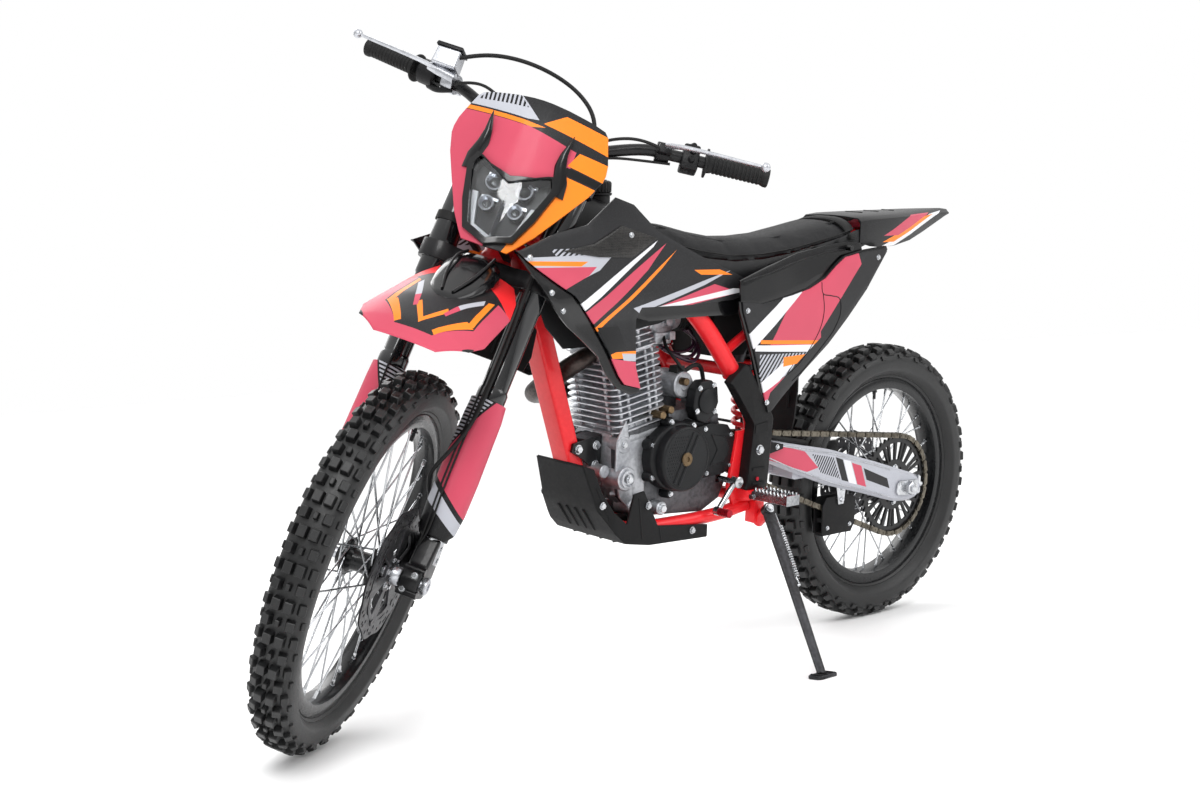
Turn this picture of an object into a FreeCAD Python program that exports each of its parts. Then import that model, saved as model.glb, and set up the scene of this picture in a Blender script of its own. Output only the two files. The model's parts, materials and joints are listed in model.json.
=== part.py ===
import FreeCAD
import Part
import math
import os

Vector = FreeCAD.Vector
Placement = FreeCAD.Placement
Rotation = FreeCAD.Rotation

# Trail motorcycle, parked leaning left on its side stand with the bars on the left stop.
# The bike is drawn upright: X forward, Y to the rider's left, Z up, origin on the ground under the rear axle.
# The steered pieces are drawn in the fork frame: X forward of the steering axis, Y left, Z up along the axis.
# The whole is then leaned, set on its two tyres and moved so that the origin is the middle of its footprint box.

# Driving dimensions, in millimetres and degrees
WHEELBASE = 1467.0
HEAD_ANGLE = 27.0
TRAIL = 108.0
LEAN_ANGLE = 9.0
STEER_STOP = 37.0
FRONT_TYRE_RADIUS = 350.0
FRONT_TYRE_WIDTH = 85.0
REAR_TYRE_RADIUS = 318.0
REAR_TYRE_WIDTH = 105.0
HANDLEBAR_WIDTH = 820.0
SHOCK_SPRING_RADIUS = 36.0
ENGINE_LEAN = 10.0

# Clearances and overruns shared by many pieces
SEAT_GAP = 0.3
PIN_GAP = 0.05
RUNNING_GAP = 6.0
OVERRUN = 20.0

# Tyre and rim sections: radius and half width
LUG_HEIGHT = 13.0
LUG_ROOT = 6.0
TREAD_ROWS = 36
FRONT_LUG_LENGTH = 24.0
FRONT_LUG_WIDTH = 19.0
REAR_LUG_LENGTH = 26.0
REAR_LUG_WIDTH = 24.0
FRONT_TYRE_DEPTH = 70.0
FRONT_FLANGE_RADIUS = FRONT_TYRE_RADIUS - FRONT_TYRE_DEPTH
REAR_TYRE_DEPTH = 77.0
REAR_FLANGE_RADIUS = REAR_TYRE_RADIUS - REAR_TYRE_DEPTH
RIM_DEPTH = 28.0
RIM_FLANGE_HEIGHT = 18.0
FRONT_RIM_WIDTH = 44.0
REAR_RIM_WIDTH = 56.0
RIM_FLANGE_THICKNESS = 4.0
TYRE_WAIST_SHARES = (0.45, 1.0)

# Hubs, axles and spokes
SPOKE_COUNT = 36
SPOKE_THICKNESS = 3.2
SPOKE_CROSS_ANGLE = 62.0
FRONT_HUB_RADIUS = 22.0
FRONT_HUB_FLANGE_RADIUS = 36.0
FRONT_HUB_WIDTH = 84.0
FRONT_FLANGE_SPAN = 56.0
REAR_HUB_RADIUS = 28.0
REAR_HUB_FLANGE_RADIUS = 50.0
REAR_HUB_WIDTH = 96.0
REAR_FLANGE_SPAN = 64.0
HUB_FLANGE_THICKNESS = 6.0
FRONT_AXLE_RADIUS = 10.0
REAR_AXLE_RADIUS = 10.0
FRONT_AXLE_BORE = 6.0
AXLE_NUT_RADIUS = 16.0
AXLE_NUT_LENGTH = 14.0

# Brake discs, sprockets and chain
FRONT_DISC_RADIUS = 122.0
REAR_DISC_RADIUS = 108.0
DISC_THICKNESS = 4.0
DISC_BAND = 26.0
DISC_WAVE = 5.0
DISC_WAVES = 10
DISC_ARMS = 5
DISC_ARM_WIDTH = 16.0
FRONT_DISC_OFFSET = 56.0
REAR_DISC_OFFSET = 58.7
CHAIN_PITCH = 15.875
CHAIN_HEIGHT = 15.0
CHAIN_WAIST = 10.0
CHAIN_WIDTH = 17.0
CHAIN_OFFSET = 68.0
SPROCKET_TEETH = 45
PINION_TEETH = 13
SPROCKET_THICKNESS = 6.0
SPROCKET_TOOTH = 7.0
SPROCKET_BAND = 17.0
SPROCKET_ARMS = 8
SPROCKET_ARM_WIDTH = 15.0
COUNTERSHAFT_SHARES = (0.11, 0.0, 0.6195)

# Fork, in the fork frame
LEG_SPREAD = 97.0
LEG_FORWARD = 28.0
UPPER_TUBE_RADIUS = 27.0
OUTER_TUBE_RADIUS = 24.5
COLLAR_RADIUS = 29.0
COLLAR_LENGTH = 26.0
STANCHION_RADIUS = 21.5
LOWER_CLAMP_HEIGHT = 557.0
LOWER_CLAMP_THICKNESS = 34.0
UPPER_CLAMP_HEIGHT = 762.0
UPPER_CLAMP_THICKNESS = 24.0
OUTER_TUBE_START = 340.0
FORK_TOP = 800.0
CLAMP_EAR_RADIUS = 35.0
CLAMP_MID_HALF_WIDTH = 48.0
CLAMP_BACK = 34.0
CLAMP_FRONT = 46.0
STEM_RADIUS = 15.0
HEAD_TUBE_RADIUS = 27.0
HEAD_TUBE_PLAY = 3.0
FOOT_BOTTOM = -26.0
FOOT_TOP = 70.0
FOOT_HALF_WIDTH = 18.0
FOOT_FRONT = 24.0
FOOT_BACK = 26.0
GUARD_BOTTOM = 92.0
GUARD_TOP = 376.0
GUARD_RADIUS = 34.0
GUARD_THICKNESS = 3.0
GUARD_INNER_HALF_WIDTH = 8.0

# Handlebar and controls, in the fork frame
BAR_RADIUS = 11.0
BAR_MIDDLE_RADIUS = 14.3
BAR_BORE_RADIUS = 8.0
BAR_BORE_DEPTH = 45.0
BAR_BEND = 60.0
BAR_STEP = 232.0
BAR_ROUTE_SHARES = [
    (0.015, 0.0, 1.048), (0.015, 0.077, 1.048), (-0.003, 0.215, 1.113), (-0.062, 0.512, 1.165),
]
GRIP_RADIUS = 16.5
GRIP_LENGTH = 122.0
GRIP_FLANGE_RADIUS = 27.0
GRIP_FLANGE_LENGTH = 6.0
BAR_CLAMP_SPREAD = 34.0
BAR_CLAMP_WIDTH = 26.0
BAR_CLAMP_LENGTH = 46.0
BAR_CLAMP_WALL = 9.0
BAR_STEP_SHARE = 0.12
RIM_BED_SHARE = 0.5
SHOULDER_SHARE = 0.1
SHOULDER_TILT = 38.0
SHOULDER_DROP = 17.0
ROW_PAIR_SHARE = 0.95
ROW_PAIR_DROP = 3.0
MASK_FLAT_SHARE = 0.45
STRAP_SPREAD = 36.0
SCOOP_DEPTH_SHARES = (0.83, 0.66, 0.4, 0.14)
SCOOP_RIDGE_SHARE = 0.45
GUIDE_SAMPLES = 12
GUIDE_ARC_SHARE = 1.3
SPROCKET_CLEARANCE = 1.0
PITCH_STEPS = 6
BEND_SHARE = 0.45
BEND_CHORDS = 2
UPRIGHT_SHARE = 0.9
FLATNESS_SHARE = 0.0001
ROUND_SIDES = 12
NUT_SIDES = 6
RIM_SIDES = 36
COVER_SIDES = 24
SILENCER_SIDES = 20
HUB_WALL = 6.0
STAND_BRACKET_SHARES = (0.35, 0.072, 0.224)
STAND_BRACKET_LENGTH = 30.0
STAND_BRACKET_WIDTH = 28.0
STAND_BRACKET_HEIGHT = 48.0
PINION_GUARD_SHARES = [
    (0.477, 0.0, 0.349), (0.436, 0.0, 0.354), (0.404, 0.0, 0.349), (0.386, 0.0, 0.327),
    (0.387, 0.0, 0.297), (0.409, 0.0, 0.285), (0.477, 0.0, 0.286),
]
PINION_GUARD_THICKNESS = 5.0
FORK_SIDES = 16
BAR_ROOM = 0.5
MASK_BOTTOM = 592.0
MASK_HEIGHT = 292.0
MASK_HALF_WIDTH = 150.0
MASK_FORWARD = 118.0
MASK_SWEEP = 46.0
MASK_THICKNESS = 5.0
MASK_HALF_OUTLINE_SHARES = [
    (0.0, 0.0), (0.33, 0.01), (0.52, 0.16), (0.88, 0.53), (1.0, 0.68), (0.97, 0.79), (0.83, 0.96),
    (0.63, 0.99), (0.0, 1.01),
]
LAMP_HALF_OUTLINE_SHARES = [
    (0.0, 0.05), (0.29, 0.11), (0.52, 0.47), (0.47, 0.55), (0.27, 0.49), (0.0, 0.45),
]
LAMP_DEPTH = 52.0
LAMP_PROUD = 12.0
LAMP_SETBACK = 3.0
HORN_SHARES = [
    (0.44, 0.54), (0.6, 0.51), (0.53, 0.83),
]
HORN_THICKNESS = 10.0
BRACKET_HALF_WIDTH = 9.0
BRACKET_HEIGHT = 16.0
BRACKET_SPREAD = 62.0

# Front mudguard, in the fork frame: centre line and half width along it
FENDER_LINE_SHARES = [
    (-0.115, 0.0, -0.014), (-0.025, 0.0, 0.005), (0.075, 0.0, 0.01), (0.175, 0.0, -0.046),
    (0.287, 0.0, -0.126), (0.412, 0.0, -0.256),
]
FENDER_HALF_WIDTH = 112.0
FENDER_WIDTH_SHARES = (0.42, 0.5, 0.56, 0.9, 1.0, 0.5)
FENDER_DROP_SHARES = (0.12, 0.16, 0.3, 0.42, 0.32, 0.1)
FENDER_THICKNESS = 4.0
SCOOP_LINE_SHARES = [
    (0.105, 0.0, 0.034), (0.163, 0.0, 0.004), (0.233, 0.0, -0.061), (0.282, 0.0, -0.119),
]
SCOOP_HALF_WIDTH = 50.0
SCOOP_WIDTH_SHARES = (0.8, 1.0, 0.9, 0.35)
SCOOP_THICKNESS = 16.0

# Frame tubes and plates
DOWNTUBE_WIDTH = 50.0
DOWNTUBE_DEPTH = 32.0
DOWNTUBE_HEAD_SHARES = (-0.017, 0.0, -0.005)
DOWNTUBE_FOOT_SHARES = (0.65, 0.0, 0.3)
MAIN_TUBE_RADIUS = 19.0
MAIN_TUBE_BEND = 70.0
MAIN_TUBE_HEAD_SHARES = (-0.035, 0.022, 0.019)
MAIN_TUBE_SHARES = [
    (0.613, 0.031, 0.592), (0.501, 0.053, 0.533), (0.404, 0.061, 0.428), (0.356, 0.066, 0.354),
    (0.361, 0.066, 0.254),
]
CRADLE_RADIUS = 14.0
CRADLE_BEND = 50.0
CRADLE_SHARES = [
    (0.639, 0.007, 0.308), (0.603, 0.053, 0.23), (0.477, 0.06, 0.224), (0.361, 0.063, 0.232),
]
FRAME_CROSS_RADIUS = 13.0
FRAME_CROSS_SHARES = [
    (0.404, 0.06, 0.428), (0.361, 0.063, 0.243), (0.501, 0.053, 0.533),
]
SUBFRAME_RADIUS = 10.0
SUBFRAME_BEND = 60.0
SUBFRAME_TOP_SHARES = [
    (0.488, 0.045, 0.549), (0.397, 0.049, 0.563), (0.284, 0.049, 0.573), (0.179, 0.048, 0.592),
    (0.109, 0.042, 0.6), (-0.007, 0.03, 0.611),
]
SUBFRAME_STRUT_SHARES = [
    (0.406, 0.057, 0.455), (0.136, 0.045, 0.596),
]
SUBFRAME_CROSS_SHARES = [
    (0.236, 0.048, 0.581), (0.027, 0.034, 0.607),
]
PIVOT_SHARES = (0.361, 0.0, 0.31)
PIVOT_RADIUS = 17.0
PIVOT_BOLT_RADIUS = 8.0
PIVOT_PLATE_OUTLINE_SHARES = [
    (0.12, 1.0), (0.86, 1.0), (1.0, 0.5), (0.92, 0.03), (0.2, 0.0), (0.06, 0.38),
]
PIVOT_PLATE_LENGTH = 100.0
PIVOT_PLATE_HEIGHT = 160.0
PIVOT_PLATE_PLACE_SHARES = (0.327, 0.061, 0.232)
PIVOT_PLATE_THICKNESS = 8.0

# Swingarm
ARM_LENGTH = 600.0
ARM_HEIGHT = 210.0
ARM_CORNER_SHARES = (-0.033, 0.057, 0.191)
ARM_OUTLINE_SHARES = [
    (0.993, 0.75), (1.0, 0.9), (0.963, 0.94), (0.865, 0.91), (0.51, 0.71), (0.025, 0.31),
    (0.0, 0.18), (0.025, 0.04), (0.147, 0.04), (0.5, 0.32), (0.848, 0.69), (0.96, 0.73),
]
ARM_THICKNESS = 27.0
ARM_SLANT = 2.6
ARM_BRIDGE_SHARES = (0.23, 0.0, 0.267)
ARM_BRIDGE_LENGTH = 40.0
ARM_BRIDGE_HEIGHT = 40.0
SHOCK_EYE_SHARES = (0.293, 0.0, 0.275)
SHOCK_TOP_SHARES = (0.308, 0.0, 0.502)
SHOCK_LUG_THICKNESS = 8.0
SHOCK_LUG_HEIGHT = 30.0
SHOCK_BODY_RADIUS = 22.0
SHOCK_EYE_RADIUS = 13.0
SHOCK_EYE_WIDTH = 24.0
SHOCK_SPRING_SHARES = (0.2, 0.72)

# Engine
CASE_LENGTH = 400.0
CASE_HEIGHT = 205.0
CASE_CORNER_SHARES = (0.379, 0.0, 0.23)
CASE_OUTLINE_SHARES = [
    (0.01, 0.4), (0.0, 0.64), (0.085, 0.94), (0.235, 1.08), (0.41, 1.05), (0.76, 1.02),
    (0.815, 0.81), (0.812, 0.55), (0.78, 0.28), (0.665, 0.06), (0.21, 0.0), (0.085, 0.11),
]
CASE_HALF_WIDTH = 72.0
COVER_RADIUS = 70.0
COVER_SHARES = (0.455, 0.0, 0.6146)
COVER_DEPTH = 50.0
COVER_CAP_RADIUS = 40.0
COVER_CAP_DEPTH = 6.0
GEAR_COVER_SHARES = (0.26, 0.0, 1.1707)
GEAR_COVER_RADIUS = 34.0
GEAR_COVER_DEPTH = 30.0
CLUTCH_SHARES = (0.335, 0.0, 0.5463)
CLUTCH_RADIUS = 86.0
CLUTCH_DEPTH = 44.0
STARTER_SHARES = (0.36, 0.0, 1.278)
STARTER_RADIUS = 26.0
STARTER_HALF_LENGTH = 70.0
CYLINDER_BASE_SHARES = (0.64, 0.0, 0.9268)
CYLINDER_HEIGHT = 150.0
CYLINDER_CORE = 96.0
FIN_LENGTH = 136.0
FIN_WIDTH = 142.0
FIN_THICKNESS = 4.0
FIN_COUNT = 9
FIN_CORNER = 26.0
HEAD_HEIGHT = 62.0
HEAD_SHARE = 0.82
ROCKER_HEIGHT = 34.0
ROCKER_SHARE = 0.66
HEAD_FIN_COUNT = 3
PORT_HEIGHT_SHARE = 1.2

# Intake and exhaust
CARB_LENGTH = 70.0
CARB_RADIUS = 26.0
CARB_BOWL_HEIGHT = 46.0
CARB_TOP_HEIGHT = 38.0
CARB_BOWL_WIDTH = 52.0
MANIFOLD_RADIUS = 19.0
AIRBOX_LENGTH = 116.0
AIRBOX_HEIGHT = 176.0
AIRBOX_CORNER_SHARES = (0.339, 0.0, 0.444)
AIRBOX_OUTLINE_SHARES = [
    (0.88, 0.0), (1.0, 0.27), (0.95, 0.96), (0.19, 0.99), (0.0, 0.84), (0.0, 0.16), (0.19, 0.0),
]
AIRBOX_HALF_WIDTH = 61.0
HEADER_RADIUS = 19.0
HEADER_BEND = 60.0
HEADER_SHARES = [
    (0.609, 0.0, 0.458), (0.649, -0.034, 0.428), (0.641, -0.086, 0.39), (0.545, -0.101, 0.393),
    (0.409, -0.102, 0.412), (0.3, -0.092, 0.469),
]
SILENCER_RADIUS = 46.0
SILENCER_SHARES = [
    (0.297, -0.091, 0.47), (0.259, -0.094, 0.487), (0.02, -0.095, 0.549), (-0.02, -0.096, 0.56),
]
SILENCER_NECK_RADIUS = 27.0
SILENCER_MOUTH_RADIUS = 16.0
SILENCER_MOUTH_DEPTH = 60.0
# Tank, seat and bodywork; a section row is forward, top, bottom, top half width, bottom half width
TANK_SECTION_SHARES = [
    (0.592, 0.654, 0.56, 0.03, 0.063), (0.631, 0.663, 0.549, 0.034, 0.071),
    (0.671, 0.643, 0.549, 0.033, 0.068), (0.697, 0.631, 0.579, 0.023, 0.034),
]
TANK_SHOULDER_SHARE = 0.62
TUNNEL_HALF_WIDTH_SHARES = (0.049, 0.0, 0.0)
TUNNEL_TOP_SHARES = [
    (0.586, 0.0, 0.5993), (0.709, 0.0, 0.6423),
]
FILLER_SHARES = (0.605, 0.0, 0.648)
FILLER_RADIUS = 24.0
FILLER_HEIGHT = 32.0
CAP_RADIUS = 27.0
CAP_HEIGHT = 22.0
CAP_RIBS = 12
SEAT_SECTION_SHARES = [
    (0.588, 0.646, 0.622, 0.023, 0.034), (0.504, 0.628, 0.585, 0.03, 0.048),
    (0.397, 0.608, 0.57, 0.035, 0.057), (0.284, 0.611, 0.579, 0.041, 0.064),
    (0.179, 0.628, 0.599, 0.045, 0.063), (0.131, 0.634, 0.611, 0.041, 0.055),
]
SEAT_SHOULDER_SHARE = 0.55
SHROUD_LENGTH = 708.0
SHROUD_HEIGHT = 343.0
SHROUD_PLACE_SHARES = (0.348, 0.0, 0.423)
SHROUD_OUTLINE_SHARES = [
    (1.0, 0.711), (0.903, 0.525), (0.802, 0.373), (0.725, 0.198), (0.645, 0.087), (0.575, 0.012),
    (0.552, 0.233), (0.541, 0.391), (0.263, 0.397), (0.0, 0.466), (0.267, 0.659), (0.439, 0.796),
    (0.534, 0.95), (0.606, 0.991), (0.725, 0.834), (0.846, 0.796),
]
SHROUD_PLAN_SHARES = [
    (0.344, 0.076), (0.477, 0.087), (0.613, 0.102), (0.698, 0.112), (0.835, 0.13),
]
SHROUD_THICKNESS = 4.0
SHROUD_LEAN = 8.0
SHROUD_POST_RADIUS = 7.0
SHROUD_POST_SHARES = (0.631, 0.0, 0.592)
PANEL_LENGTH = 490.0
PANEL_HEIGHT = 345.0
PANEL_PLACE_SHARES = (0.08, 0.0, 0.366)
PANEL_OUTLINE_SHARES = [
    (0.996, 0.797), (0.98, 0.62), (0.91, 0.391), (0.804, 0.0), (0.718, 0.084), (0.41, 0.377),
    (0.143, 0.699), (0.0, 0.942), (0.286, 0.994), (0.624, 0.942),
]
PANEL_PLAN_SHARES = [
    (0.076, 0.07), (0.218, 0.078), (0.341, 0.087), (0.419, 0.087),
]
PANEL_THICKNESS = 4.0
PANEL_POST_RADIUS = 6.0
PANEL_POST_SHARES = [
    (0.17, 0.0, 0.592), (0.327, 0.0, 0.569),
]
PANEL_RIGHT_CUT_SHARES = [
    (0.436, 0.0, 0.48), (0.041, 0.0, 0.581), (0.041, 0.0, 0.327), (0.436, 0.0, 0.327),
]
TAIL_LENGTH = 412.0
TAIL_HEIGHT = 74.0
TAIL_PLACE_SHARES = (-0.154, 0.0, 0.591)
TAIL_OUTLINE_SHARES = [
    (1.0, 0.85), (0.694, 0.93), (0.0, 1.0), (0.0, 0.89), (0.512, 0.14), (0.847, 0.0), (1.0, 0.12),
]
TAIL_PLAN_SHARES = [
    (0.127, 0.057), (0.068, 0.056), (-0.014, 0.042), (-0.154, 0.01),
]
TAIL_THICKNESS = 4.0
TAIL_POST_SHARES = (0.027, 0.02, 0.614)
TAIL_POST_TOP_SHARE = 0.9
TAIL_POST_RADIUS = 7.0
TAIL_LAMP_SHARES = (-0.102, 0.0, 0.629)
TAIL_LAMP_LENGTH = 22.0
TAIL_LAMP_WIDTH = 40.0
TAIL_LAMP_HEIGHT = 24.0
FLAP_OUTLINE_SHARES = [
    (0.237, 0.0, 0.574), (0.229, 0.0, 0.382), (0.239, 0.0, 0.308), (0.235, 0.0, 0.308),
    (0.226, 0.0, 0.382), (0.234, 0.0, 0.574),
]
FLAP_HALF_WIDTH = 54.0
GUARD_PLATE_SHARES = [
    (0.421, 0.0, 0.413), (0.372, 0.0, 0.356), (0.379, 0.0, 0.262), (0.342, 0.0, 0.26),
    (0.334, 0.0, 0.359), (0.39, 0.0, 0.436),
]
GUARD_PLATE_THICKNESS = 9.0
SKID_FLOOR_SHARES = [
    (0.672, 0.0, 0.318), (0.648, 0.0, 0.254), (0.616, 0.0, 0.221), (0.6, 0.0, 0.209),
    (0.556, 0.0, 0.204), (0.446, 0.0, 0.2), (0.446, 0.0, 0.204), (0.556, 0.0, 0.207),
    (0.599, 0.0, 0.212), (0.613, 0.0, 0.224), (0.644, 0.0, 0.255), (0.669, 0.0, 0.319),
]
SKID_SIDE_SHARES = [
    (0.672, 0.0, 0.318), (0.648, 0.0, 0.254), (0.616, 0.0, 0.221), (0.6, 0.0, 0.209),
    (0.556, 0.0, 0.204), (0.446, 0.0, 0.2), (0.446, 0.0, 0.224), (0.545, 0.0, 0.235),
    (0.571, 0.0, 0.278), (0.622, 0.0, 0.289), (0.637, 0.0, 0.276), (0.656, 0.0, 0.312),
]
SKID_HALF_WIDTH = 107.2
SKID_THICKNESS = 4.0
MOUNT_PLATE_SHARES = [
    (0.603, 0.0, 0.349), (0.653, 0.0, 0.342), (0.656, 0.0, 0.331), (0.639, 0.0, 0.322),
    (0.616, 0.0, 0.305), (0.605, 0.0, 0.297),
]
MOUNT_PLATE_THICKNESS = 6.0
NOSE_SHARES = [
    (0.8, 0.0, 0.8634), (0.8975, 0.0, 0.8146), (0.8575, 0.0, 0.5073), (0.8, 0.0, 0.4195),
]

# Foot controls and stand
PEG_SHARES = (0.364, 0.089, 0.251)
PEG_LENGTH = 96.0
PEG_WIDTH = 40.0
PEG_HEIGHT = 14.0
PEG_TEETH = 6
PEG_TOOTH = 6.0
PEG_BRACKET_LENGTH = 46.0
PEG_BRACKET_HEIGHT = 20.0
GEAR_SHAFT_SHARES = (0.085, 0.0, 0.3073)
GEAR_TIP_SHARES = (0.438, 0.104, 0.236)
GEAR_LEVER_OFFSET = 122.0
LEVER_RADIUS = 6.0
GEAR_TIP_RADIUS = 8.0
GEAR_TIP_LENGTH = 34.0
BRAKE_PEDAL_SHARES = [
    (0.387, 0.0, 0.248), (0.412, 0.0, 0.241), (0.453, 0.0, 0.244),
]
BRAKE_PEDAL_OFFSET = 124.0
BRAKE_PEDAL_WIDTH = 30.0
STAND_PIVOT_SHARES = (0.35, 0.097, 0.229)
STAND_FOOT_SHARES = (0.418, 0.271, 0.0)
STAND_FOLDED_SHARES = (-0.99, 0.1, 0.05)
STAND_EYE_RADIUS = 13.0
STAND_EYE_LENGTH = 14.0
STAND_BOLT_RADIUS = 5.0
STAND_LUG_LENGTH = 36.0
STAND_LEG_WIDTH = 24.0
STAND_LEG_THICKNESS = 10.0
STAND_FOOT_LENGTH = 56.0
STAND_FOOT_WIDTH = 34.0
STAND_FOOT_THICKNESS = 7.0
STAND_SPRING_RADIUS = 6.0
STAND_SPRING_SHARES = (0.1, 0.42)
STAND_SPRING_OFFSET = 18.0
CALIPER_LENGTH = 66.0
CALIPER_HEIGHT = 84.0
CALIPER_WIDTH = 34.0
CALIPER_SLOT = 12.0
FRONT_CALIPER_PLACE_SHARES = (-0.098, 0.0, 0.007)
REAR_CALIPER_PLACE_SHARES = (0.04, 0.0, 0.225)
GUIDE_SHARES = (0.102, 0.0, 0.158)
GUIDE_LENGTH = 110.0
GUIDE_HEIGHT = 86.0
GUIDE_WIDTH = 27.0
GUIDE_WALL = 5.0
SLIDER_THICKNESS = 6.0

# Levers, hose and cables, in the fork frame
LEVER_ROUTE_SHARES = [
    (0.035, 0.29, 1.127), (0.077, 0.375, 1.14), (0.065, 0.45, 1.145), (0.037, 0.51, 1.153),
]
LEVER_BALL_RADIUS = 9.0
LEVER_THICKNESS = 10.0
PERCH_WIDTH = 34.0
PERCH_DEPTH = 52.0
PERCH_HEIGHT = 34.0
PERCH_SHARES = (-0.003, 0.278, 1.125)
MASTER_WIDTH = 52.0
MASTER_HEIGHT = 44.0
SWITCH_WIDTH = 34.0
SWITCH_RADIUS = 22.0
HOSE_RADIUS = 4.0
HOSE_BEND_SHARE = 0.45
HOSE_ROUTE_SHARES = [
    (0.055, -0.29, 1.145), (0.058, -0.237, 1.175), (0.055, -0.175, 1.202), (0.05, -0.102, 1.212),
    (0.048, -0.025, 1.205), (0.05, 0.048, 1.18), (0.058, 0.105, 1.135), (0.07, 0.13, 1.065),
    (0.086, 0.133, 0.975), (0.09, 0.125, 0.875), (0.095, 0.12, 0.775), (0.096, 0.12, 0.675),
    (0.094, 0.121, 0.575), (0.092, 0.121, 0.475), (0.092, 0.12, 0.375), (0.094, 0.096, 0.295),
    (0.083, 0.068, 0.237), (0.045, 0.068, 0.21), (0.003, 0.07, 0.19), (-0.035, 0.072, 0.16),
    (-0.05, 0.072, 0.114),
]

# Sizes that follow from the driving dimensions
RAKE = math.radians(HEAD_ANGLE)
AXLE_OFFSET = FRONT_TYRE_RADIUS * math.sin(RAKE) - TRAIL * math.cos(RAKE)
FORK_ORIGIN = Vector(
    WHEELBASE - AXLE_OFFSET * math.cos(RAKE), 0, FRONT_TYRE_RADIUS - AXLE_OFFSET * math.sin(RAKE)
)
FORK_FRAME = Placement(FORK_ORIGIN, Rotation(Vector(0, 1, 0), -HEAD_ANGLE))
STEERED = FORK_FRAME.multiply(Placement(Vector(), Rotation(Vector(0, 0, 1), STEER_STOP)))
REAR_AXLE = Vector(0, 0, REAR_TYRE_RADIUS)
FRONT_AXLE = Vector(AXLE_OFFSET, 0, 0)
LEFT = Vector(0, 1, 0)
UP = Vector(0, 0, 1)


def place(shares):
    """A place on the chassis from its shares of the wheelbase."""
    return Vector(*shares) * WHEELBASE


def engine_place(shares):
    """A place on the engine from its shares of the case's length and height."""
    forward, left, up = shares
    return place(CASE_CORNER_SHARES) + Vector(forward * CASE_LENGTH, left * CASE_LENGTH, up * CASE_HEIGHT)


def fork_place(shares):
    """A place on the fork from its shares of the fork's height."""
    return Vector(*shares) * FORK_TOP


def clamp_place(shares):
    """A place that goes with the lower clamp, from its shares of the fork's height."""
    return fork_place(shares) + UP * LOWER_CLAMP_HEIGHT


def head_place(shares):
    """A place on the chassis that goes with the middle of the head tube, along the fork's axes."""
    middle = (LOWER_CLAMP_HEIGHT + LOWER_CLAMP_THICKNESS + UPPER_CLAMP_HEIGHT) / 2
    return FORK_FRAME.multVec(fork_place(shares) + UP * middle)


def mirrored(shape):
    """The same piece on the bike's right side."""
    return shape.mirror(Vector(), LEFT)


def both(shape):
    """A left piece and its mirror image in one compound of separate solids."""
    return Part.makeCompound([shape, mirrored(shape)])


def polygon(points):
    """A flat closed face through the points."""
    return Part.Face(Part.makePolygon(list(points) + [points[0]]))


def slab(outline, inner, outer):
    """A side outline, as (forward, up) pairs, given thickness from one Y to another."""
    face = polygon([Vector(x, inner, z) for x, z in outline])
    return face.extrude(Vector(0, outer - inner, 0))


def outline_of(corner, length, height, shares):
    """Side outline points from shares of a piece's length and height."""
    return [(corner.x + u * length, corner.z + v * height) for u, v in shares]


def side_points(shares):
    """Side outline points from shares of the wheelbase."""
    return [(place(row).x, place(row).z) for row in shares]


def rod(start, end, radius):
    """A round bar between two points."""
    return Part.makeCylinder(radius, (end - start).Length, start, end - start)


def tube(start, end, radius, bore):
    """A round tube between two points."""
    reach = (end - start).normalize() * OVERRUN
    return rod(start, end, radius).cut(rod(start - reach, end + reach, bore))


def across(centre, inner, outer, radius):
    """A round bar along Y through a centre, from one Y to another."""
    return rod(Vector(centre.x, inner, centre.z), Vector(centre.x, outer, centre.z), radius)


def block(centre, length, width, height):
    """A rectangular block about its centre."""
    corner = centre - Vector(length, width, height) / 2
    return Part.makeBox(length, width, height, corner)


def closed_solid(faces):
    """A solid sewn from its flat faces, with its outside facing out."""
    sewn = Part.makeShell(faces)
    sewn.sewShape()
    shell = Part.Shell(sewn.Faces)
    if Part.makeSolid(shell).Volume < 0:
        shell.reverse()
    return Part.makeSolid(shell)


def skin(rows):
    """A solid through matching closed outlines, with each side split into flat triangles where it twists."""
    faces = [polygon(rows[0]), polygon(rows[-1])]
    for here, there in zip(rows, rows[1:]):
        for corner in range(len(here)):
            beside = (corner + 1) % len(here)
            faces += flat_faces([here[corner], there[corner], there[beside], here[beside]])
    return closed_solid(faces)


def flat_faces(quad):
    """One flat face for four corners, or two triangles when they don't lie in a plane."""
    first, second, third, fourth = quad
    normal = (second - first).cross(third - first)
    level = abs(normal.dot(fourth - first)) <= FLATNESS_SHARE * normal.Length * (fourth - first).Length
    if level:
        return [polygon(quad)]
    return [polygon([first, second, third]), polygon([first, third, fourth])]


def rounded(points, bend):
    """The path's points with each corner replaced by short chords of its bend."""
    path = [points[0]]
    for before, corner, after in zip(points, points[1:], points[2:]):
        back = (before - corner).normalize()
        ahead = (after - corner).normalize()
        half_turn = (math.pi - back.getAngle(ahead)) / 2
        shorter = min((before - corner).Length, (after - corner).Length)
        reach = min(bend * math.tan(half_turn), BEND_SHARE * shorter)
        radius = reach / math.tan(half_turn)
        centre = corner + (back + ahead).normalize() * (radius / math.cos(half_turn))
        start = corner + back * reach - centre
        end = corner + ahead * reach - centre
        axis = start.cross(end)
        for step in range(BEND_CHORDS + 1):
            turn = math.degrees(start.getAngle(end)) * step / BEND_CHORDS
            path.append(centre + Rotation(axis, turn).multVec(start))
    path.append(points[-1])
    return path


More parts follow.
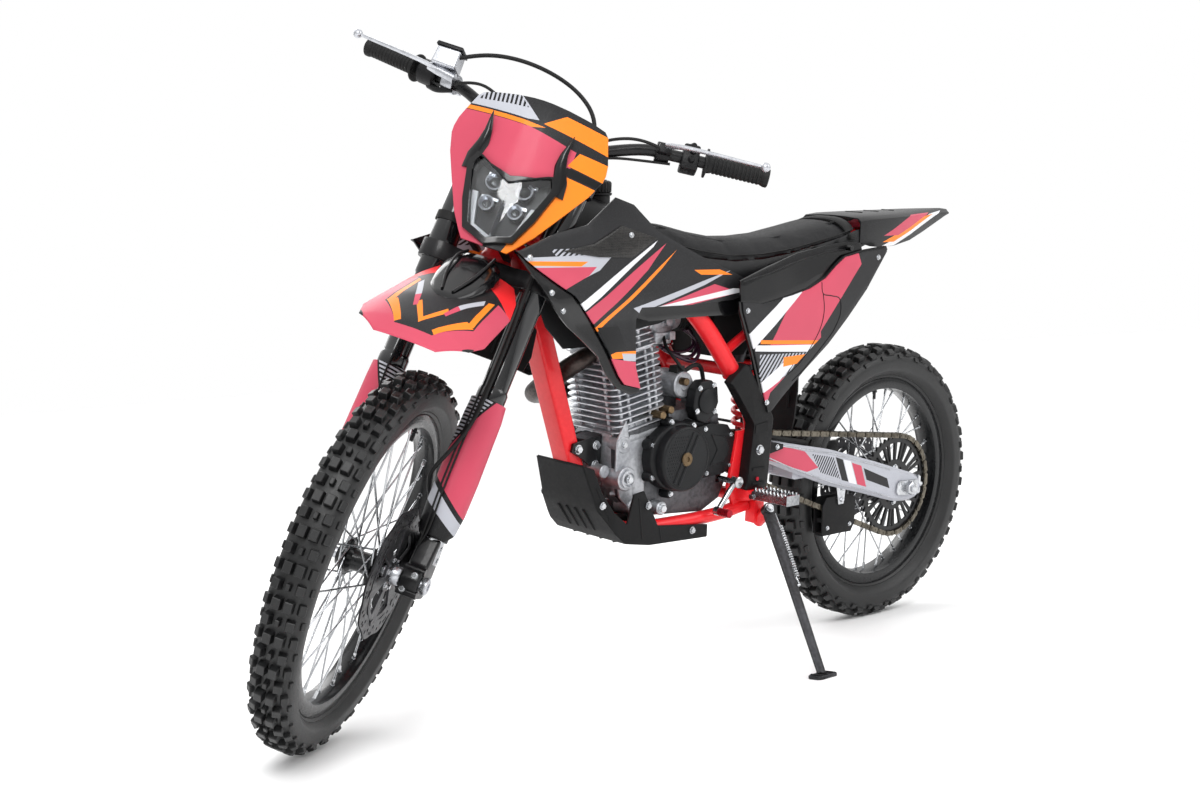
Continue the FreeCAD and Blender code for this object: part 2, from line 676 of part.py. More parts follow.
def bent_rod(points, radius, bend, sides):
    """A many-sided bar along a path with rounded corners, mitred where its runs meet."""
    path = rounded(points, bend)
    ways = [(after - before).normalize() for before, after in zip(path, path[1:])]
    guide = UP if abs(ways[0].z) < UPRIGHT_SHARE else LEFT
    across_way = ways[0].cross(guide).normalize()
    section = []
    for side in range(sides):
        turn = Rotation(ways[0], 360.0 * (side + 0.5) / sides)
        section.append(path[0] + turn.multVec(across_way) * radius)
    rows = [section]
    for number, way in enumerate(ways):
        spot = path[number + 1]
        normal = way if number == len(ways) - 1 else (way + ways[number + 1]).normalize()
        moved = [corner + way * (normal.dot(spot - corner) / normal.dot(way)) for corner in rows[-1]]
        rows.append(moved)
    return skin(rows)


def bar(start, end, radius, sides=None):
    """A straight many-sided bar between two points."""
    return bent_rod([start, end], radius, radius, sides or ROUND_SIDES)


def barrel(stations, sides):
    """A many-sided piece through (point, radius) stations in a straight line."""
    way = (stations[-1][0] - stations[0][0]).normalize()
    guide = UP if abs(way.z) < UPRIGHT_SHARE else LEFT
    across_way = way.cross(guide).normalize()
    rows = []
    for spot, radius in stations:
        turns = [Rotation(way, 360.0 * (side + 0.5) / sides) for side in range(sides)]
        rows.append([spot + turn.multVec(across_way) * radius for turn in turns])
    return skin(rows)


def bar_across(centre, inner, outer, radius, sides=None):
    """A many-sided bar along Y through a centre, from one Y to another."""
    return bar(Vector(centre.x, inner, centre.z), Vector(centre.x, outer, centre.z), radius, sides)


def ring(profile, centre):
    """A turned piece about an axle line through a centre, from (radius, offset) pairs."""
    face = polygon([Vector(centre.x + radius, centre.y + side, centre.z) for radius, side in profile])
    solid = face.revolve(centre, LEFT, 360)
    if solid.Volume > 0:
        return solid
    return face.revolve(centre, LEFT * -1, 360)


def faceted_ring(profile, centre, sides):
    """A turned piece with flat sides, for a band that its tread blocks cover."""
    rings = []
    for step in range(sides):
        angle = 2 * math.pi * (step + 0.5) / sides
        turn = Vector(math.cos(angle), 0, math.sin(angle))
        rings.append([centre + turn * radius + LEFT * side for radius, side in profile])
    faces = []
    count = len(profile)
    for step in range(sides):
        here, there = rings[step], rings[(step + 1) % sides]
        for corner in range(count):
            beside = (corner + 1) % count
            faces.append(polygon([here[corner], there[corner], there[beside], here[beside]]))
    return closed_solid(faces)


def body_section(row, shoulder):
    """One cross section of the tank or seat: a flat top, shoulders and sides that spread downwards."""
    ahead, top, bottom, top_half, bottom_half = [share * WHEELBASE for share in row]
    middle = bottom + (top - bottom) * shoulder
    upper = top_half + (bottom_half - top_half) * shoulder
    right = [(bottom_half, bottom), (upper, middle), (top_half, top)]
    points = [Vector(ahead, -side, up) for side, up in right]
    return points + [Vector(ahead, side, up) for side, up in reversed(right)]


def body_half(row, shoulder, height):
    """The half width of a tank or seat section at a height below its shoulder."""
    _, top, bottom, top_half, bottom_half = [share * WHEELBASE for share in row]
    upper = top_half + (bottom_half - top_half) * shoulder
    return bottom_half + (upper - bottom_half) * (height - bottom) / ((top - bottom) * shoulder)


def plan_band(shares, thickness, low, high):
    """An upright curved wall on the left side, from (forward, left) shares, of one thickness."""
    inner = [Vector(ahead * WHEELBASE, side * WHEELBASE, low) for ahead, side in shares]
    outer = [point + LEFT * thickness for point in inner]
    return polygon(inner + outer[::-1]).extrude(UP * (high - low))


def lug(radius, side, tilt, angle, length, width, centre):
    """One tread block, tilted outwards about the tread and turned to its place round the tyre."""
    height = LUG_HEIGHT + LUG_ROOT
    piece = block(Vector(0, 0, -height / 2), length, width, height)
    piece.rotate(Vector(), Vector(1, 0, 0), -tilt)
    piece.translate(Vector(0, side, radius))
    piece.rotate(Vector(), LEFT, angle)
    piece.translate(centre)
    return piece


def tyre(radius, width, flange, rim_width, length, lug_width, centre):
    """A knobbly tyre: a faceted carcass with alternate rows of tread blocks."""
    crown = radius - LUG_HEIGHT
    bead = flange - RIM_FLANGE_HEIGHT + SEAT_GAP
    bead_half = rim_width / 2 - RIM_FLANGE_THICKNESS - SEAT_GAP
    wide = width / 2 - LUG_HEIGHT / 2
    low, high = TYRE_WAIST_SHARES
    depth = crown - flange
    half = [
        (bead, bead_half),
        (flange + SEAT_GAP, bead_half),
        (flange + depth * low, wide),
        (flange + depth * high, lug_width),
    ]
    profile = half + [(rho, -side) for rho, side in reversed(half)]
    carcass = faceted_ring(profile, centre, TREAD_ROWS)
    shoulder = wide - lug_width * SHOULDER_SHARE
    blocks = []
    for row in range(TREAD_ROWS):
        angle = 360.0 * row / TREAD_ROWS
        if row % 2:
            places = [(lug_width * ROW_PAIR_SHARE, 0.0, radius - ROW_PAIR_DROP)]
        else:
            places = [(shoulder, SHOULDER_TILT, radius - SHOULDER_DROP)]
            blocks.append(lug(radius, 0, 0, angle, length, lug_width, centre))
        for side, tilt, top in places:
            blocks.append(lug(top, side, tilt, angle, length, lug_width, centre))
            blocks.append(lug(top, -side, -tilt, angle, length, lug_width, centre))
    return carcass.multiFuse(blocks)


def rim(flange, width, centre):
    """A wheel rim with a flange at each side and a narrower spoke bed."""
    half = width / 2
    inside = half - RIM_FLANGE_THICKNESS
    seat = flange - RIM_FLANGE_HEIGHT
    bed = flange - RIM_DEPTH
    right = [(bed, half * RIM_BED_SHARE), (seat - RIM_FLANGE_THICKNESS, half), (flange, half)]
    right += [(flange, inside), (seat, inside)]
    profile = right + [(rho, -side) for rho, side in reversed(right)]
    return faceted_ring(profile, centre, RIM_SIDES)


def spoked_hub(radius, flange_radius, width, span, bore, bed, centre):
    """A hub barrel with two spoke flanges and crossed spokes that reach the rim's bed."""
    half, seat, edge = width / 2, span / 2 - HUB_FLANGE_THICKNESS, span / 2
    right = [(bore + HUB_WALL, half), (radius, half), (radius, edge), (flange_radius, edge)]
    right += [(flange_radius, seat), (radius, seat)]
    hub = faceted_ring(right + [(rho, -side) for rho, side in reversed(right)], centre, SPOKE_COUNT // 2)
    sleeve = across(centre, -half, half, radius - HUB_WALL).cut(across(centre, -width, width, bore))
    hole = flange_radius - HUB_FLANGE_THICKNESS / 2
    sunk = SPOKE_THICKNESS / 2 - SEAT_GAP
    spokes = []
    for number in range(SPOKE_COUNT):
        side = 1 if number % 2 else -1
        lean = 1 if (number // 2) % 2 else -1
        outer = 2 * math.pi * number / SPOKE_COUNT
        inner = outer + lean * math.radians(SPOKE_CROSS_ANGLE)
        beside = side * (edge + sunk if lean > 0 else seat - sunk)
        start = Vector(hole * math.cos(inner), beside, hole * math.sin(inner))
        reach = bed * math.cos(math.pi / RIM_SIDES) - SPOKE_THICKNESS / 4 - SEAT_GAP
        end = Vector(reach * math.cos(outer), side * SPOKE_THICKNESS, reach * math.sin(outer))
        along = end - start
        spoke = Part.makeBox(SPOKE_THICKNESS, SPOKE_THICKNESS, along.Length)
        spoke.translate(Vector(-SPOKE_THICKNESS / 2, -SPOKE_THICKNESS / 2, 0))
        spoke.Placement = Placement(centre + start, Rotation(UP, along)).multiply(spoke.Placement)
        spokes.append(spoke)
    return hub.multiFuse(spokes + [sleeve])


def disc(radius, offset, boss_radius, boss_start, bore, centre):
    """A wavy brake disc on arms, with the carrier boss that seats it on the hub."""
    half = DISC_THICKNESS / 2
    steps = DISC_WAVES * 4
    edge = []
    for step in range(steps):
        angle = 2 * math.pi * step / steps
        wave = radius - (DISC_WAVE if step % 4 == 0 else 0)
        edge.append((centre.x + wave * math.cos(angle), centre.z + wave * math.sin(angle)))
    plate = slab(edge, offset - half, offset + half)
    inner = radius - DISC_BAND
    plate = plate.cut(bar_across(centre, offset - OVERRUN, offset + OVERRUN, inner, COVER_SIDES))
    arms = []
    for number in range(DISC_ARMS):
        arm = Part.makeBox(inner + DISC_WAVE, DISC_ARM_WIDTH, DISC_THICKNESS)
        arm.translate(Vector(0, -DISC_ARM_WIDTH / 2, -half))
        arm.rotate(Vector(), Vector(1, 0, 0), 90)
        arm.rotate(Vector(), LEFT, 360.0 * number / DISC_ARMS)
        arm.translate(Vector(centre.x, offset, centre.z))
        arms.append(arm)
    carrier = bar_across(centre, boss_start, offset + (half if offset > 0 else -half), boss_radius)
    body = carrier.multiFuse([plate] + arms)
    return body.cut(bar_across(centre, offset - OVERRUN * 2, offset + OVERRUN * 2, bore + SEAT_GAP, FORK_SIDES))


def sprocket(teeth, tip, root, band, arms, centre):
    """A toothed wheel of plain triangular teeth, cut out between its arms when it has any."""
    half = SPROCKET_THICKNESS / 2
    edge = []
    for step in range(teeth * 2):
        angle = math.pi * step / teeth
        reach = tip if step % 2 else root
        edge.append((centre.x + reach * math.cos(angle), centre.z + reach * math.sin(angle)))
    plate = slab(edge, CHAIN_OFFSET - half, CHAIN_OFFSET + half)
    if not arms:
        return plate
    plate = plate.cut(bar_across(centre, CHAIN_OFFSET - OVERRUN, CHAIN_OFFSET + OVERRUN, root - band, COVER_SIDES))
    spokes = []
    for number in range(arms):
        arm = Part.makeBox(root - band / 2, SPROCKET_ARM_WIDTH, SPROCKET_THICKNESS)
        arm.translate(Vector(0, -SPROCKET_ARM_WIDTH / 2, -half))
        arm.rotate(Vector(), Vector(1, 0, 0), 90)
        arm.rotate(Vector(), LEFT, 360.0 * number / arms)
        arm.translate(Vector(centre.x, CHAIN_OFFSET, centre.z))
        spokes.append(arm)
    return plate.multiFuse(spokes)


def pitch_radius(teeth):
    """The radius of the chain's pins round a sprocket."""
    return CHAIN_PITCH / (2 * math.sin(math.pi / teeth))


def chain_point(travel, front, rear, front_radius, rear_radius):
    """The chain's pin line at a travel from the rear sprocket's top: its place and outward normal."""
    span = (front - rear).Length
    slope = math.asin((rear_radius - front_radius) / span)
    line = math.atan2(front.z - rear.z, front.x - rear.x)
    run = math.sqrt(span ** 2 - (rear_radius - front_radius) ** 2)
    top = line + math.pi / 2 - slope
    bottom = line - math.pi / 2 + slope
    front_arc = front_radius * (top - bottom)
    rear_arc = rear_radius * (2 * math.pi - (top - bottom))
    travel %= 2 * run + front_arc + rear_arc
    if travel < run:
        angle, centre, radius = top, rear, rear_radius
        shift = travel
    elif travel < run + front_arc:
        angle, centre, radius = top - (travel - run) / front_radius, front, front_radius
        shift = 0
    elif travel < 2 * run + front_arc:
        angle, centre, radius = bottom, front, front_radius
        shift = travel - run - front_arc
    else:
        angle = bottom - (travel - 2 * run - front_arc) / rear_radius
        centre, radius, shift = rear, rear_radius, 0
    normal = Vector(math.cos(angle), 0, math.sin(angle))
    ahead = Vector(math.sin(angle), 0, -math.cos(angle))
    return centre + normal * radius + ahead * shift, normal


def chain_length(front, rear, front_radius, rear_radius):
    """The length of the chain's pin line."""
    span = (front - rear).Length
    slope = math.asin((rear_radius - front_radius) / span)
    run = math.sqrt(span ** 2 - (rear_radius - front_radius) ** 2)
    return 2 * run + front_radius * (math.pi - 2 * slope) + rear_radius * (math.pi + 2 * slope)


def drive_chain():
    """The chain as one loop, wide at its pins and waisted between them."""
    front = engine_place(COUNTERSHAFT_SHARES)
    sizes = (front, REAR_AXLE, pitch_radius(PINION_TEETH), pitch_radius(SPROCKET_TEETH))
    length = chain_length(*sizes)
    steps = 2 * round(length / CHAIN_PITCH)
    outer, inner = [], []
    for step in range(steps):
        point, normal = chain_point(length * step / steps, *sizes)
        half = (CHAIN_WAIST if step % 2 else CHAIN_HEIGHT) / 2
        outer.append(point + normal * half)
        if step % 2 == 0:
            inner.append(point - normal * half)
    low = Vector(0, CHAIN_OFFSET - CHAIN_WIDTH / 2, 0)
    rims = [Part.makePolygon(row + [row[0]]) for row in (outer, inner)]
    loop = Part.Face(rims[0]).cut(Part.Face(rims[1]))
    loop.translate(low)
    return loop.Faces[0].extrude(LEFT * CHAIN_WIDTH)


def fork_bar(side, start, end, radius):
    """One many-sided length about a fork leg, from one height to another."""
    return bar(Vector(LEG_FORWARD, side, start), Vector(LEG_FORWARD, side, end), radius, FORK_SIDES)


def clamp(height, thickness):
    """A fork clamp: a bridge between two ears, bored for the legs."""
    ahead, back, wide = CLAMP_FRONT, -CLAMP_BACK, CLAMP_MID_HALF_WIDTH
    lead, rear = LEG_FORWARD + CLAMP_EAR_RADIUS / 2, LEG_FORWARD - CLAMP_EAR_RADIUS / 2
    right = [(ahead, -wide), (lead, -LEG_SPREAD), (rear, -LEG_SPREAD), (back, -wide)]
    outline = right + [(x, -y) for x, y in reversed(right)]
    bridge = polygon([Vector(x, y, height) for x, y in outline]).extrude(UP * thickness)
    sides = (LEG_SPREAD, -LEG_SPREAD)
    ears = [fork_bar(side, height, height + thickness, CLAMP_EAR_RADIUS) for side in sides]
    body = bridge.multiFuse(ears)
    for side in sides:
        bore = fork_bar(side, height - OVERRUN, height + thickness + OVERRUN, UPPER_TUBE_RADIUS + PIN_GAP)
        body = body.cut(bore)
    return body


def fork_clamps():
    """Both clamps, the steering stem that joins them and the handlebar's clamps on top."""
    top = UPPER_CLAMP_HEIGHT + UPPER_CLAMP_THICKNESS
    stem = rod(Vector(0, 0, LOWER_CLAMP_HEIGHT), Vector(0, 0, top), STEM_RADIUS)
    lower = clamp(LOWER_CLAMP_HEIGHT, LOWER_CLAMP_THICKNESS)
    upper = clamp(UPPER_CLAMP_HEIGHT, UPPER_CLAMP_THICKNESS)
    bar = fork_place(BAR_ROUTE_SHARES[0])
    crown = bar.z + BAR_MIDDLE_RADIUS + BAR_CLAMP_WALL
    towers = []
    for side in (BAR_CLAMP_SPREAD, -BAR_CLAMP_SPREAD):
        middle = Vector(bar.x, side, (top + crown) / 2)
        towers.append(block(middle, BAR_CLAMP_LENGTH, BAR_CLAMP_WIDTH, crown - top))
    body = stem.multiFuse([lower, upper] + towers)
    hole = across(bar, -LEG_SPREAD, LEG_SPREAD, BAR_MIDDLE_RADIUS + PIN_GAP)
    return body.cut(hole)


def fork_tubes():
    """The two upper tubes, stepped and with a collar below the lower clamp."""
    collar_top = LOWER_CLAMP_HEIGHT - SEAT_GAP
    collar_bottom = collar_top - COLLAR_LENGTH
    pieces = [
        fork_bar(LEG_SPREAD, collar_bottom, FORK_TOP, UPPER_TUBE_RADIUS),
        fork_bar(LEG_SPREAD, collar_bottom, collar_top, COLLAR_RADIUS),
        fork_bar(LEG_SPREAD, OUTER_TUBE_START, collar_bottom + OVERRUN, OUTER_TUBE_RADIUS),
    ]
    return both(pieces[0].multiFuse(pieces[1:]))


def fork_stanchions():
    """The two sliding tubes with their axle feet, which reach forward to the axle."""
    leg = fork_bar(LEG_SPREAD, FOOT_BOTTOM + OVERRUN, OUTER_TUBE_START - SEAT_GAP, STANCHION_RADIUS)
    front = AXLE_OFFSET + FOOT_FRONT
    back = LEG_FORWARD - FOOT_BACK
    outline = [(back, 0), (AXLE_OFFSET, FOOT_BOTTOM), (front, FOOT_BOTTOM / 2), (front, -FOOT_BOTTOM / 2)]
    outline += [(LEG_FORWARD + FOOT_BACK, FOOT_TOP), (back, FOOT_TOP)]
    foot = slab(outline, LEG_SPREAD - FOOT_HALF_WIDTH, LEG_SPREAD + FOOT_HALF_WIDTH)
    hole = bar_across(FRONT_AXLE, 0, HANDLEBAR_WIDTH, FRONT_AXLE_RADIUS + SEAT_GAP, FORK_SIDES)
    return both(leg.fuse(foot).cut(hole))


def fork_guards():
    """The curved guards in front of and outside the sliding tubes."""
    outer = fork_bar(LEG_SPREAD, GUARD_BOTTOM, GUARD_TOP, GUARD_RADIUS)
    inner = fork_bar(LEG_SPREAD, GUARD_BOTTOM - OVERRUN, GUARD_TOP + OVERRUN, GUARD_RADIUS - GUARD_THICKNESS)
    shell = outer.cut(inner)
    depth = 2 * GUARD_RADIUS
    height = GUARD_TOP - GUARD_BOTTOM + 2 * OVERRUN
    middle = (GUARD_TOP + GUARD_BOTTOM) / 2
    behind = block(Vector(LEG_FORWARD - GUARD_RADIUS, LEG_SPREAD, middle), depth, depth * 2, height)
    kept = shell.cut(behind)
    reach = GUARD_RADIUS - GUARD_THICKNESS / 2
    tie = bar(
        Vector(LEG_FORWARD + STANCHION_RADIUS + SEAT_GAP, LEG_SPREAD, GUARD_BOTTOM + OVERRUN),
        Vector(LEG_FORWARD + reach, LEG_SPREAD, GUARD_BOTTOM + OVERRUN),
        GUARD_INNER_HALF_WIDTH,
        NUT_SIDES,
    )
    return both(kept.fuse(tie))


def front_axle():
    """The hollow front spindle with its nuts and the spacers beside the hub."""
    end = LEG_SPREAD + FOOT_HALF_WIDTH + AXLE_NUT_LENGTH
    nut_start = LEG_SPREAD + FOOT_HALF_WIDTH + SEAT_GAP
    foot = LEG_SPREAD - FOOT_HALF_WIDTH - SEAT_GAP
    left = FRONT_DISC_OFFSET + DISC_THICKNESS / 2 + SEAT_GAP
    right = FRONT_HUB_WIDTH / 2 + SEAT_GAP
    parts = [
        bar_across(FRONT_AXLE, nut_start, end, AXLE_NUT_RADIUS, NUT_SIDES),
        bar_across(FRONT_AXLE, -nut_start, -end, AXLE_NUT_RADIUS, NUT_SIDES),
        bar_across(FRONT_AXLE, left, foot, AXLE_NUT_RADIUS, NUT_SIDES * 2),
        bar_across(FRONT_AXLE, -right, -foot, AXLE_NUT_RADIUS, NUT_SIDES * 2),
    ]
    body = bar_across(FRONT_AXLE, -end, end, FRONT_AXLE_RADIUS, FORK_SIDES).multiFuse(parts)
    return body.cut(across(FRONT_AXLE, -end - OVERRUN, end + OVERRUN, FRONT_AXLE_BORE))


def handlebar():
    """The bar: a thick middle that steps down to thinner ends, bored at both ends."""
    half = [fork_place(row) for row in BAR_ROUTE_SHARES]
    points = [Vector(p.x, -p.y, p.z) for p in reversed(half[1:])] + half[1:]
    thin = bent_rod(points, BAR_RADIUS, BAR_BEND, ROUND_SIDES)
    inner = [half[2] + (half[3] - half[2]) * BAR_STEP_SHARE, half[2], half[1]]
    thick = bent_rod([Vector(p.x, -p.y, p.z) for p in inner] + inner[::-1], BAR_MIDDLE_RADIUS, BAR_BEND, ROUND_SIDES)
    body = thin.fuse(thick)
    for end in (points[0], points[-1]):
        side = 1 if end.y > 0 else -1
        along = Vector(half[3].x - half[2].x, side * (half[3].y - half[2].y), half[3].z - half[2].z)
        inward = along.normalize() * -1
        body = body.cut(rod(end - inward * OVERRUN, end + inward * BAR_BORE_DEPTH, BAR_BORE_RADIUS))
    return body


def bar_line():
    """The end of the left handlebar and the direction that points outwards along its grip."""
    bend, end = fork_place(BAR_ROUTE_SHARES[2]), fork_place(BAR_ROUTE_SHARES[3])
    return end, (end - bend).normalize()


def grips():
    """The two grips with their inner flanges."""
    end, out = bar_line()
    start = end - out * GRIP_LENGTH
    sleeve = bar(start, end - out * SEAT_GAP, GRIP_RADIUS)
    flange = bar(start, start + out * GRIP_FLANGE_LENGTH, GRIP_FLANGE_RADIUS)
    hole = bar(start - out * OVERRUN, end + out * OVERRUN, BAR_RADIUS + BAR_ROOM)
    return both(sleeve.fuse(flange).cut(hole))


def hand_levers():
    """The brake and clutch levers, each with the ball at its tip."""
    points = [fork_place(row) for row in LEVER_ROUTE_SHARES]
    lever = bent_rod(points, LEVER_THICKNESS / 2, BAR_BEND, NUT_SIDES)
    way = (points[-1] - points[-2]).normalize() * LEVER_BALL_RADIUS
    ends = LEVER_BALL_RADIUS / 2
    ball = barrel([(points[-1] - way, ends), (points[-1], LEVER_BALL_RADIUS), (points[-1] + way, ends)], NUT_SIDES)
    return both(lever.fuse(ball))


def bar_controls():
    """The perches with the master cylinder, throttle housing and switch block round the bar."""
    end, out = bar_line()
    hole = bar(end - out * HANDLEBAR_WIDTH / 2, end + out * OVERRUN, BAR_RADIUS + BAR_ROOM)
    start = end - out * (GRIP_LENGTH + SEAT_GAP)
    drum = bar(start - out * SWITCH_WIDTH, start, SWITCH_RADIUS)
    perch = fork_place(PERCH_SHARES)
    clutch = block(perch, PERCH_DEPTH, PERCH_WIDTH, PERCH_HEIGHT)
    lever_start = fork_place(LEVER_ROUTE_SHARES[0])
    lever_room = bar(
        lever_start - Vector(0, OVERRUN, 0), lever_start + Vector(0, OVERRUN, 0), LEVER_THICKNESS / 2 + SEAT_GAP
    )
    left = drum.fuse(clutch).cut(hole).cut(lever_room)
    beside = perch + LEFT * ((MASTER_WIDTH - PERCH_WIDTH) / 2)
    cylinder = block(beside, PERCH_DEPTH, MASTER_WIDTH, MASTER_HEIGHT)
    right = mirrored(drum.fuse(cylinder).cut(hole).cut(lever_room))
    return Part.makeCompound([left, right])


def half_outline(shares):
    """The points of a mirrored front outline, as (left, up) pairs."""
    left = [(u * MASK_HALF_WIDTH, MASK_BOTTOM + v * MASK_HEIGHT) for u, v in shares]
    right = [(-u, v) for u, v in reversed(left) if u > 0]
    return left + right


def front_prism(points, back, front):
    """A front outline, as (left, up) pairs, given depth from one forward place to another."""
    return polygon([Vector(back, y, z) for y, z in points]).extrude(Vector(front - back, 0, 0))


def grown(points, gap):
    """A front outline moved outwards by a gap."""
    face = polygon([Vector(0, y, z) for y, z in points])
    wider = face.makeOffset2D(gap, 2)
    return [(vertex.Y, vertex.Z) for vertex in wider.OuterWire.OrderedVertexes]


def lamp_mask():
    """The number plate and lamp surround: a swept shell with a window for the lamp and two horns."""
    front, side = MASK_FORWARD, MASK_FORWARD - MASK_SWEEP
    half = MASK_HALF_WIDTH
    middle = half * MASK_FLAT_SHARE
    outer = [Vector(side, half, 0), Vector(front, middle, 0), Vector(front, -middle, 0), Vector(side, -half, 0)]
    inner = [point - Vector(MASK_THICKNESS, 0, 0) for point in reversed(outer)]
    wall = polygon(outer + inner).extrude(UP * (MASK_BOTTOM + MASK_HEIGHT + OVERRUN))
    plate = wall.common(front_prism(half_outline(MASK_HALF_OUTLINE_SHARES), 0, front + OVERRUN))
    window = front_prism(grown(half_outline(LAMP_HALF_OUTLINE_SHARES), SEAT_GAP), 0, front + OVERRUN)
    plate = plate.cut(window)
    horn = [(u * half, MASK_BOTTOM + v * MASK_HEIGHT) for u, v in HORN_SHARES]
    horns = []
    for sign in (1, -1):
        points = [(sign * y, z) for y, z in horn]
        horns.append(front_prism(points, front - MASK_SWEEP / 2, front + HORN_THICKNESS).cut(window))
    strap_back = CLAMP_FRONT + SEAT_GAP
    strap_height = UPPER_CLAMP_HEIGHT + UPPER_CLAMP_THICKNESS / 2
    for sign in (1, -1):
        length = front - strap_back - MASK_THICKNESS / 2
        middle_point = Vector(strap_back + length / 2, sign * STRAP_SPREAD, strap_height)
        horns.append(block(middle_point, length, BRACKET_HALF_WIDTH, BRACKET_HEIGHT))
    return plate.multiFuse(horns)


def headlamp():
    """The lamp body and its lens, which stands a little proud of the mask."""
    outline = half_outline(LAMP_HALF_OUTLINE_SHARES)
    back = MASK_FORWARD - LAMP_DEPTH
    return front_prism(outline, back, MASK_FORWARD + LAMP_PROUD)


def swept_plate(line_shares, width_shares, drop_shares, half_width, thickness):
    """A plate that follows a line forwards, arched across, from its line, widths and edge drops."""
    rows = []
    for row, wide, drop in zip(line_shares, width_shares, drop_shares):
        middle = clamp_place(row)
        half, low = wide * half_width, drop * half_width
        top = [(-half, -low), (-half / 2, -low / 4), (half / 2, -low / 4), (half, -low)]
        over = [Vector(middle.x, y, middle.z + z) for y, z in top]
        under = [Vector(middle.x, y, middle.z + z - thickness) for y, z in reversed(top)]
        rows.append(over + under)
    return skin(rows)


def front_fender():
    """The high front mudguard, bolted under the lower clamp."""
    plate = swept_plate(
        FENDER_LINE_SHARES, FENDER_WIDTH_SHARES, FENDER_DROP_SHARES, FENDER_HALF_WIDTH, FENDER_THICKNESS
    )
    return plate


def fender_scoop():
    """The raised centre piece between the lamp and the front mudguard."""
    rows = []
    for row, wide, deep in zip(SCOOP_LINE_SHARES, SCOOP_WIDTH_SHARES, SCOOP_DEPTH_SHARES):
        middle = clamp_place(row)
        half, low = wide * SCOOP_HALF_WIDTH, deep * SCOOP_HALF_WIDTH
        ridge = half * SCOOP_RIDGE_SHARE
        points = [(-half, -low), (-half, -low / 2), (-ridge, 0), (ridge, 0), (half, -low / 2), (half, -low)]
        rows.append([Vector(middle.x, y, middle.z + z) for y, z in points])
    return skin(rows)


def brake_hose():
    """The front brake hose from the master cylinder over the mask and down the left leg."""
    points = [fork_place(row) for row in HOSE_ROUTE_SHARES]
    return bent_rod(points, HOSE_RADIUS, HANDLEBAR_WIDTH, NUT_SIDES)


def caliper(corner, side, radius_centre, disc_offset):
    """A brake caliper block with the slot that straddles its disc."""
    middle = Vector(corner.x + CALIPER_LENGTH / 2, disc_offset, corner.z + CALIPER_HEIGHT / 2)
    body = block(middle, CALIPER_LENGTH, CALIPER_WIDTH, CALIPER_HEIGHT)
    slot = bar_across(radius_centre, disc_offset - CALIPER_SLOT / 2, disc_offset + CALIPER_SLOT / 2, side, RIM_SIDES)
    return body.cut(slot)


def front_caliper():
    """The front caliper behind the left leg, with the bracket that bolts it to the foot."""
    corner = fork_place(FRONT_CALIPER_PLACE_SHARES)
    body = caliper(corner, FRONT_DISC_RADIUS + RUNNING_GAP, FRONT_AXLE, FRONT_DISC_OFFSET)
    start = corner.x + CALIPER_LENGTH - OVERRUN
    end = LEG_FORWARD - FOOT_BACK - SEAT_GAP
    inner = FRONT_DISC_OFFSET + CALIPER_WIDTH / 2 - GUARD_THICKNESS
    outer = LEG_SPREAD
    length = end - start
    middle = Vector(start + length / 2, (inner + outer) / 2, corner.z + CALIPER_HEIGHT / 2)
    return body.fuse(block(middle, length, outer - inner, CALIPER_HEIGHT / 2))


def rear_caliper():
    """The rear caliper inside the swingarm's right arm."""
    corner = place(REAR_CALIPER_PLACE_SHARES)
    body = caliper(corner, REAR_DISC_RADIUS + RUNNING_GAP, REAR_AXLE, -REAR_DISC_OFFSET)
    return body


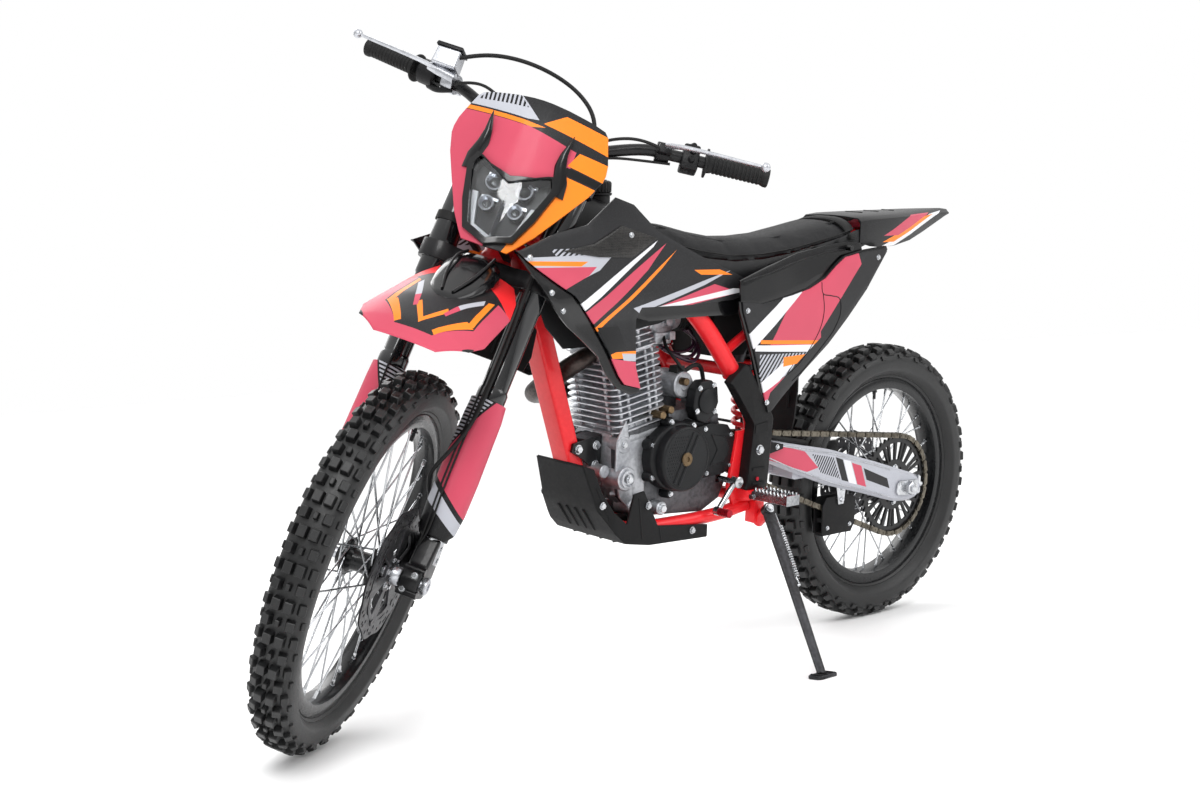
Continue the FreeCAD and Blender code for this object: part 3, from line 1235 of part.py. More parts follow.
def main_frame():
    """The frame: head tube, box downtube, twin main tubes, cradle and pivot plates."""
    head_low = LOWER_CLAMP_HEIGHT + LOWER_CLAMP_THICKNESS + HEAD_TUBE_PLAY
    head_high = UPPER_CLAMP_HEIGHT - HEAD_TUBE_PLAY
    head = bar(Vector(0, 0, head_low), Vector(0, 0, head_high), HEAD_TUBE_RADIUS)
    head.Placement = FORK_FRAME.multiply(head.Placement)
    top, bottom = head_place(DOWNTUBE_HEAD_SHARES), place(DOWNTUBE_FOOT_SHARES)
    depth = DOWNTUBE_DEPTH
    outline = [(top.x, top.z), (bottom.x, bottom.z), (bottom.x - depth, bottom.z), (top.x - depth, top.z)]
    box = slab(outline, -DOWNTUBE_WIDTH / 2, DOWNTUBE_WIDTH / 2)
    pieces = [box]
    main = [head_place(MAIN_TUBE_HEAD_SHARES)] + [place(row) for row in MAIN_TUBE_SHARES]
    cradle = [place(row) for row in CRADLE_SHARES]
    for half in (main, cradle):
        radius = MAIN_TUBE_RADIUS if half is main else CRADLE_RADIUS
        left = bent_rod(half, radius, MAIN_TUBE_BEND, ROUND_SIDES)
        pieces += [left, mirrored(left)]
    for row in FRAME_CROSS_SHARES:
        spot = place(row)
        pieces.append(bar_across(spot, -spot.y, spot.y, FRAME_CROSS_RADIUS))
    corner = place(PIVOT_PLATE_PLACE_SHARES)
    plate_outline = outline_of(corner, PIVOT_PLATE_LENGTH, PIVOT_PLATE_HEIGHT, PIVOT_PLATE_OUTLINE_SHARES)
    plate = slab(plate_outline, corner.y, corner.y + PIVOT_PLATE_THICKNESS)
    peg = place(PEG_SHARES)
    bracket_inner = corner.y + PIVOT_PLATE_THICKNESS / 2
    middle = Vector(peg.x, (bracket_inner + peg.y) / 2, peg.z)
    bracket = block(middle, PEG_BRACKET_LENGTH, peg.y - bracket_inner, PEG_BRACKET_HEIGHT)
    pivot = place(PIVOT_SHARES)
    reach = corner.y + PIVOT_PLATE_THICKNESS
    pieces += [plate, mirrored(plate), bracket, mirrored(bracket)]
    pieces.append(bar_across(pivot, -reach, reach, PIVOT_BOLT_RADIUS))
    start, along = stand_pivot()
    lug_start = start - along * (STAND_EYE_LENGTH / 2 + SEAT_GAP)
    pieces.append(bar(lug_start - along * STAND_LUG_LENGTH, lug_start, STAND_EYE_RADIUS))
    pieces.append(
        block(place(STAND_BRACKET_SHARES), STAND_BRACKET_LENGTH, STAND_BRACKET_WIDTH, STAND_BRACKET_HEIGHT)
    )
    pieces.append(rod(lug_start, start + along * STAND_EYE_LENGTH / 2, STAND_BOLT_RADIUS))
    body = head.multiFuse(pieces)
    bore = rod(Vector(0, 0, head_low - OVERRUN), Vector(0, 0, head_high + OVERRUN), STEM_RADIUS + SEAT_GAP)
    bore.Placement = FORK_FRAME.multiply(bore.Placement)
    return body.cut(bore)


def seat_rails(radius):
    """The left seat rail and its mirror, of that radius."""
    rail = bent_rod([place(row) for row in SUBFRAME_TOP_SHARES], radius, SUBFRAME_BEND, ROUND_SIDES)
    return rail, mirrored(rail)


def rear_subframe():
    """The seat rails with their struts and cross tubes."""
    rail, other = seat_rails(SUBFRAME_RADIUS)
    low, high = [place(row) for row in SUBFRAME_STRUT_SHARES]
    strut = bar(low, high, SUBFRAME_RADIUS)
    pieces = [other, strut, mirrored(strut)]
    for row in SUBFRAME_CROSS_SHARES:
        spot = place(row)
        pieces.append(bar_across(spot, -spot.y, spot.y, SUBFRAME_RADIUS))
    eye = place(SHOCK_TOP_SHARES)
    side = low + (high - low) * ((low.x - eye.x) / (low.x - high.x))
    pieces.append(bar_across(eye, -side.y, side.y, SUBFRAME_RADIUS))
    return rail.multiFuse(pieces)


def swingarm():
    """The swingarm: two tapered arms, the pivot tube, a bridge and the shock's lugs."""
    corner = place(ARM_CORNER_SHARES)
    outline = outline_of(corner, ARM_LENGTH, ARM_HEIGHT, ARM_OUTLINE_SHARES)
    arm = slab(outline, corner.y, corner.y + ARM_THICKNESS)
    arm.rotate(Vector(corner.x, corner.y, 0), UP, -ARM_SLANT)
    pivot = place(PIVOT_SHARES)
    reach = corner.y - ARM_THICKNESS / 4
    bridge = block(place(ARM_BRIDGE_SHARES), ARM_BRIDGE_LENGTH, 2 * (corner.y - ARM_THICKNESS / 4), ARM_BRIDGE_HEIGHT)
    eye = place(SHOCK_EYE_SHARES)
    inner = SHOCK_EYE_WIDTH / 2 + SEAT_GAP
    start = place(ARM_BRIDGE_SHARES)
    lug_outline = [
        (start.x, start.z - SHOCK_LUG_HEIGHT / 2),
        (eye.x + SHOCK_EYE_RADIUS, eye.z - SHOCK_LUG_HEIGHT / 2),
        (eye.x + SHOCK_EYE_RADIUS, eye.z + SHOCK_LUG_HEIGHT / 2),
        (start.x, start.z + SHOCK_LUG_HEIGHT / 2),
    ]
    lug_plate = slab(lug_outline, inner, inner + SHOCK_LUG_THICKNESS)
    pieces = [mirrored(arm), bar_across(pivot, -reach, reach, PIVOT_RADIUS), bridge, lug_plate, mirrored(lug_plate)]
    lug_outer = inner + SHOCK_LUG_THICKNESS
    pieces.append(bar_across(eye, -lug_outer, lug_outer, SHOCK_EYE_RADIUS / 2))
    body = arm.multiFuse(pieces)
    width = 2 * WHEELBASE
    body = body.cut(bar_across(pivot, -width, width, PIVOT_BOLT_RADIUS + SEAT_GAP))
    pinch = place(MAIN_TUBE_SHARES[-1]).y - MAIN_TUBE_RADIUS - SEAT_GAP
    beside = block(
        Vector(pivot.x, pinch + ARM_THICKNESS / 2, pivot.z), 4 * PIVOT_RADIUS, ARM_THICKNESS, ARM_HEIGHT
    )
    body = body.cut(beside).cut(mirrored(beside))
    return body.cut(across(REAR_AXLE, -width, width, REAR_AXLE_RADIUS + PIN_GAP))


def rear_axle():
    """The rear spindle with its nuts and the spacers inside the arms."""
    corner = place(ARM_CORNER_SHARES)
    arm_inner = corner.y - REAR_AXLE_RADIUS * math.tan(math.radians(ARM_SLANT)) * 2
    arm_outer = corner.y + ARM_THICKNESS / math.cos(math.radians(ARM_SLANT)) + SEAT_GAP
    end = arm_outer + AXLE_NUT_LENGTH
    left = CHAIN_OFFSET + SPROCKET_THICKNESS / 2 + SEAT_GAP
    right = REAR_DISC_OFFSET + DISC_THICKNESS / 2 + SEAT_GAP
    inner = arm_inner - REAR_AXLE_RADIUS / 4
    parts = [
        bar_across(REAR_AXLE, arm_outer, end, AXLE_NUT_RADIUS, NUT_SIDES),
        bar_across(REAR_AXLE, -arm_outer, -end, AXLE_NUT_RADIUS, NUT_SIDES),
        bar_across(REAR_AXLE, left, inner, AXLE_NUT_RADIUS, NUT_SIDES * 2),
        bar_across(REAR_AXLE, -right, -inner, AXLE_NUT_RADIUS, NUT_SIDES * 2),
    ]
    return bar_across(REAR_AXLE, -end, end, REAR_AXLE_RADIUS, FORK_SIDES).multiFuse(parts)


def rear_shock():
    """The rear spring unit between the swingarm's lugs and the subframe's cross tube."""
    low, high = place(SHOCK_EYE_SHARES), place(SHOCK_TOP_SHARES)
    along = high - low
    start, end = [low + along * share for share in SHOCK_SPRING_SHARES]
    half = SHOCK_EYE_WIDTH / 2
    top = high - along.normalize() * OVERRUN
    pieces = [
        bar(start, end, SHOCK_SPRING_RADIUS),
        bar(start, top, SHOCK_BODY_RADIUS),
        bar_across(low, -half, half, SHOCK_EYE_RADIUS),
        bar_across(high, -half, half, SHOCK_EYE_RADIUS + SUBFRAME_RADIUS / 2),
    ]
    body = bar(low, high, SHOCK_BODY_RADIUS / 2).multiFuse(pieces)
    body = body.cut(bar_across(low, -WHEELBASE, WHEELBASE, SHOCK_EYE_RADIUS / 2 + SEAT_GAP))
    return body.cut(bar_across(high, -WHEELBASE, WHEELBASE, SUBFRAME_RADIUS + SEAT_GAP))


def crankcase():
    """The engine's case with its nose, clutch cover, starter and countershaft."""
    corner = place(CASE_CORNER_SHARES)
    case = slab(outline_of(corner, CASE_LENGTH, CASE_HEIGHT, CASE_OUTLINE_SHARES), -CASE_HALF_WIDTH, CASE_HALF_WIDTH)
    shaft = engine_place(COUNTERSHAFT_SHARES)
    inner = CHAIN_OFFSET - CHAIN_WIDTH / 2 - SEAT_GAP * 8
    room_radius = pitch_radius(PINION_TEETH) + CHAIN_HEIGHT
    room = bar_across(shaft, inner, WHEELBASE, room_radius)
    behind = block(
        Vector(shaft.x - room_radius * 2, inner + CASE_HALF_WIDTH, shaft.z), room_radius * 4,
        CASE_HALF_WIDTH * 2, room_radius * 3,
    )
    flange = block(
        Vector(0, 0, CYLINDER_HEIGHT / 2 - SEAT_GAP), FIN_LENGTH + RUNNING_GAP, FIN_WIDTH + RUNNING_GAP, CYLINDER_HEIGHT
    )
    case = case.cut(room.fuse(behind)).cut(on_cylinder(flange))
    half = DOWNTUBE_WIDTH / 2 - SEAT_GAP
    nose_points = [engine_place(row) for row in NOSE_SHARES]
    nose = slab([(point.x, point.z) for point in nose_points], -half, half)
    clutch_end = -CASE_HALF_WIDTH - CLUTCH_DEPTH
    clutch = bar_across(engine_place(CLUTCH_SHARES), -CASE_HALF_WIDTH + OVERRUN, clutch_end, CLUTCH_RADIUS, COVER_SIDES)
    starter = bar_across(engine_place(STARTER_SHARES), -STARTER_HALF_LENGTH / 2, STARTER_HALF_LENGTH, STARTER_RADIUS)
    stub = bar_across(shaft, inner - OVERRUN, CHAIN_OFFSET + CHAIN_WIDTH / 2, STEM_RADIUS)
    seat = engine_place(STARTER_SHARES) - UP * STARTER_RADIUS
    foot = block(seat, STARTER_RADIUS, STARTER_HALF_LENGTH, 2 * STARTER_RADIUS)
    return case.multiFuse([nose, clutch, starter, foot, stub])


def engine_covers():
    """The black left covers: the round alternator cover with its cap, the gear cover and the pinion guard."""
    centre = engine_place(COVER_SHARES)
    start = CASE_HALF_WIDTH + SEAT_GAP
    end = start + COVER_DEPTH
    edge = Vector(centre.x, end - COVER_CAP_DEPTH, centre.z)
    stations = [
        (Vector(centre.x, start, centre.z), COVER_RADIUS),
        (edge, COVER_RADIUS),
        (edge + LEFT * COVER_CAP_DEPTH, COVER_RADIUS - COVER_CAP_DEPTH),
    ]
    cover = barrel(stations, COVER_SIDES)
    cap = bar_across(centre, start, end + COVER_CAP_DEPTH, COVER_CAP_RADIUS, COVER_SIDES)
    gear = engine_place(GEAR_COVER_SHARES)
    gear_cover = bar_across(gear, start, start + GEAR_COVER_DEPTH, GEAR_COVER_RADIUS)
    guard_start = CHAIN_OFFSET + CHAIN_WIDTH / 2 + RUNNING_GAP / 2
    guard = slab(side_points(PINION_GUARD_SHARES), guard_start, guard_start + PINION_GUARD_THICKNESS)
    return cover.multiFuse([cap, gear_cover, guard])


def on_cylinder(shape):
    """A piece drawn upright on the cylinder's base, leaned forward with the engine."""
    shape.rotate(Vector(), LEFT, ENGINE_LEAN)
    shape.translate(engine_place(CYLINDER_BASE_SHARES))
    return shape


def fin(height, share, thickness):
    """One cooling fin: a plate with its corners cut, centred on the cylinder."""
    ahead, wide, corner = FIN_LENGTH * share / 2, FIN_WIDTH * share / 2, FIN_CORNER * share
    points = [(ahead, wide - corner), (ahead - corner, wide)]
    ring_points = []
    for sx, sy in ((1, 1), (-1, 1), (-1, -1), (1, -1)):
        pair = points if sx * sy > 0 else points[::-1]
        ring_points += [Vector(x * sx, y * sy, height) for x, y in pair]
    return polygon(ring_points).extrude(UP * thickness)


def cylinder():
    """The finned cylinder and head under a plain rocker cover, with its two ports."""
    core = block(Vector(0, 0, CYLINDER_HEIGHT / 2), CYLINDER_CORE, CYLINDER_CORE, CYLINDER_HEIGHT)
    pitch = CYLINDER_HEIGHT / FIN_COUNT
    pieces = [fin(pitch * number + pitch / 2, 1.0, FIN_THICKNESS) for number in range(FIN_COUNT)]
    head_core = block(
        Vector(0, 0, CYLINDER_HEIGHT + HEAD_HEIGHT / 2), CYLINDER_CORE, CYLINDER_CORE, HEAD_HEIGHT
    )
    pieces.append(head_core)
    gap = HEAD_HEIGHT / HEAD_FIN_COUNT
    for number in range(HEAD_FIN_COUNT):
        pieces.append(fin(CYLINDER_HEIGHT + gap * number + gap / 2, HEAD_SHARE, FIN_THICKNESS))
    pieces.append(fin(CYLINDER_HEIGHT + HEAD_HEIGHT, ROCKER_SHARE, ROCKER_HEIGHT))
    return on_cylinder(core.multiFuse(pieces))


def port(reach):
    """A point on the line through the head's ports, in front of or behind the cylinder."""
    point = Vector(reach, 0, CYLINDER_HEIGHT + HEAD_HEIGHT / 2)
    return Rotation(LEFT, ENGINE_LEAN).multVec(point) + engine_place(CYLINDER_BASE_SHARES)


def carburettor():
    """The carburettor with its float bowl, between the inlet stub and the air box."""
    head = -FIN_LENGTH * HEAD_SHARE / 2 - SEAT_GAP
    start, end = port(head), port(head - CARB_LENGTH * 2)
    body = bar(start, end, MANIFOLD_RADIUS)
    middle = port(head - CARB_LENGTH)
    slide = bar(middle - UP * CARB_BOWL_HEIGHT, middle + UP * CARB_TOP_HEIGHT, CARB_RADIUS)
    bowl = block(middle - Vector(0, 0, CARB_BOWL_HEIGHT), CARB_BOWL_WIDTH, CARB_BOWL_WIDTH, CARB_BOWL_HEIGHT / 2)
    return body.multiFuse([slide, bowl])


def exhaust_pipe():
    """The header pipe from the head's front port round the right side to the silencer."""
    face = FIN_LENGTH * HEAD_SHARE / 2 + SEAT_GAP
    points = [port(face), port(face + 2 * HEADER_RADIUS)] + [place(row) for row in HEADER_SHARES[1:]]
    return bent_rod(points, HEADER_RADIUS, HEADER_BEND, ROUND_SIDES)


def silencer():
    """The silencer: a tapered neck, a round can and the outlet at its end."""
    neck, front, back, end = [place(row) for row in SILENCER_SHARES]
    sizes = (SILENCER_NECK_RADIUS, SILENCER_RADIUS, SILENCER_RADIUS, SILENCER_NECK_RADIUS)
    can = barrel(list(zip((neck, front, back, end), sizes)), SILENCER_SIDES)
    tail = (end - back).normalize()
    return can.cut(bar(end + tail * OVERRUN, end - tail * SILENCER_MOUTH_DEPTH, SILENCER_MOUTH_RADIUS))


def air_box():
    """The air box between the carburettor and the rear shock."""
    corner = place(AIRBOX_CORNER_SHARES)
    outline = outline_of(corner, AIRBOX_LENGTH, AIRBOX_HEIGHT, AIRBOX_OUTLINE_SHARES)
    return slab(outline, -AIRBOX_HALF_WIDTH, AIRBOX_HALF_WIDTH)


def skid_plate():
    """The engine guard under the cradle: a bent floor between two side walls."""
    floor = slab(side_points(SKID_FLOOR_SHARES), -SKID_HALF_WIDTH, SKID_HALF_WIDTH)
    wall = slab(side_points(SKID_SIDE_SHARES), SKID_HALF_WIDTH - SKID_THICKNESS, SKID_HALF_WIDTH)
    return floor.multiFuse([wall, mirrored(wall)])


def engine_mounts():
    """The two plates that bolt the engine's nose to the sides of the downtube."""
    start = DOWNTUBE_WIDTH / 2 + SEAT_GAP
    return both(slab(side_points(MOUNT_PLATE_SHARES), start, start + MOUNT_PLATE_THICKNESS))


def frame_guards():
    """The plastic guards on the outside of the main tubes above the footpegs."""
    tube_side = place(MAIN_TUBE_SHARES[-1]).y + MAIN_TUBE_RADIUS + SEAT_GAP
    return both(slab(side_points(GUARD_PLATE_SHARES), tube_side, tube_side + GUARD_PLATE_THICKNESS))


def chain_guide():
    """The guide under the left arm that the chain's lower run passes through."""
    corner = place(GUIDE_SHARES)
    low = CHAIN_OFFSET - GUIDE_WIDTH / 2
    front = engine_place(COUNTERSHAFT_SHARES)
    sizes = (front, REAR_AXLE, pitch_radius(PINION_TEETH), pitch_radius(SPROCKET_TEETH))
    length = chain_length(*sizes)
    body = Part.makeBox(GUIDE_LENGTH, GUIDE_WIDTH, GUIDE_HEIGHT, Vector(corner.x, low, corner.z))
    arc = sizes[3] * math.pi
    spots = []
    for step in range(GUIDE_SAMPLES):
        point, normal = chain_point(length - arc * GUIDE_ARC_SHARE - step * CHAIN_PITCH, *sizes)
        spots.append((point, normal))
    first, last = spots[0][0], spots[-1][0]
    normal = spots[-1][1]
    half = CHAIN_HEIGHT / 2 + GUIDE_WALL
    along = (last - first).normalize()
    first, last = last - along * WHEELBASE / 2, last + along * WHEELBASE / 2
    points = [first + normal * half, last + normal * half, last - normal * half, first - normal * half]
    room = polygon([Vector(p.x, CHAIN_OFFSET - CHAIN_WIDTH / 2 - SEAT_GAP, p.z) for p in points])
    return body.cut(room.extrude(LEFT * (CHAIN_WIDTH + 2 * SEAT_GAP)))


def pinion():
    """The engine's small sprocket, inside the chain's front loop."""
    inner = pitch_radius(PINION_TEETH) - CHAIN_HEIGHT / 2
    radius = inner * math.cos(math.pi / PINION_TEETH) - SEAT_GAP
    centre = engine_place(COUNTERSHAFT_SHARES)
    plate = sprocket(PINION_TEETH, radius, radius - SPROCKET_TOOTH / 2, 0, 0, centre)
    return plate.cut(bar_across(centre, 0, WHEELBASE, STEM_RADIUS + SEAT_GAP))


def seat():
    """The seat: one long pad with shoulders that spread towards its lower edge."""
    pad = skin([body_section(row, SEAT_SHOULDER_SHARE) for row in SEAT_SECTION_SHARES])
    left, right = seat_rails(SUBFRAME_RADIUS + SEAT_GAP)
    return pad.cut(left).cut(right)


def fuel_tank():
    """The tank over the main tubes, with its filler neck and ribbed cap."""
    body = skin([body_section(row, TANK_SHOULDER_SHARE) for row in TANK_SECTION_SHARES])
    low, high = [place(row) for row in TUNNEL_TOP_SHARES]
    reach = OVERRUN * 2
    outline = [(low.x - reach, low.z), (high.x + reach, high.z)]
    outline += [(high.x + reach, low.z - WHEELBASE / 4), (low.x - reach, low.z - WHEELBASE / 4)]
    half = place(TUNNEL_HALF_WIDTH_SHARES).x
    body = body.cut(slab(outline, -half, half))
    neck = place(FILLER_SHARES)
    top = neck + UP * FILLER_HEIGHT
    return body.multiFuse([bar(neck, top, FILLER_RADIUS), bar(top, top + UP * CAP_HEIGHT, CAP_RADIUS, CAP_RIBS)])


def tank_shrouds():
    """The two side shrouds: curved walls cut to their outline, with posts to the tank."""
    corner = place(SHROUD_PLACE_SHARES)
    low, high = corner.z - SHROUD_HEIGHT, corner.z + 2 * SHROUD_HEIGHT
    wall = plan_band(SHROUD_PLAN_SHARES, SHROUD_THICKNESS, low, high)
    outline = outline_of(corner, SHROUD_LENGTH, SHROUD_HEIGHT, SHROUD_OUTLINE_SHARES)
    panel = wall.common(slab(outline, 0, WHEELBASE / 2))
    panel.rotate(corner, Vector(1, 0, 0), SHROUD_LEAN)
    spot = place(SHROUD_POST_SHARES)
    tank_side = body_half(TANK_SECTION_SHARES[1], TANK_SHOULDER_SHARE, spot.z - SHROUD_POST_RADIUS) + SEAT_GAP
    post = bar_across(spot, tank_side, tank_side + SHROUD_HEIGHT, SHROUD_POST_RADIUS, NUT_SIDES)
    beyond = plan_band(SHROUD_PLAN_SHARES, SHROUD_HEIGHT, low, high)
    beyond.rotate(corner, Vector(1, 0, 0), SHROUD_LEAN)
    return both(panel.fuse(post.cut(beyond)))


def side_panels():
    """The side panels below the seat; the right one stops above the silencer."""
    corner = place(PANEL_PLACE_SHARES)
    wall = plan_band(PANEL_PLAN_SHARES, PANEL_THICKNESS, corner.z - PANEL_HEIGHT, corner.z + 2 * PANEL_HEIGHT)
    outline = outline_of(corner, PANEL_LENGTH, PANEL_HEIGHT, PANEL_OUTLINE_SHARES)
    panel = wall.common(slab(outline, 0, WHEELBASE / 2))
    posts = []
    for row in PANEL_POST_SHARES:
        spot = place(row)
        tube_side = place(SUBFRAME_TOP_SHARES[1]).y
        post = bar_across(spot, tube_side, tube_side + PANEL_HEIGHT, PANEL_POST_RADIUS, NUT_SIDES)
        reach = plan_band(PANEL_PLAN_SHARES, PANEL_HEIGHT, corner.z, corner.z + 2 * PANEL_HEIGHT)
        posts.append(post.cut(reach))
    body = panel.multiFuse(posts)
    body = body.cut(seat_rails(SUBFRAME_RADIUS + SEAT_GAP)[0])
    left = max(body.Solids, key=lambda solid: solid.Volume)
    below = slab(side_points(PANEL_RIGHT_CUT_SHARES), 0, WHEELBASE)
    right = max(left.cut(below).Solids, key=lambda solid: solid.Volume)
    return Part.makeCompound([left, mirrored(right)])


def rear_fender():
    """The tail: a hollow tapered cowl open below, on posts from the seat rails."""
    corner = place(TAIL_PLACE_SHARES)
    outline = outline_of(corner, TAIL_LENGTH, TAIL_HEIGHT, TAIL_OUTLINE_SHARES)
    outer = slab(outline, -WHEELBASE / 4, WHEELBASE / 4)

    def plan(shrink):
        left = [Vector(x * WHEELBASE, y * WHEELBASE - shrink, 0) for x, y in TAIL_PLAN_SHARES]
        right = [Vector(point.x, -point.y, 0) for point in reversed(left)]
        return polygon(left + right).extrude(UP * WHEELBASE)

    cowl = outer.common(plan(0))
    inner = slab(outline, -WHEELBASE / 4, WHEELBASE / 4)
    inner.translate(UP * -TAIL_THICKNESS)
    room = inner.common(plan(TAIL_THICKNESS))
    low = room.copy()
    low.translate(UP * -TAIL_HEIGHT / 2)
    cowl = cowl.cut(room).cut(low)
    cowl = max(cowl.Solids, key=lambda solid: solid.Volume)
    foot = place(TAIL_POST_SHARES)
    top = Vector(foot.x, foot.y, corner.z + TAIL_HEIGHT * TAIL_POST_TOP_SHARE)
    post = bar(foot, top, TAIL_POST_RADIUS, NUT_SIDES)
    return cowl.multiFuse([post, mirrored(post)])


def mudflap():
    """The flap in front of the rear tyre that shields the shock."""
    return slab(side_points(FLAP_OUTLINE_SHARES), -FLAP_HALF_WIDTH, FLAP_HALF_WIDTH)


def tail_lamp():
    """The small lamp under the tail."""
    return block(place(TAIL_LAMP_SHARES), TAIL_LAMP_LENGTH, TAIL_LAMP_WIDTH, TAIL_LAMP_HEIGHT)


def footpegs():
    """The two footpegs: toothed frames outside their brackets."""
    root = place(PEG_SHARES)
    start = root.y + SEAT_GAP
    corner = Vector(root.x - PEG_WIDTH / 2, start, root.z - PEG_HEIGHT / 2)
    body = Part.makeBox(PEG_WIDTH, PEG_LENGTH, PEG_HEIGHT, corner)
    wall = PEG_TOOTH
    room = Part.makeBox(
        PEG_WIDTH - 2 * wall, PEG_LENGTH - 3 * wall, PEG_HEIGHT + 2 * OVERRUN,
        corner + Vector(wall, 2 * wall, -OVERRUN),
    )
    body = body.cut(room)
    bar = Part.makeBox(wall, PEG_LENGTH, PEG_HEIGHT, Vector(root.x - wall / 2, start, root.z - PEG_HEIGHT / 2))
    return both(body.fuse(bar))


def foot_levers():
    """The gear lever on the left and the brake pedal on the right."""
    shaft, tip = engine_place(GEAR_SHAFT_SHARES), place(GEAR_TIP_SHARES)
    start = Vector(shaft.x, GEAR_LEVER_OFFSET, shaft.z)
    lever = bar(start, Vector(tip.x, GEAR_LEVER_OFFSET, tip.z), LEVER_RADIUS)
    toe = bar_across(tip, GEAR_LEVER_OFFSET - LEVER_RADIUS, GEAR_LEVER_OFFSET + GEAR_TIP_LENGTH, GEAR_TIP_RADIUS)
    root = CHAIN_OFFSET - CHAIN_WIDTH / 2 - SEAT_GAP * 7
    stub = bar_across(shaft, root, GEAR_LEVER_OFFSET + LEVER_RADIUS, LEVER_RADIUS)
    left = lever.multiFuse([toe, stub])
    points = [place(row) for row in BRAKE_PEDAL_SHARES]
    inner = place(PIVOT_PLATE_PLACE_SHARES).y + PIVOT_PLATE_THICKNESS + SEAT_GAP
    side = -BRAKE_PEDAL_OFFSET
    arm = bent_rod([Vector(p.x, side, p.z) for p in points], LEVER_RADIUS, MAIN_TUBE_BEND, ROUND_SIDES)
    pad = bar_across(points[-1], side + LEVER_RADIUS, side - BRAKE_PEDAL_WIDTH, GEAR_TIP_RADIUS)
    pin = bar_across(points[0], -inner, side, LEVER_RADIUS)
    return Part.makeCompound([left, arm.multiFuse([pad, pin])])


def stand_pivot():
    """The side stand's pivot and fold axis, square to its leg both down and folded."""
    pivot = place(STAND_PIVOT_SHARES)
    down = stand_foot() - pivot
    axis = down.cross(Vector(*STAND_FOLDED_SHARES)).normalize()
    return pivot, axis


def stand_foot():
    """Where the stand's foot meets the ground, in the upright bike's own frame."""
    spot = place(STAND_FOOT_SHARES)
    lean = Rotation(Vector(1, 0, 0), -LEAN_ANGLE)
    return lean.inverted().multVec(spot)


def side_stand():
    """The side stand: an eye on its pivot bolt, a flat leg and a foot that lies on the ground."""
    pivot, axis = stand_pivot()
    foot = stand_foot()
    half = STAND_EYE_LENGTH / 2
    eye = rod(pivot - axis * half, pivot + axis * half, STAND_EYE_RADIUS)
    along = (foot - pivot).normalize()
    width = axis.cross(along).normalize()
    frame = FreeCAD.Matrix(
        width.x, axis.x, along.x, pivot.x, width.y, axis.y, along.y, pivot.y,
        width.z, axis.z, along.z, pivot.z, 0, 0, 0, 1,
    )
    lean = Rotation(Vector(1, 0, 0), -LEAN_ANGLE)
    length = (foot - pivot).Length - STAND_FOOT_THICKNESS
    leg = Part.makeBox(STAND_LEG_WIDTH, STAND_LEG_THICKNESS, length)
    leg.translate(Vector(-STAND_LEG_WIDTH / 2, -STAND_LEG_THICKNESS / 2, 0))
    leg.Placement = Placement(frame).multiply(leg.Placement)
    pad = Part.makeBox(STAND_FOOT_LENGTH, STAND_FOOT_WIDTH, STAND_FOOT_THICKNESS)
    pad.translate(Vector(-STAND_FOOT_LENGTH / 2, -STAND_FOOT_WIDTH / 2, 0))
    pad.Placement = Placement(foot, lean.inverted()).multiply(pad.Placement)
    bore = rod(pivot - axis * OVERRUN, pivot + axis * OVERRUN, STAND_BOLT_RADIUS + PIN_GAP)
    return eye.multiFuse([leg, pad]).cut(bore)


def stand_spring():
    """The stand's spring, beside the top of the leg."""
    pivot, axis = stand_pivot()
    along = stand_foot() - pivot
    offset = along.cross(axis).normalize() * (STAND_LEG_WIDTH / 2 + STAND_SPRING_RADIUS + SEAT_GAP)
    start, end = [pivot + along * share + offset for share in STAND_SPRING_SHARES]
    return bar(start, end, STAND_SPRING_RADIUS)


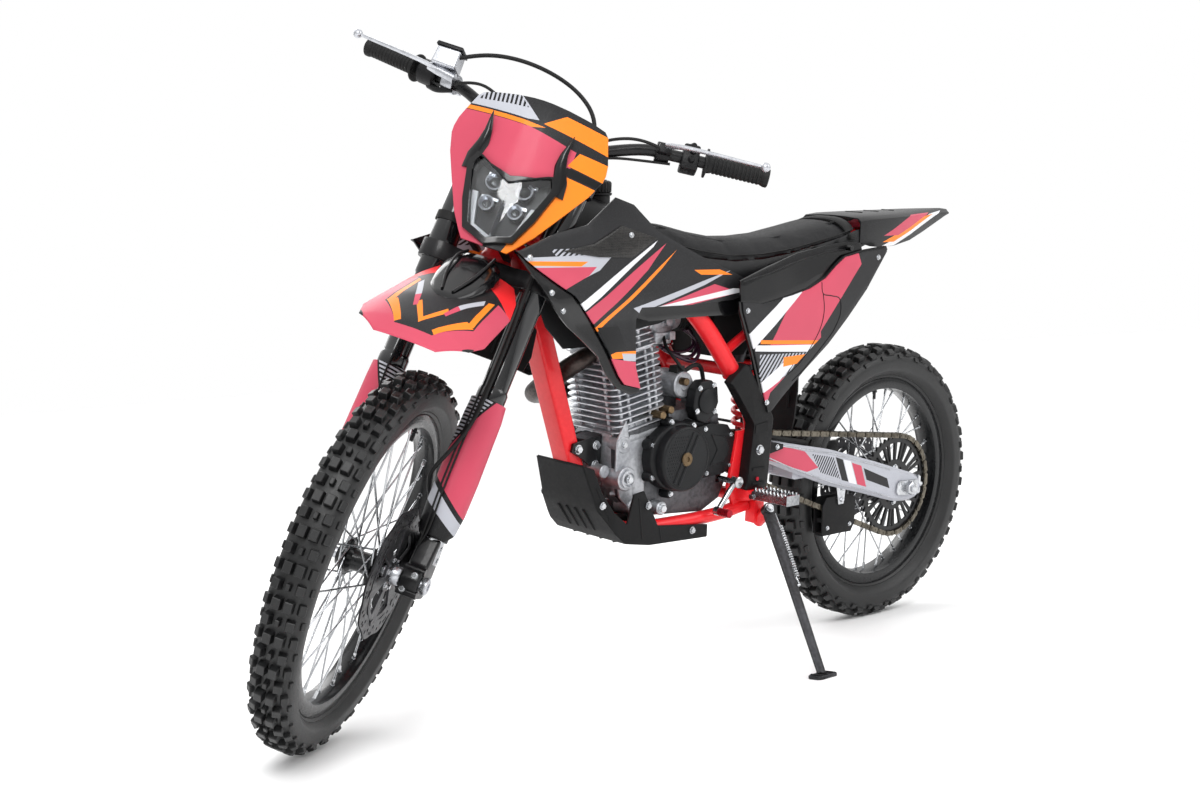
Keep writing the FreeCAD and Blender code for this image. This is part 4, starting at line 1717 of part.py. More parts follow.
def wheels():
    """The turning pieces of both wheels, keyed by node name."""
    front, rear = FRONT_AXLE, REAR_AXLE
    front_bed, rear_bed = FRONT_FLANGE_RADIUS - RIM_DEPTH, REAR_FLANGE_RADIUS - RIM_DEPTH
    tip = pitch_radius(SPROCKET_TEETH) - CHAIN_HEIGHT / 2 - SPROCKET_CLEARANCE
    gear = sprocket(SPROCKET_TEETH, tip, tip - SPROCKET_TOOTH, SPROCKET_BAND, SPROCKET_ARMS, rear)
    boss_end = CHAIN_OFFSET + SPROCKET_THICKNESS / 2
    boss = bar_across(rear, REAR_HUB_WIDTH / 2 + SEAT_GAP, boss_end, REAR_HUB_FLANGE_RADIUS)
    bore = across(rear, -WHEELBASE, WHEELBASE, REAR_AXLE_RADIUS + PIN_GAP)
    return {
        "front_tyre": tyre(
            FRONT_TYRE_RADIUS, FRONT_TYRE_WIDTH, FRONT_FLANGE_RADIUS, FRONT_RIM_WIDTH,
            FRONT_LUG_LENGTH, FRONT_LUG_WIDTH, front,
        ),
        "front_rim": rim(FRONT_FLANGE_RADIUS, FRONT_RIM_WIDTH, front),
        "front_spokes": spoked_hub(
            FRONT_HUB_RADIUS, FRONT_HUB_FLANGE_RADIUS, FRONT_HUB_WIDTH, FRONT_FLANGE_SPAN,
            FRONT_AXLE_RADIUS + PIN_GAP, front_bed, front,
        ),
        "front_disc": disc(
            FRONT_DISC_RADIUS, FRONT_DISC_OFFSET, FRONT_HUB_FLANGE_RADIUS, FRONT_HUB_WIDTH / 2 + SEAT_GAP,
            FRONT_AXLE_RADIUS + PIN_GAP, front,
        ),
        "rear_tyre": tyre(
            REAR_TYRE_RADIUS, REAR_TYRE_WIDTH, REAR_FLANGE_RADIUS, REAR_RIM_WIDTH,
            REAR_LUG_LENGTH, REAR_LUG_WIDTH, rear,
        ),
        "rear_rim": rim(REAR_FLANGE_RADIUS, REAR_RIM_WIDTH, rear),
        "rear_spokes": spoked_hub(
            REAR_HUB_RADIUS, REAR_HUB_FLANGE_RADIUS, REAR_HUB_WIDTH, REAR_FLANGE_SPAN,
            REAR_AXLE_RADIUS + PIN_GAP, rear_bed, rear,
        ),
        "rear_disc": disc(
            REAR_DISC_RADIUS, -REAR_DISC_OFFSET, REAR_HUB_FLANGE_RADIUS, -REAR_HUB_WIDTH / 2 - SEAT_GAP,
            REAR_AXLE_RADIUS + PIN_GAP, rear,
        ),
        "rear_sprocket": gear.fuse(boss).cut(bore),
    }


CHASSIS = {
    "main_frame": main_frame,
    "rear_subframe": rear_subframe,
    "swingarm": swingarm,
    "rear_axle": rear_axle,
    "rear_shock": rear_shock,
    "crankcase": crankcase,
    "engine_covers": engine_covers,
    "cylinder": cylinder,
    "carburettor": carburettor,
    "air_box": air_box,
    "exhaust_pipe": exhaust_pipe,
    "silencer": silencer,
    "skid_plate": skid_plate,
    "engine_mounts": engine_mounts,
    "frame_guards": frame_guards,
    "drive_chain": drive_chain,
    "drive_pinion": pinion,
    "chain_guide": chain_guide,
    "seat": seat,
    "fuel_tank": fuel_tank,
    "tank_shrouds": tank_shrouds,
    "side_panels": side_panels,
    "rear_fender": rear_fender,
    "mudflap": mudflap,
    "tail_lamp": tail_lamp,
    "footpegs": footpegs,
    "foot_levers": foot_levers,
    "rear_caliper": rear_caliper,
}
STAND = {"side_stand": side_stand, "stand_spring": stand_spring}
STEERING = {
    "fork_clamps": fork_clamps,
    "fork_tubes": fork_tubes,
    "fork_stanchions": fork_stanchions,
    "fork_guards": fork_guards,
    "front_axle": front_axle,
    "handlebar": handlebar,
    "grips": grips,
    "hand_levers": hand_levers,
    "bar_controls": bar_controls,
    "lamp_mask": lamp_mask,
    "headlamp": headlamp,
    "front_fender": front_fender,
    "fender_scoop": fender_scoop,
    "brake_hose": brake_hose,
    "front_caliper": front_caliper,
}


def lowest(shape, placement):
    """The height of a tyre's lowest corner after a placement."""
    return min(placement.multVec(vertex.Point).z for vertex in shape.Vertexes)


def lean_and_pitch(pitch):
    """The parked attitude: leaned left, then tipped until both tyres reach the ground."""
    lean = Rotation(Vector(1, 0, 0), -LEAN_ANGLE)
    return Placement(Vector(), Rotation(LEFT, pitch).multiply(lean))


def parked(front_tyre, rear_tyre):
    """The placement that sets the upright bike on the ground at its lean."""
    pitch = 0.0
    for _ in range(PITCH_STEPS):
        attitude = lean_and_pitch(pitch)
        front_low = lowest(front_tyre, attitude.multiply(STEERED))
        rear_low = lowest(rear_tyre, attitude)
        pitch += math.degrees(math.atan2(front_low - rear_low, WHEELBASE))
    attitude = lean_and_pitch(pitch)
    rear_low = lowest(rear_tyre, attitude)
    return Placement(Vector(0, 0, -rear_low), attitude.Rotation)


def placed(shape, placement):
    """A copy of a shape moved to its place."""
    moved = shape.copy()
    moved.Placement = placement.multiply(moved.Placement)
    return moved


def assembly():
    """Every node in the parked bike, and the placement of the upright bike's own frame."""
    turning = wheels()
    settle = parked(turning["front_tyre"], turning["rear_tyre"])
    fork = settle.multiply(STEERED)
    nodes = {}
    for name, make in list(CHASSIS.items()) + list(STAND.items()):
        nodes[name] = placed(make(), settle)
    for name, make in STEERING.items():
        nodes[name] = placed(make(), fork)
    for name, shape in turning.items():
        nodes[name] = placed(shape, fork if name.startswith("front") else settle)
    boxes = [shape.optimalBoundingBox(False, False) for shape in nodes.values()]
    middle = Vector(
        -(min(box.XMin for box in boxes) + max(box.XMax for box in boxes)) / 2,
        -(min(box.YMin for box in boxes) + max(box.YMax for box in boxes)) / 2,
        -min(box.ZMin for box in boxes),
    )
    shift = Placement(middle, Rotation())
    nodes = {name: placed(shape, shift) for name, shape in nodes.items()}
    return nodes, shift.multiply(settle)


NODES, BIKE_FRAME = assembly()
os.makedirs("parts", exist_ok=True)
for node, solid in NODES.items():
    solid.exportStep("parts/" + node + ".step")
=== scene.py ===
"""A trail motorcycle, leaning on its side stand: its looks over the fixed frame.

Blender's places are in metres, and those of the shapes below in millimetres. The bike's
axes stand under the rear axle and lean with it: x forwards, y to the rider's left, z up.
The fork's axes stand on the steering axis and turn with the bars: x ahead of it, y to
the left, z up along it. The engine's axes stand at the cylinder's foot, with z up it.
"""
from __future__ import annotations

import json
import logging
import math
from collections.abc import Callable, Iterable, Sequence
from dataclasses import dataclass
from enum import Enum

import bmesh
import bpy
from mathutils import Matrix, Vector

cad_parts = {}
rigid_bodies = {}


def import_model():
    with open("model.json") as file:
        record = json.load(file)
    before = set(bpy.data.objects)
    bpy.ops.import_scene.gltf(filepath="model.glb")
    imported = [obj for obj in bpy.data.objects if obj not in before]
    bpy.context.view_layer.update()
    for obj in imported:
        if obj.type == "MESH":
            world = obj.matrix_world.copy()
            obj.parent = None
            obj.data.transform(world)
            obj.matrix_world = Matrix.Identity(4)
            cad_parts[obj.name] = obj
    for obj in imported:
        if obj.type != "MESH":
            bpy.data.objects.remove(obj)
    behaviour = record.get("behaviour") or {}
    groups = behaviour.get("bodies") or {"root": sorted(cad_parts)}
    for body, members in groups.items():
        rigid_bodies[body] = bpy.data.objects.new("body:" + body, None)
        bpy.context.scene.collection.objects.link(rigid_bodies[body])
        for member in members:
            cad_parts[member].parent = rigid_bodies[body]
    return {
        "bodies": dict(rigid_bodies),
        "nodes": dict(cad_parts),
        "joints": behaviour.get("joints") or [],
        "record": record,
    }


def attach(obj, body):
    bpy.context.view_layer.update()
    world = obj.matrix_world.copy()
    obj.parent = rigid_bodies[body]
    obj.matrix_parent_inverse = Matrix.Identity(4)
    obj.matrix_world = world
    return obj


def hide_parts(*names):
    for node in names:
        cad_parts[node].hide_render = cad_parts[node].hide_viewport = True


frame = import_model()

LOG = logging.getLogger("trail_motorcycle")
MM = 0.001


# Places

@dataclass(frozen=True)
class Axes:
    """A set of axes in the row frame.

    Args:
        matrix: the turn and place of the axes, in metres.
    """

    matrix: Matrix

    def at(self, x: float, y: float, z: float) -> Vector:
        """The point at x, y, z millimetres along these axes, in the row frame."""
        return self.matrix @ Vector((x * MM, y * MM, z * MM))

    def way(self, x: float, y: float, z: float) -> Vector:
        """The direction x, y, z of these axes, in the row frame, of length one."""
        return (self.matrix.to_3x3() @ Vector((x, y, z))).normalized()


def turn(degrees: float, axis: str) -> Matrix:
    """The turn of that many degrees about a named axis."""
    return Matrix.Rotation(math.radians(degrees), 4, axis)


# Radii are in millimetres, turns in degrees and places in metres, all as in the CAD part.
FRONT_RADIUS = 350.0
REAR_RADIUS = 318.0
LEAN = -9.0
DIVE = 0.269802
RAKE = -27.0
BARS_TURN = 37.0
MOTOR_TILT = 10.0
REAR_CONTACT = Matrix.Translation((-0.724584, -0.171219, 0.00301938))
STEERING_FOOT = Matrix.Translation((1.41116, 0.0, 0.32155))
FRONT_AXLE = Matrix.Translation((0.06267, 0.0, 0.0))
REAR_AXLE = Matrix.Translation((0.0, 0.0, 0.318))
CYLINDER_FOOT = Matrix.Translation((0.812, 0.0, 0.5274))

BIKE = Axes(REAR_CONTACT @ turn(DIVE, "Y") @ turn(LEAN, "X"))
FORK = Axes(BIKE.matrix @ STEERING_FOOT @ turn(RAKE, "Y") @ turn(BARS_TURN, "Z"))
FRONT_HUB = Axes(FORK.matrix @ FRONT_AXLE)
REAR_HUB = Axes(BIKE.matrix @ REAR_AXLE)
ENGINE = Axes(BIKE.matrix @ CYLINDER_FOOT @ turn(MOTOR_TILT, "Y"))

# The same places in millimetres along the bike's axes, and the direction of the stand's pivot.
FORK_TO_BIKE = Matrix.Translation((1411.16, 0.0, 321.55)) @ turn(RAKE, "Y")
ENGINE_TO_BIKE = Matrix.Translation((812, 0, 527.4)) @ turn(MOTOR_TILT, "Y")
STAND_AXIS = Vector((0.107064, 0.713947, 0.691966))


def laid(way: Vector) -> Matrix:
    """The turn that lays a form's y axis along a direction."""
    return way.to_track_quat("Y", "Z").to_matrix().to_4x4()


def added(name: str, data: object) -> bpy.types.Object:
    """Adds an object of the data to the scene."""
    made = bpy.data.objects.new(name, data)
    bpy.context.scene.collection.objects.link(made)
    return made


def evaluated(holder: bpy.types.Object) -> bpy.types.Mesh:
    """The mesh that an object's modifiers or curve settings give."""
    bpy.context.view_layer.update()
    graph = bpy.context.evaluated_depsgraph_get()
    return bpy.data.meshes.new_from_object(holder.evaluated_get(graph))


# Shader maths

class Value:
    """A socket of a material on which arithmetic adds the nodes that work it out.

    Args:
        maker: the material or the tree that the nodes go into.
        socket: the output that carries the value.
    """

    def __init__(self, maker: Maker | Recipe, socket: bpy.types.NodeSocket) -> None:
        """Keeps what the nodes go into and the socket."""
        self.maker = maker
        self.socket = socket

    def _math(self, operation: str, *operands: Value | float) -> Value:
        """The result of one Math node.

        Args:
            operation: the node's operation.
            operands: its values, in order.

        Returns:
            The node's output.
        """
        return self.maker.value("ShaderNodeMath", {"operation": operation}, dict(enumerate(operands)))

    def __add__(self, other: Value | float) -> Value:
        """This plus the other."""
        return self._math("ADD", self, other)

    def __radd__(self, other: float) -> Value:
        """The other plus this."""
        return self._math("ADD", other, self)

    def __sub__(self, other: Value | float) -> Value:
        """This less the other."""
        return self._math("SUBTRACT", self, other)

    def __rsub__(self, other: float) -> Value:
        """The other less this."""
        return self._math("SUBTRACT", other, self)

    def __mul__(self, other: Value | float) -> Value:
        """This times the other."""
        return self._math("MULTIPLY", self, other)

    def __rmul__(self, other: float) -> Value:
        """The other times this."""
        return self._math("MULTIPLY", other, self)

    def __gt__(self, other: Value | float) -> Value:
        """One where this is greater than the other, else zero."""
        return self._math("GREATER_THAN", self, other)

    def __lt__(self, other: Value | float) -> Value:
        """One where this is less than the other, else zero."""
        return self._math("LESS_THAN", self, other)

    def least(self, other: Value | float) -> Value:
        """The lesser of this and the other."""
        return self._math("MINIMUM", self, other)

    def size(self) -> Value:
        """This without its sign."""
        return self._math("ABSOLUTE", self)

    def part(self) -> Value:
        """The part of this past the whole number below it."""
        return self._math("FRACT", self)

    def sine(self) -> Value:
        """The sine of this, in radians."""
        return self._math("SINE", self)

    def remainder(self, divisor: float) -> Value:
        """What is left of this past the last whole multiple of the divisor."""
        return self._math("FLOORED_MODULO", self, divisor)

    def power(self, exponent: float) -> Value:
        """This to the power of the exponent."""
        return self._math("POWER", self, exponent)


class Maker:
    """One material under construction.

    Args:
        name: the material's name.
    """

    def __init__(self, name: str) -> None:
        """Makes the material with a Principled shader."""
        self.material = bpy.data.materials.new(name)
        self.material.use_nodes = True
        self.tree = self.material.node_tree
        self.tree.nodes.clear()
        self.shader = self.tree.nodes.new("ShaderNodeBsdfPrincipled")
        output = self.tree.nodes.new("ShaderNodeOutputMaterial")
        self.tree.links.new(self.shader.outputs[0], output.inputs[0])

    def node(self, kind: str, settings: dict | None = None, inputs: dict | None = None) -> bpy.types.Node:
        """Adds one node.

        Args:
            kind: the node's type.
            settings: its own settings, such as an operation, set first.
            inputs: values or links for its sockets, by name or place.

        Returns:
            The node.
        """
        made = self.tree.nodes.new(kind)
        for key, setting in (settings or {}).items():
            setattr(made, key, setting)
        for key, given in (inputs or {}).items():
            self.feed(made.inputs[key], given)
        return made

    def feed(self, socket: bpy.types.NodeSocket, given: object) -> None:
        """Links a Value to the socket, or sets the plain value on it."""
        if isinstance(given, Value):
            self.tree.links.new(given.socket, socket)
        else:
            socket.default_value = given

    def value(
        self, kind: str, settings: dict | None = None, inputs: dict | None = None, output: int | str = 0
    ) -> Value:
        """Adds one node and gives one of its outputs.

        Args:
            kind: the node's type.
            settings: its own settings.
            inputs: values or links for its sockets.
            output: which of its outputs.

        Returns:
            The output.
        """
        return Value(self, self.node(kind, settings, inputs).outputs[output])

    def place(self) -> Value:
        """The point on the surface, in the row frame."""
        return self.value("ShaderNodeTexCoord", output="Object")

    def noise(self, scale: float, detail: float = 2.0, at: Value | None = None, seed: float = 0.0) -> Value:
        """Smooth noise about a half, with that many waves a metre.

        Args:
            scale: the waves in a metre.
            detail: how many finer layers it has.
            at: the point that it is read at, the surface's own when left out.
            seed: shifts the noise.

        Returns:
            The noise.
        """
        inputs = {"Vector": at or self.place(), "W": seed, "Scale": scale, "Detail": detail}
        return self.value("ShaderNodeTexNoise", {"noise_dimensions": "4D"}, inputs)

    def cells(self, scale: float, feature: str = "F1") -> Value:
        """The distance to the nearest of scattered points.

        Args:
            scale: the cells in a metre.
            feature: the Voronoi node's feature.

        Returns:
            The distance, in cells.
        """
        inputs = {"Vector": self.place(), "Scale": scale}
        return self.value("ShaderNodeTexVoronoi", {"feature": feature}, inputs, "Distance")

    def ramp(self, given: Value, low: float, high: float) -> Value:
        """The value's share of the way between two numbers, smooth and capped at 0 and 1.

        Args:
            given: the value.
            low: where the share is 0.
            high: where the share is 1.

        Returns:
            The share.
        """
        settings = {"interpolation_type": "SMOOTHSTEP"}
        return self.value("ShaderNodeMapRange", settings, {"Value": given, "From Min": low, "From Max": high})

    def mix(self, share: Value | float, first: object, second: object) -> Value:
        """The colour part of the way between two others.

        Args:
            share: how far it is from the first to the second, from 0 to 1.
            first: the first colour.
            second: the second colour.

        Returns:
            The colour.
        """
        inputs = {"Factor": share, 6: first, 7: second}
        return self.value("ShaderNodeMix", {"data_type": "RGBA"}, inputs, 2)

    def along(self, point: Value, way: Vector) -> Value:
        """How far a point lies along a direction.

        Args:
            point: the point.
            way: the direction.

        Returns:
            The distance.
        """
        inputs = {0: point, 1: tuple(way)}
        return self.value("ShaderNodeVectorMath", {"operation": "DOT_PRODUCT"}, inputs, "Value")

    def bump(self, height: Value, depth: float) -> None:
        """Lets a height tilt the surface's normal.

        Args:
            height: the height, mostly from 0 to 1.
            depth: what a height of 1 stands for, in metres.
        """
        bump = self.value("ShaderNodeBump", None, {"Strength": 1.0, "Distance": depth, "Height": height})
        self.feed(self.shader.inputs["Normal"], bump)

    def set(self, **sockets: object) -> None:
        """Feeds the shader's sockets, named with _ for a space."""
        for key, given in sockets.items():
            self.feed(self.shader.inputs[key.replace("_", " ")], given)


def shade(code: str) -> tuple[float, float, float, float]:
    """The linear colour of a six-figure hexadecimal code."""
    parts = (int(code[i:i + 2], 16) / 255 for i in (0, 2, 4))
    red, green, blue = (p / 12.92 if p <= 0.04045 else ((p + 0.055) / 1.055) ** 2.4 for p in parts)
    return red, green, blue, 1.0


class Tone(Enum):
    """The colours of the panels' stripes."""

    CHARCOAL = shade("161618")
    PINK = shade("c2465c")
    ORANGE = shade("f5811c")
    SILVER = shade("b0b2ba")
    WHITE = shade("dedee2")
    BLACK = shade("08080a")
    RED = shade("e8282c")


class Grain(Enum):
    """The small relief of a finish."""

    SMOOTH = "smooth"
    PEBBLE = "pebble"
    CAST = "cast"
    BRUSHED = "brushed"
    TURNED = "turned"
    HIDE = "hide"
    WOVEN = "woven"


@dataclass(frozen=True)
class Finish:
    """A finish that is one colour with its own grain, mottle and wear.

    Args:
        name: the finish's name.
        colour: its main colour.
        second: the colour that it drifts to.
        metallic: how much it is metal.
        roughness: its roughness.
        spread: how far the roughness drifts either way.
        grain: the kind of small relief.
        scale: the waves of the relief in a metre.
        depth: the height of the relief, in metres.
        coat: the weight of a clear coat.
        drift: the waves of the colour's drift in a metre.
        shine: the strength of its plain reflection, which is 0.5 on ordinary plastic.
    """

    name: str
    colour: tuple[float, float, float, float]
    second: tuple[float, float, float, float]
    metallic: float = 0.0
    roughness: float = 0.45
    spread: float = 0.08
    grain: Grain = Grain.SMOOTH
    scale: float = 900.0
    depth: float = 0.0001
    coat: float = 0.0
    drift: float = 14.0
    shine: float = 0.26

    def relief(self, maker: Maker) -> Value:
        """The height of the finish's grain, from 0 to 1.

        Args:
            maker: the material.

        Returns:
            The height.
        """
        place = maker.place()
        if self.grain is Grain.PEBBLE:
            return maker.cells(self.scale) * 0.7 + maker.noise(self.scale * 2.1) * 0.3
        if self.grain is Grain.CAST:
            return maker.noise(self.scale, 4.0)
        if self.grain is Grain.BRUSHED:
            stretched = maker.value("ShaderNodeMapping", None, {"Vector": place, "Scale": (0.06, 1.0, 1.0)})
            return maker.noise(self.scale, 3.0, stretched)
        if self.grain is Grain.TURNED:
            stretched = maker.value("ShaderNodeMapping", None, {"Vector": place, "Scale": (1.0, 0.08, 1.0)})
            return maker.noise(self.scale, 3.0, stretched)
        if self.grain is Grain.HIDE:
            wrinkle = maker.cells(self.scale, "DISTANCE_TO_EDGE")
            return maker.ramp(wrinkle, 0.0, 0.35) * 0.8 + maker.noise(self.scale * 3.0) * 0.2
        if self.grain is Grain.WOVEN:
            waves = [maker.along(place, BIKE.way(*way)) * (self.scale * 6.28)
                     for way in ((1, 0, 1), (1, 0, -1))]
            first, second = (wave.sine() for wave in waves)
            return (first * second) * 0.5 + 0.5
        return maker.noise(self.scale, 1.0)

    def material(self) -> bpy.types.Material:
        """The finish as a material, made once and kept under its name."""
        if self.name in bpy.data.materials:
            return bpy.data.materials[self.name]
        maker = Maker(self.name)
        relief = self.relief(maker)
        drift = maker.noise(self.drift, 3.0)
        fine = maker.noise(self.drift * 9.0, 2.0, seed=3.0)
        share = maker.ramp(drift * 0.6 + fine * 0.4, 0.36, 0.66)
        colour = maker.mix(share, self.colour, self.second)
        maker.set(Base_Color=colour, Metallic=self.metallic, Coat_Weight=self.coat, Coat_Roughness=0.06,
                  Specular_IOR_Level=self.shine)
        rough = maker.ramp(fine * 0.5 + relief * 0.5, 0.25,
                           0.75) * (2.0 * self.spread) + (self.roughness - self.spread)
        maker.set(Roughness=rough)
        maker.bump(relief, self.depth)
        return maker.material


FRAME_RED = Finish("frame_red", shade("e4242b"), shade("da1c24"), roughness=0.32, spread=0.04, scale=60.0,
                   depth=0.00002, coat=0.2)
SATIN_BLACK = Finish("satin_black", shade("0b0b0d"), shade("121214"), roughness=0.36, grain=Grain.CAST,
                     coat=0.12)
SATIN_PLASTIC = Finish("moulded_black_plastic", shade("0c0c0e"), shade("131315"), roughness=0.44,
                       grain=Grain.PEBBLE, scale=1300.0, depth=0.00012)
MATT_PLASTIC = Finish("matt_black_plastic", shade("070708"), shade("0d0d0f"), roughness=0.62,
                      grain=Grain.PEBBLE, scale=900.0, depth=0.0002)
GLOSS_PLASTIC = Finish("gloss_black_plastic", shade("060607"), shade("0b0b0d"), roughness=0.2, spread=0.04,
                       scale=300.0, depth=0.00004, coat=0.3)
CAST_ALLOY = Finish("sand_cast_alloy", shade("c4c6ca"), shade("9a9ca1"), metallic=0.9, roughness=0.46,
                    spread=0.1, grain=Grain.CAST, scale=1500.0, depth=0.0003)
FIN_ALLOY = Finish("fin_alloy", shade("ccced2"), shade("a6a8ad"), metallic=0.9, roughness=0.4, spread=0.1,
                   grain=Grain.CAST, scale=1100.0, depth=0.00025)
COVER_BLACK = Finish("cover_black", shade("0f1012"), shade("17181a"), metallic=0.1, roughness=0.44,
                     grain=Grain.CAST, scale=1200.0, depth=0.00022)
MACHINED = Finish("brushed_alloy", shade("c9cbd0"), shade("aeb0b5"), metallic=0.95, roughness=0.3, spread=0.1,
                  grain=Grain.BRUSHED, scale=700.0, depth=0.00006)
BRIGHT_STEEL = Finish("bright_steel", shade("cfd1d4"), shade("a8aaad"), metallic=1.0, roughness=0.24,
                      spread=0.08, grain=Grain.TURNED, scale=900.0, depth=0.00004)
DARK_STEEL = Finish("blackened_steel", shade("434346"), shade("2f2e2f"), metallic=0.75, roughness=0.4,
                    spread=0.1, grain=Grain.CAST, scale=900.0, depth=0.00012)
CHAIN_STEEL = Finish("oiled_chain_steel", shade("716b60"), shade("48433b"), metallic=0.9, roughness=0.36,
                     spread=0.1, grain=Grain.CAST, scale=1400.0, depth=0.00008)
PLATED = Finish("plated_steel", shade("b2b4b7"), shade("7f8184"), metallic=1.0, roughness=0.25, spread=0.08,
                grain=Grain.CAST, scale=1000.0, depth=0.00004)
BRONZE = Finish("bronze_plug", shade("77644b"), shade("524434"), metallic=0.95, roughness=0.36, spread=0.08,
                grain=Grain.TURNED, scale=900.0, depth=0.00006)
SOFT_RUBBER = Finish("soft_rubber", shade("0f0f10"), shade("191919"), roughness=0.6, grain=Grain.PEBBLE,
                     scale=1100.0, depth=0.00012)
TYRE_RUBBER = Finish("tyre_rubber", shade("060607"), shade("101112"), roughness=0.46, grain=Grain.CAST,
                     scale=700.0, depth=0.0003, drift=30.0, shine=0.5)
SEAT_HIDE = Finish("grained_seat_hide", shade("0e0e10"), shade("161618"), roughness=0.56, grain=Grain.HIDE,
                   scale=520.0, depth=0.0003)
RIM_BLACK = Finish("rim_black", shade("0d0e10"), shade("151618"), metallic=0.3, roughness=0.3, spread=0.06,
                   grain=Grain.CAST, coat=0.3)
HEADER_STEEL = Finish("heated_steel", shade("4b4340"), shade("2f2b2a"), metallic=0.85, roughness=0.42,
                      spread=0.1, grain=Grain.CAST, scale=700.0, depth=0.0001, drift=22.0)
SILENCER_ALLOY = Finish("silencer_alloy", shade("9fa1a4"), shade("85878a"), metallic=0.9, roughness=0.38,
                        spread=0.08, grain=Grain.BRUSHED, scale=600.0, depth=0.00008)
# Painted shade: the crankcase is a darker alloy than the silver castings on its front, painted for the shade
# that it lies in under the covers.
CASE_PAINTED_SHADE = Finish("case_painted_shade", shade("6a6b6e"), shade("4a4b4e"), metallic=0.85, roughness=0.5, spread=0.1,
                   grain=Grain.CAST, scale=1300.0, depth=0.0003)
GLOSS_BLACK = Finish("gloss_black_tube", shade("101113"), shade("18191b"), metallic=0.2, roughness=0.16,
                     spread=0.04, grain=Grain.TURNED, scale=500.0, depth=0.00002, coat=0.8)
LIGHT_BAR = Finish("light_bar", shade("f4f5f7"), shade("dfe2e6"), roughness=0.3, spread=0.06, scale=500.0,
                   depth=0.00004, coat=0.4)
BRIGHT_TRIM = Finish("bright_trim", shade("eceef2"), shade("d0d3d8"), metallic=0.9, roughness=0.16,
                     spread=0.05, scale=400.0, depth=0.00003)
HOSE_PURPLE = Finish("purple_hose", shade("3c2034"), shade("2a1624"), roughness=0.3, spread=0.06, coat=0.4)
PEG_RED = Finish("anodised_red", shade("b51f30"), shade("8f1624"), metallic=0.7, roughness=0.32, spread=0.06,
                 grain=Grain.TURNED, scale=700.0, depth=0.00005)
CARBON_WEAVE = Finish("woven_panel", shade("131211"), shade("2a2826"), roughness=0.32, grain=Grain.WOVEN,
                      scale=150.0, depth=0.0002, coat=0.2)


@dataclass(frozen=True)
class Clear:
    """A clear or tinted lens with a faint haze.

    Args:
        name: the finish's name.
        colour: its tint.
        haze: how much the haze adds to its roughness.
    """

    name: str
    colour: tuple[float, float, float, float]
    haze: float = 0.05

    def material(self) -> bpy.types.Material:
        """The lens as a material, made once and kept under its name."""
        if self.name in bpy.data.materials:
            return bpy.data.materials[self.name]
        maker = Maker(self.name)
        cloud = maker.noise(60.0, 3.0)
        maker.set(Base_Color=maker.mix(cloud * 0.06, self.colour, shade("a8a8a8")))
        maker.set(Roughness=cloud * self.haze, IOR=1.46, Transmission_Weight=1.0)
        maker.bump(cloud, 0.00005)
        return maker.material


CLEAR_LENS = Clear("clear_lens", shade("f4f6f8"))
TAIL_RED = Clear("tail_red", shade("c01018"), 0.12)


@dataclass(frozen=True)
class Patch:
    """A flat and convex shape in a panel's pattern.

    Args:
        tone: its colour.
        corners: its corners in order in the pattern's plane, in millimetres.
        hatch: stripes a millimetre and the way that they count along in degrees, or none.
    """

    tone: Tone
    corners: tuple[tuple[float, float], ...]
    hatch: tuple[float, float] | None = None


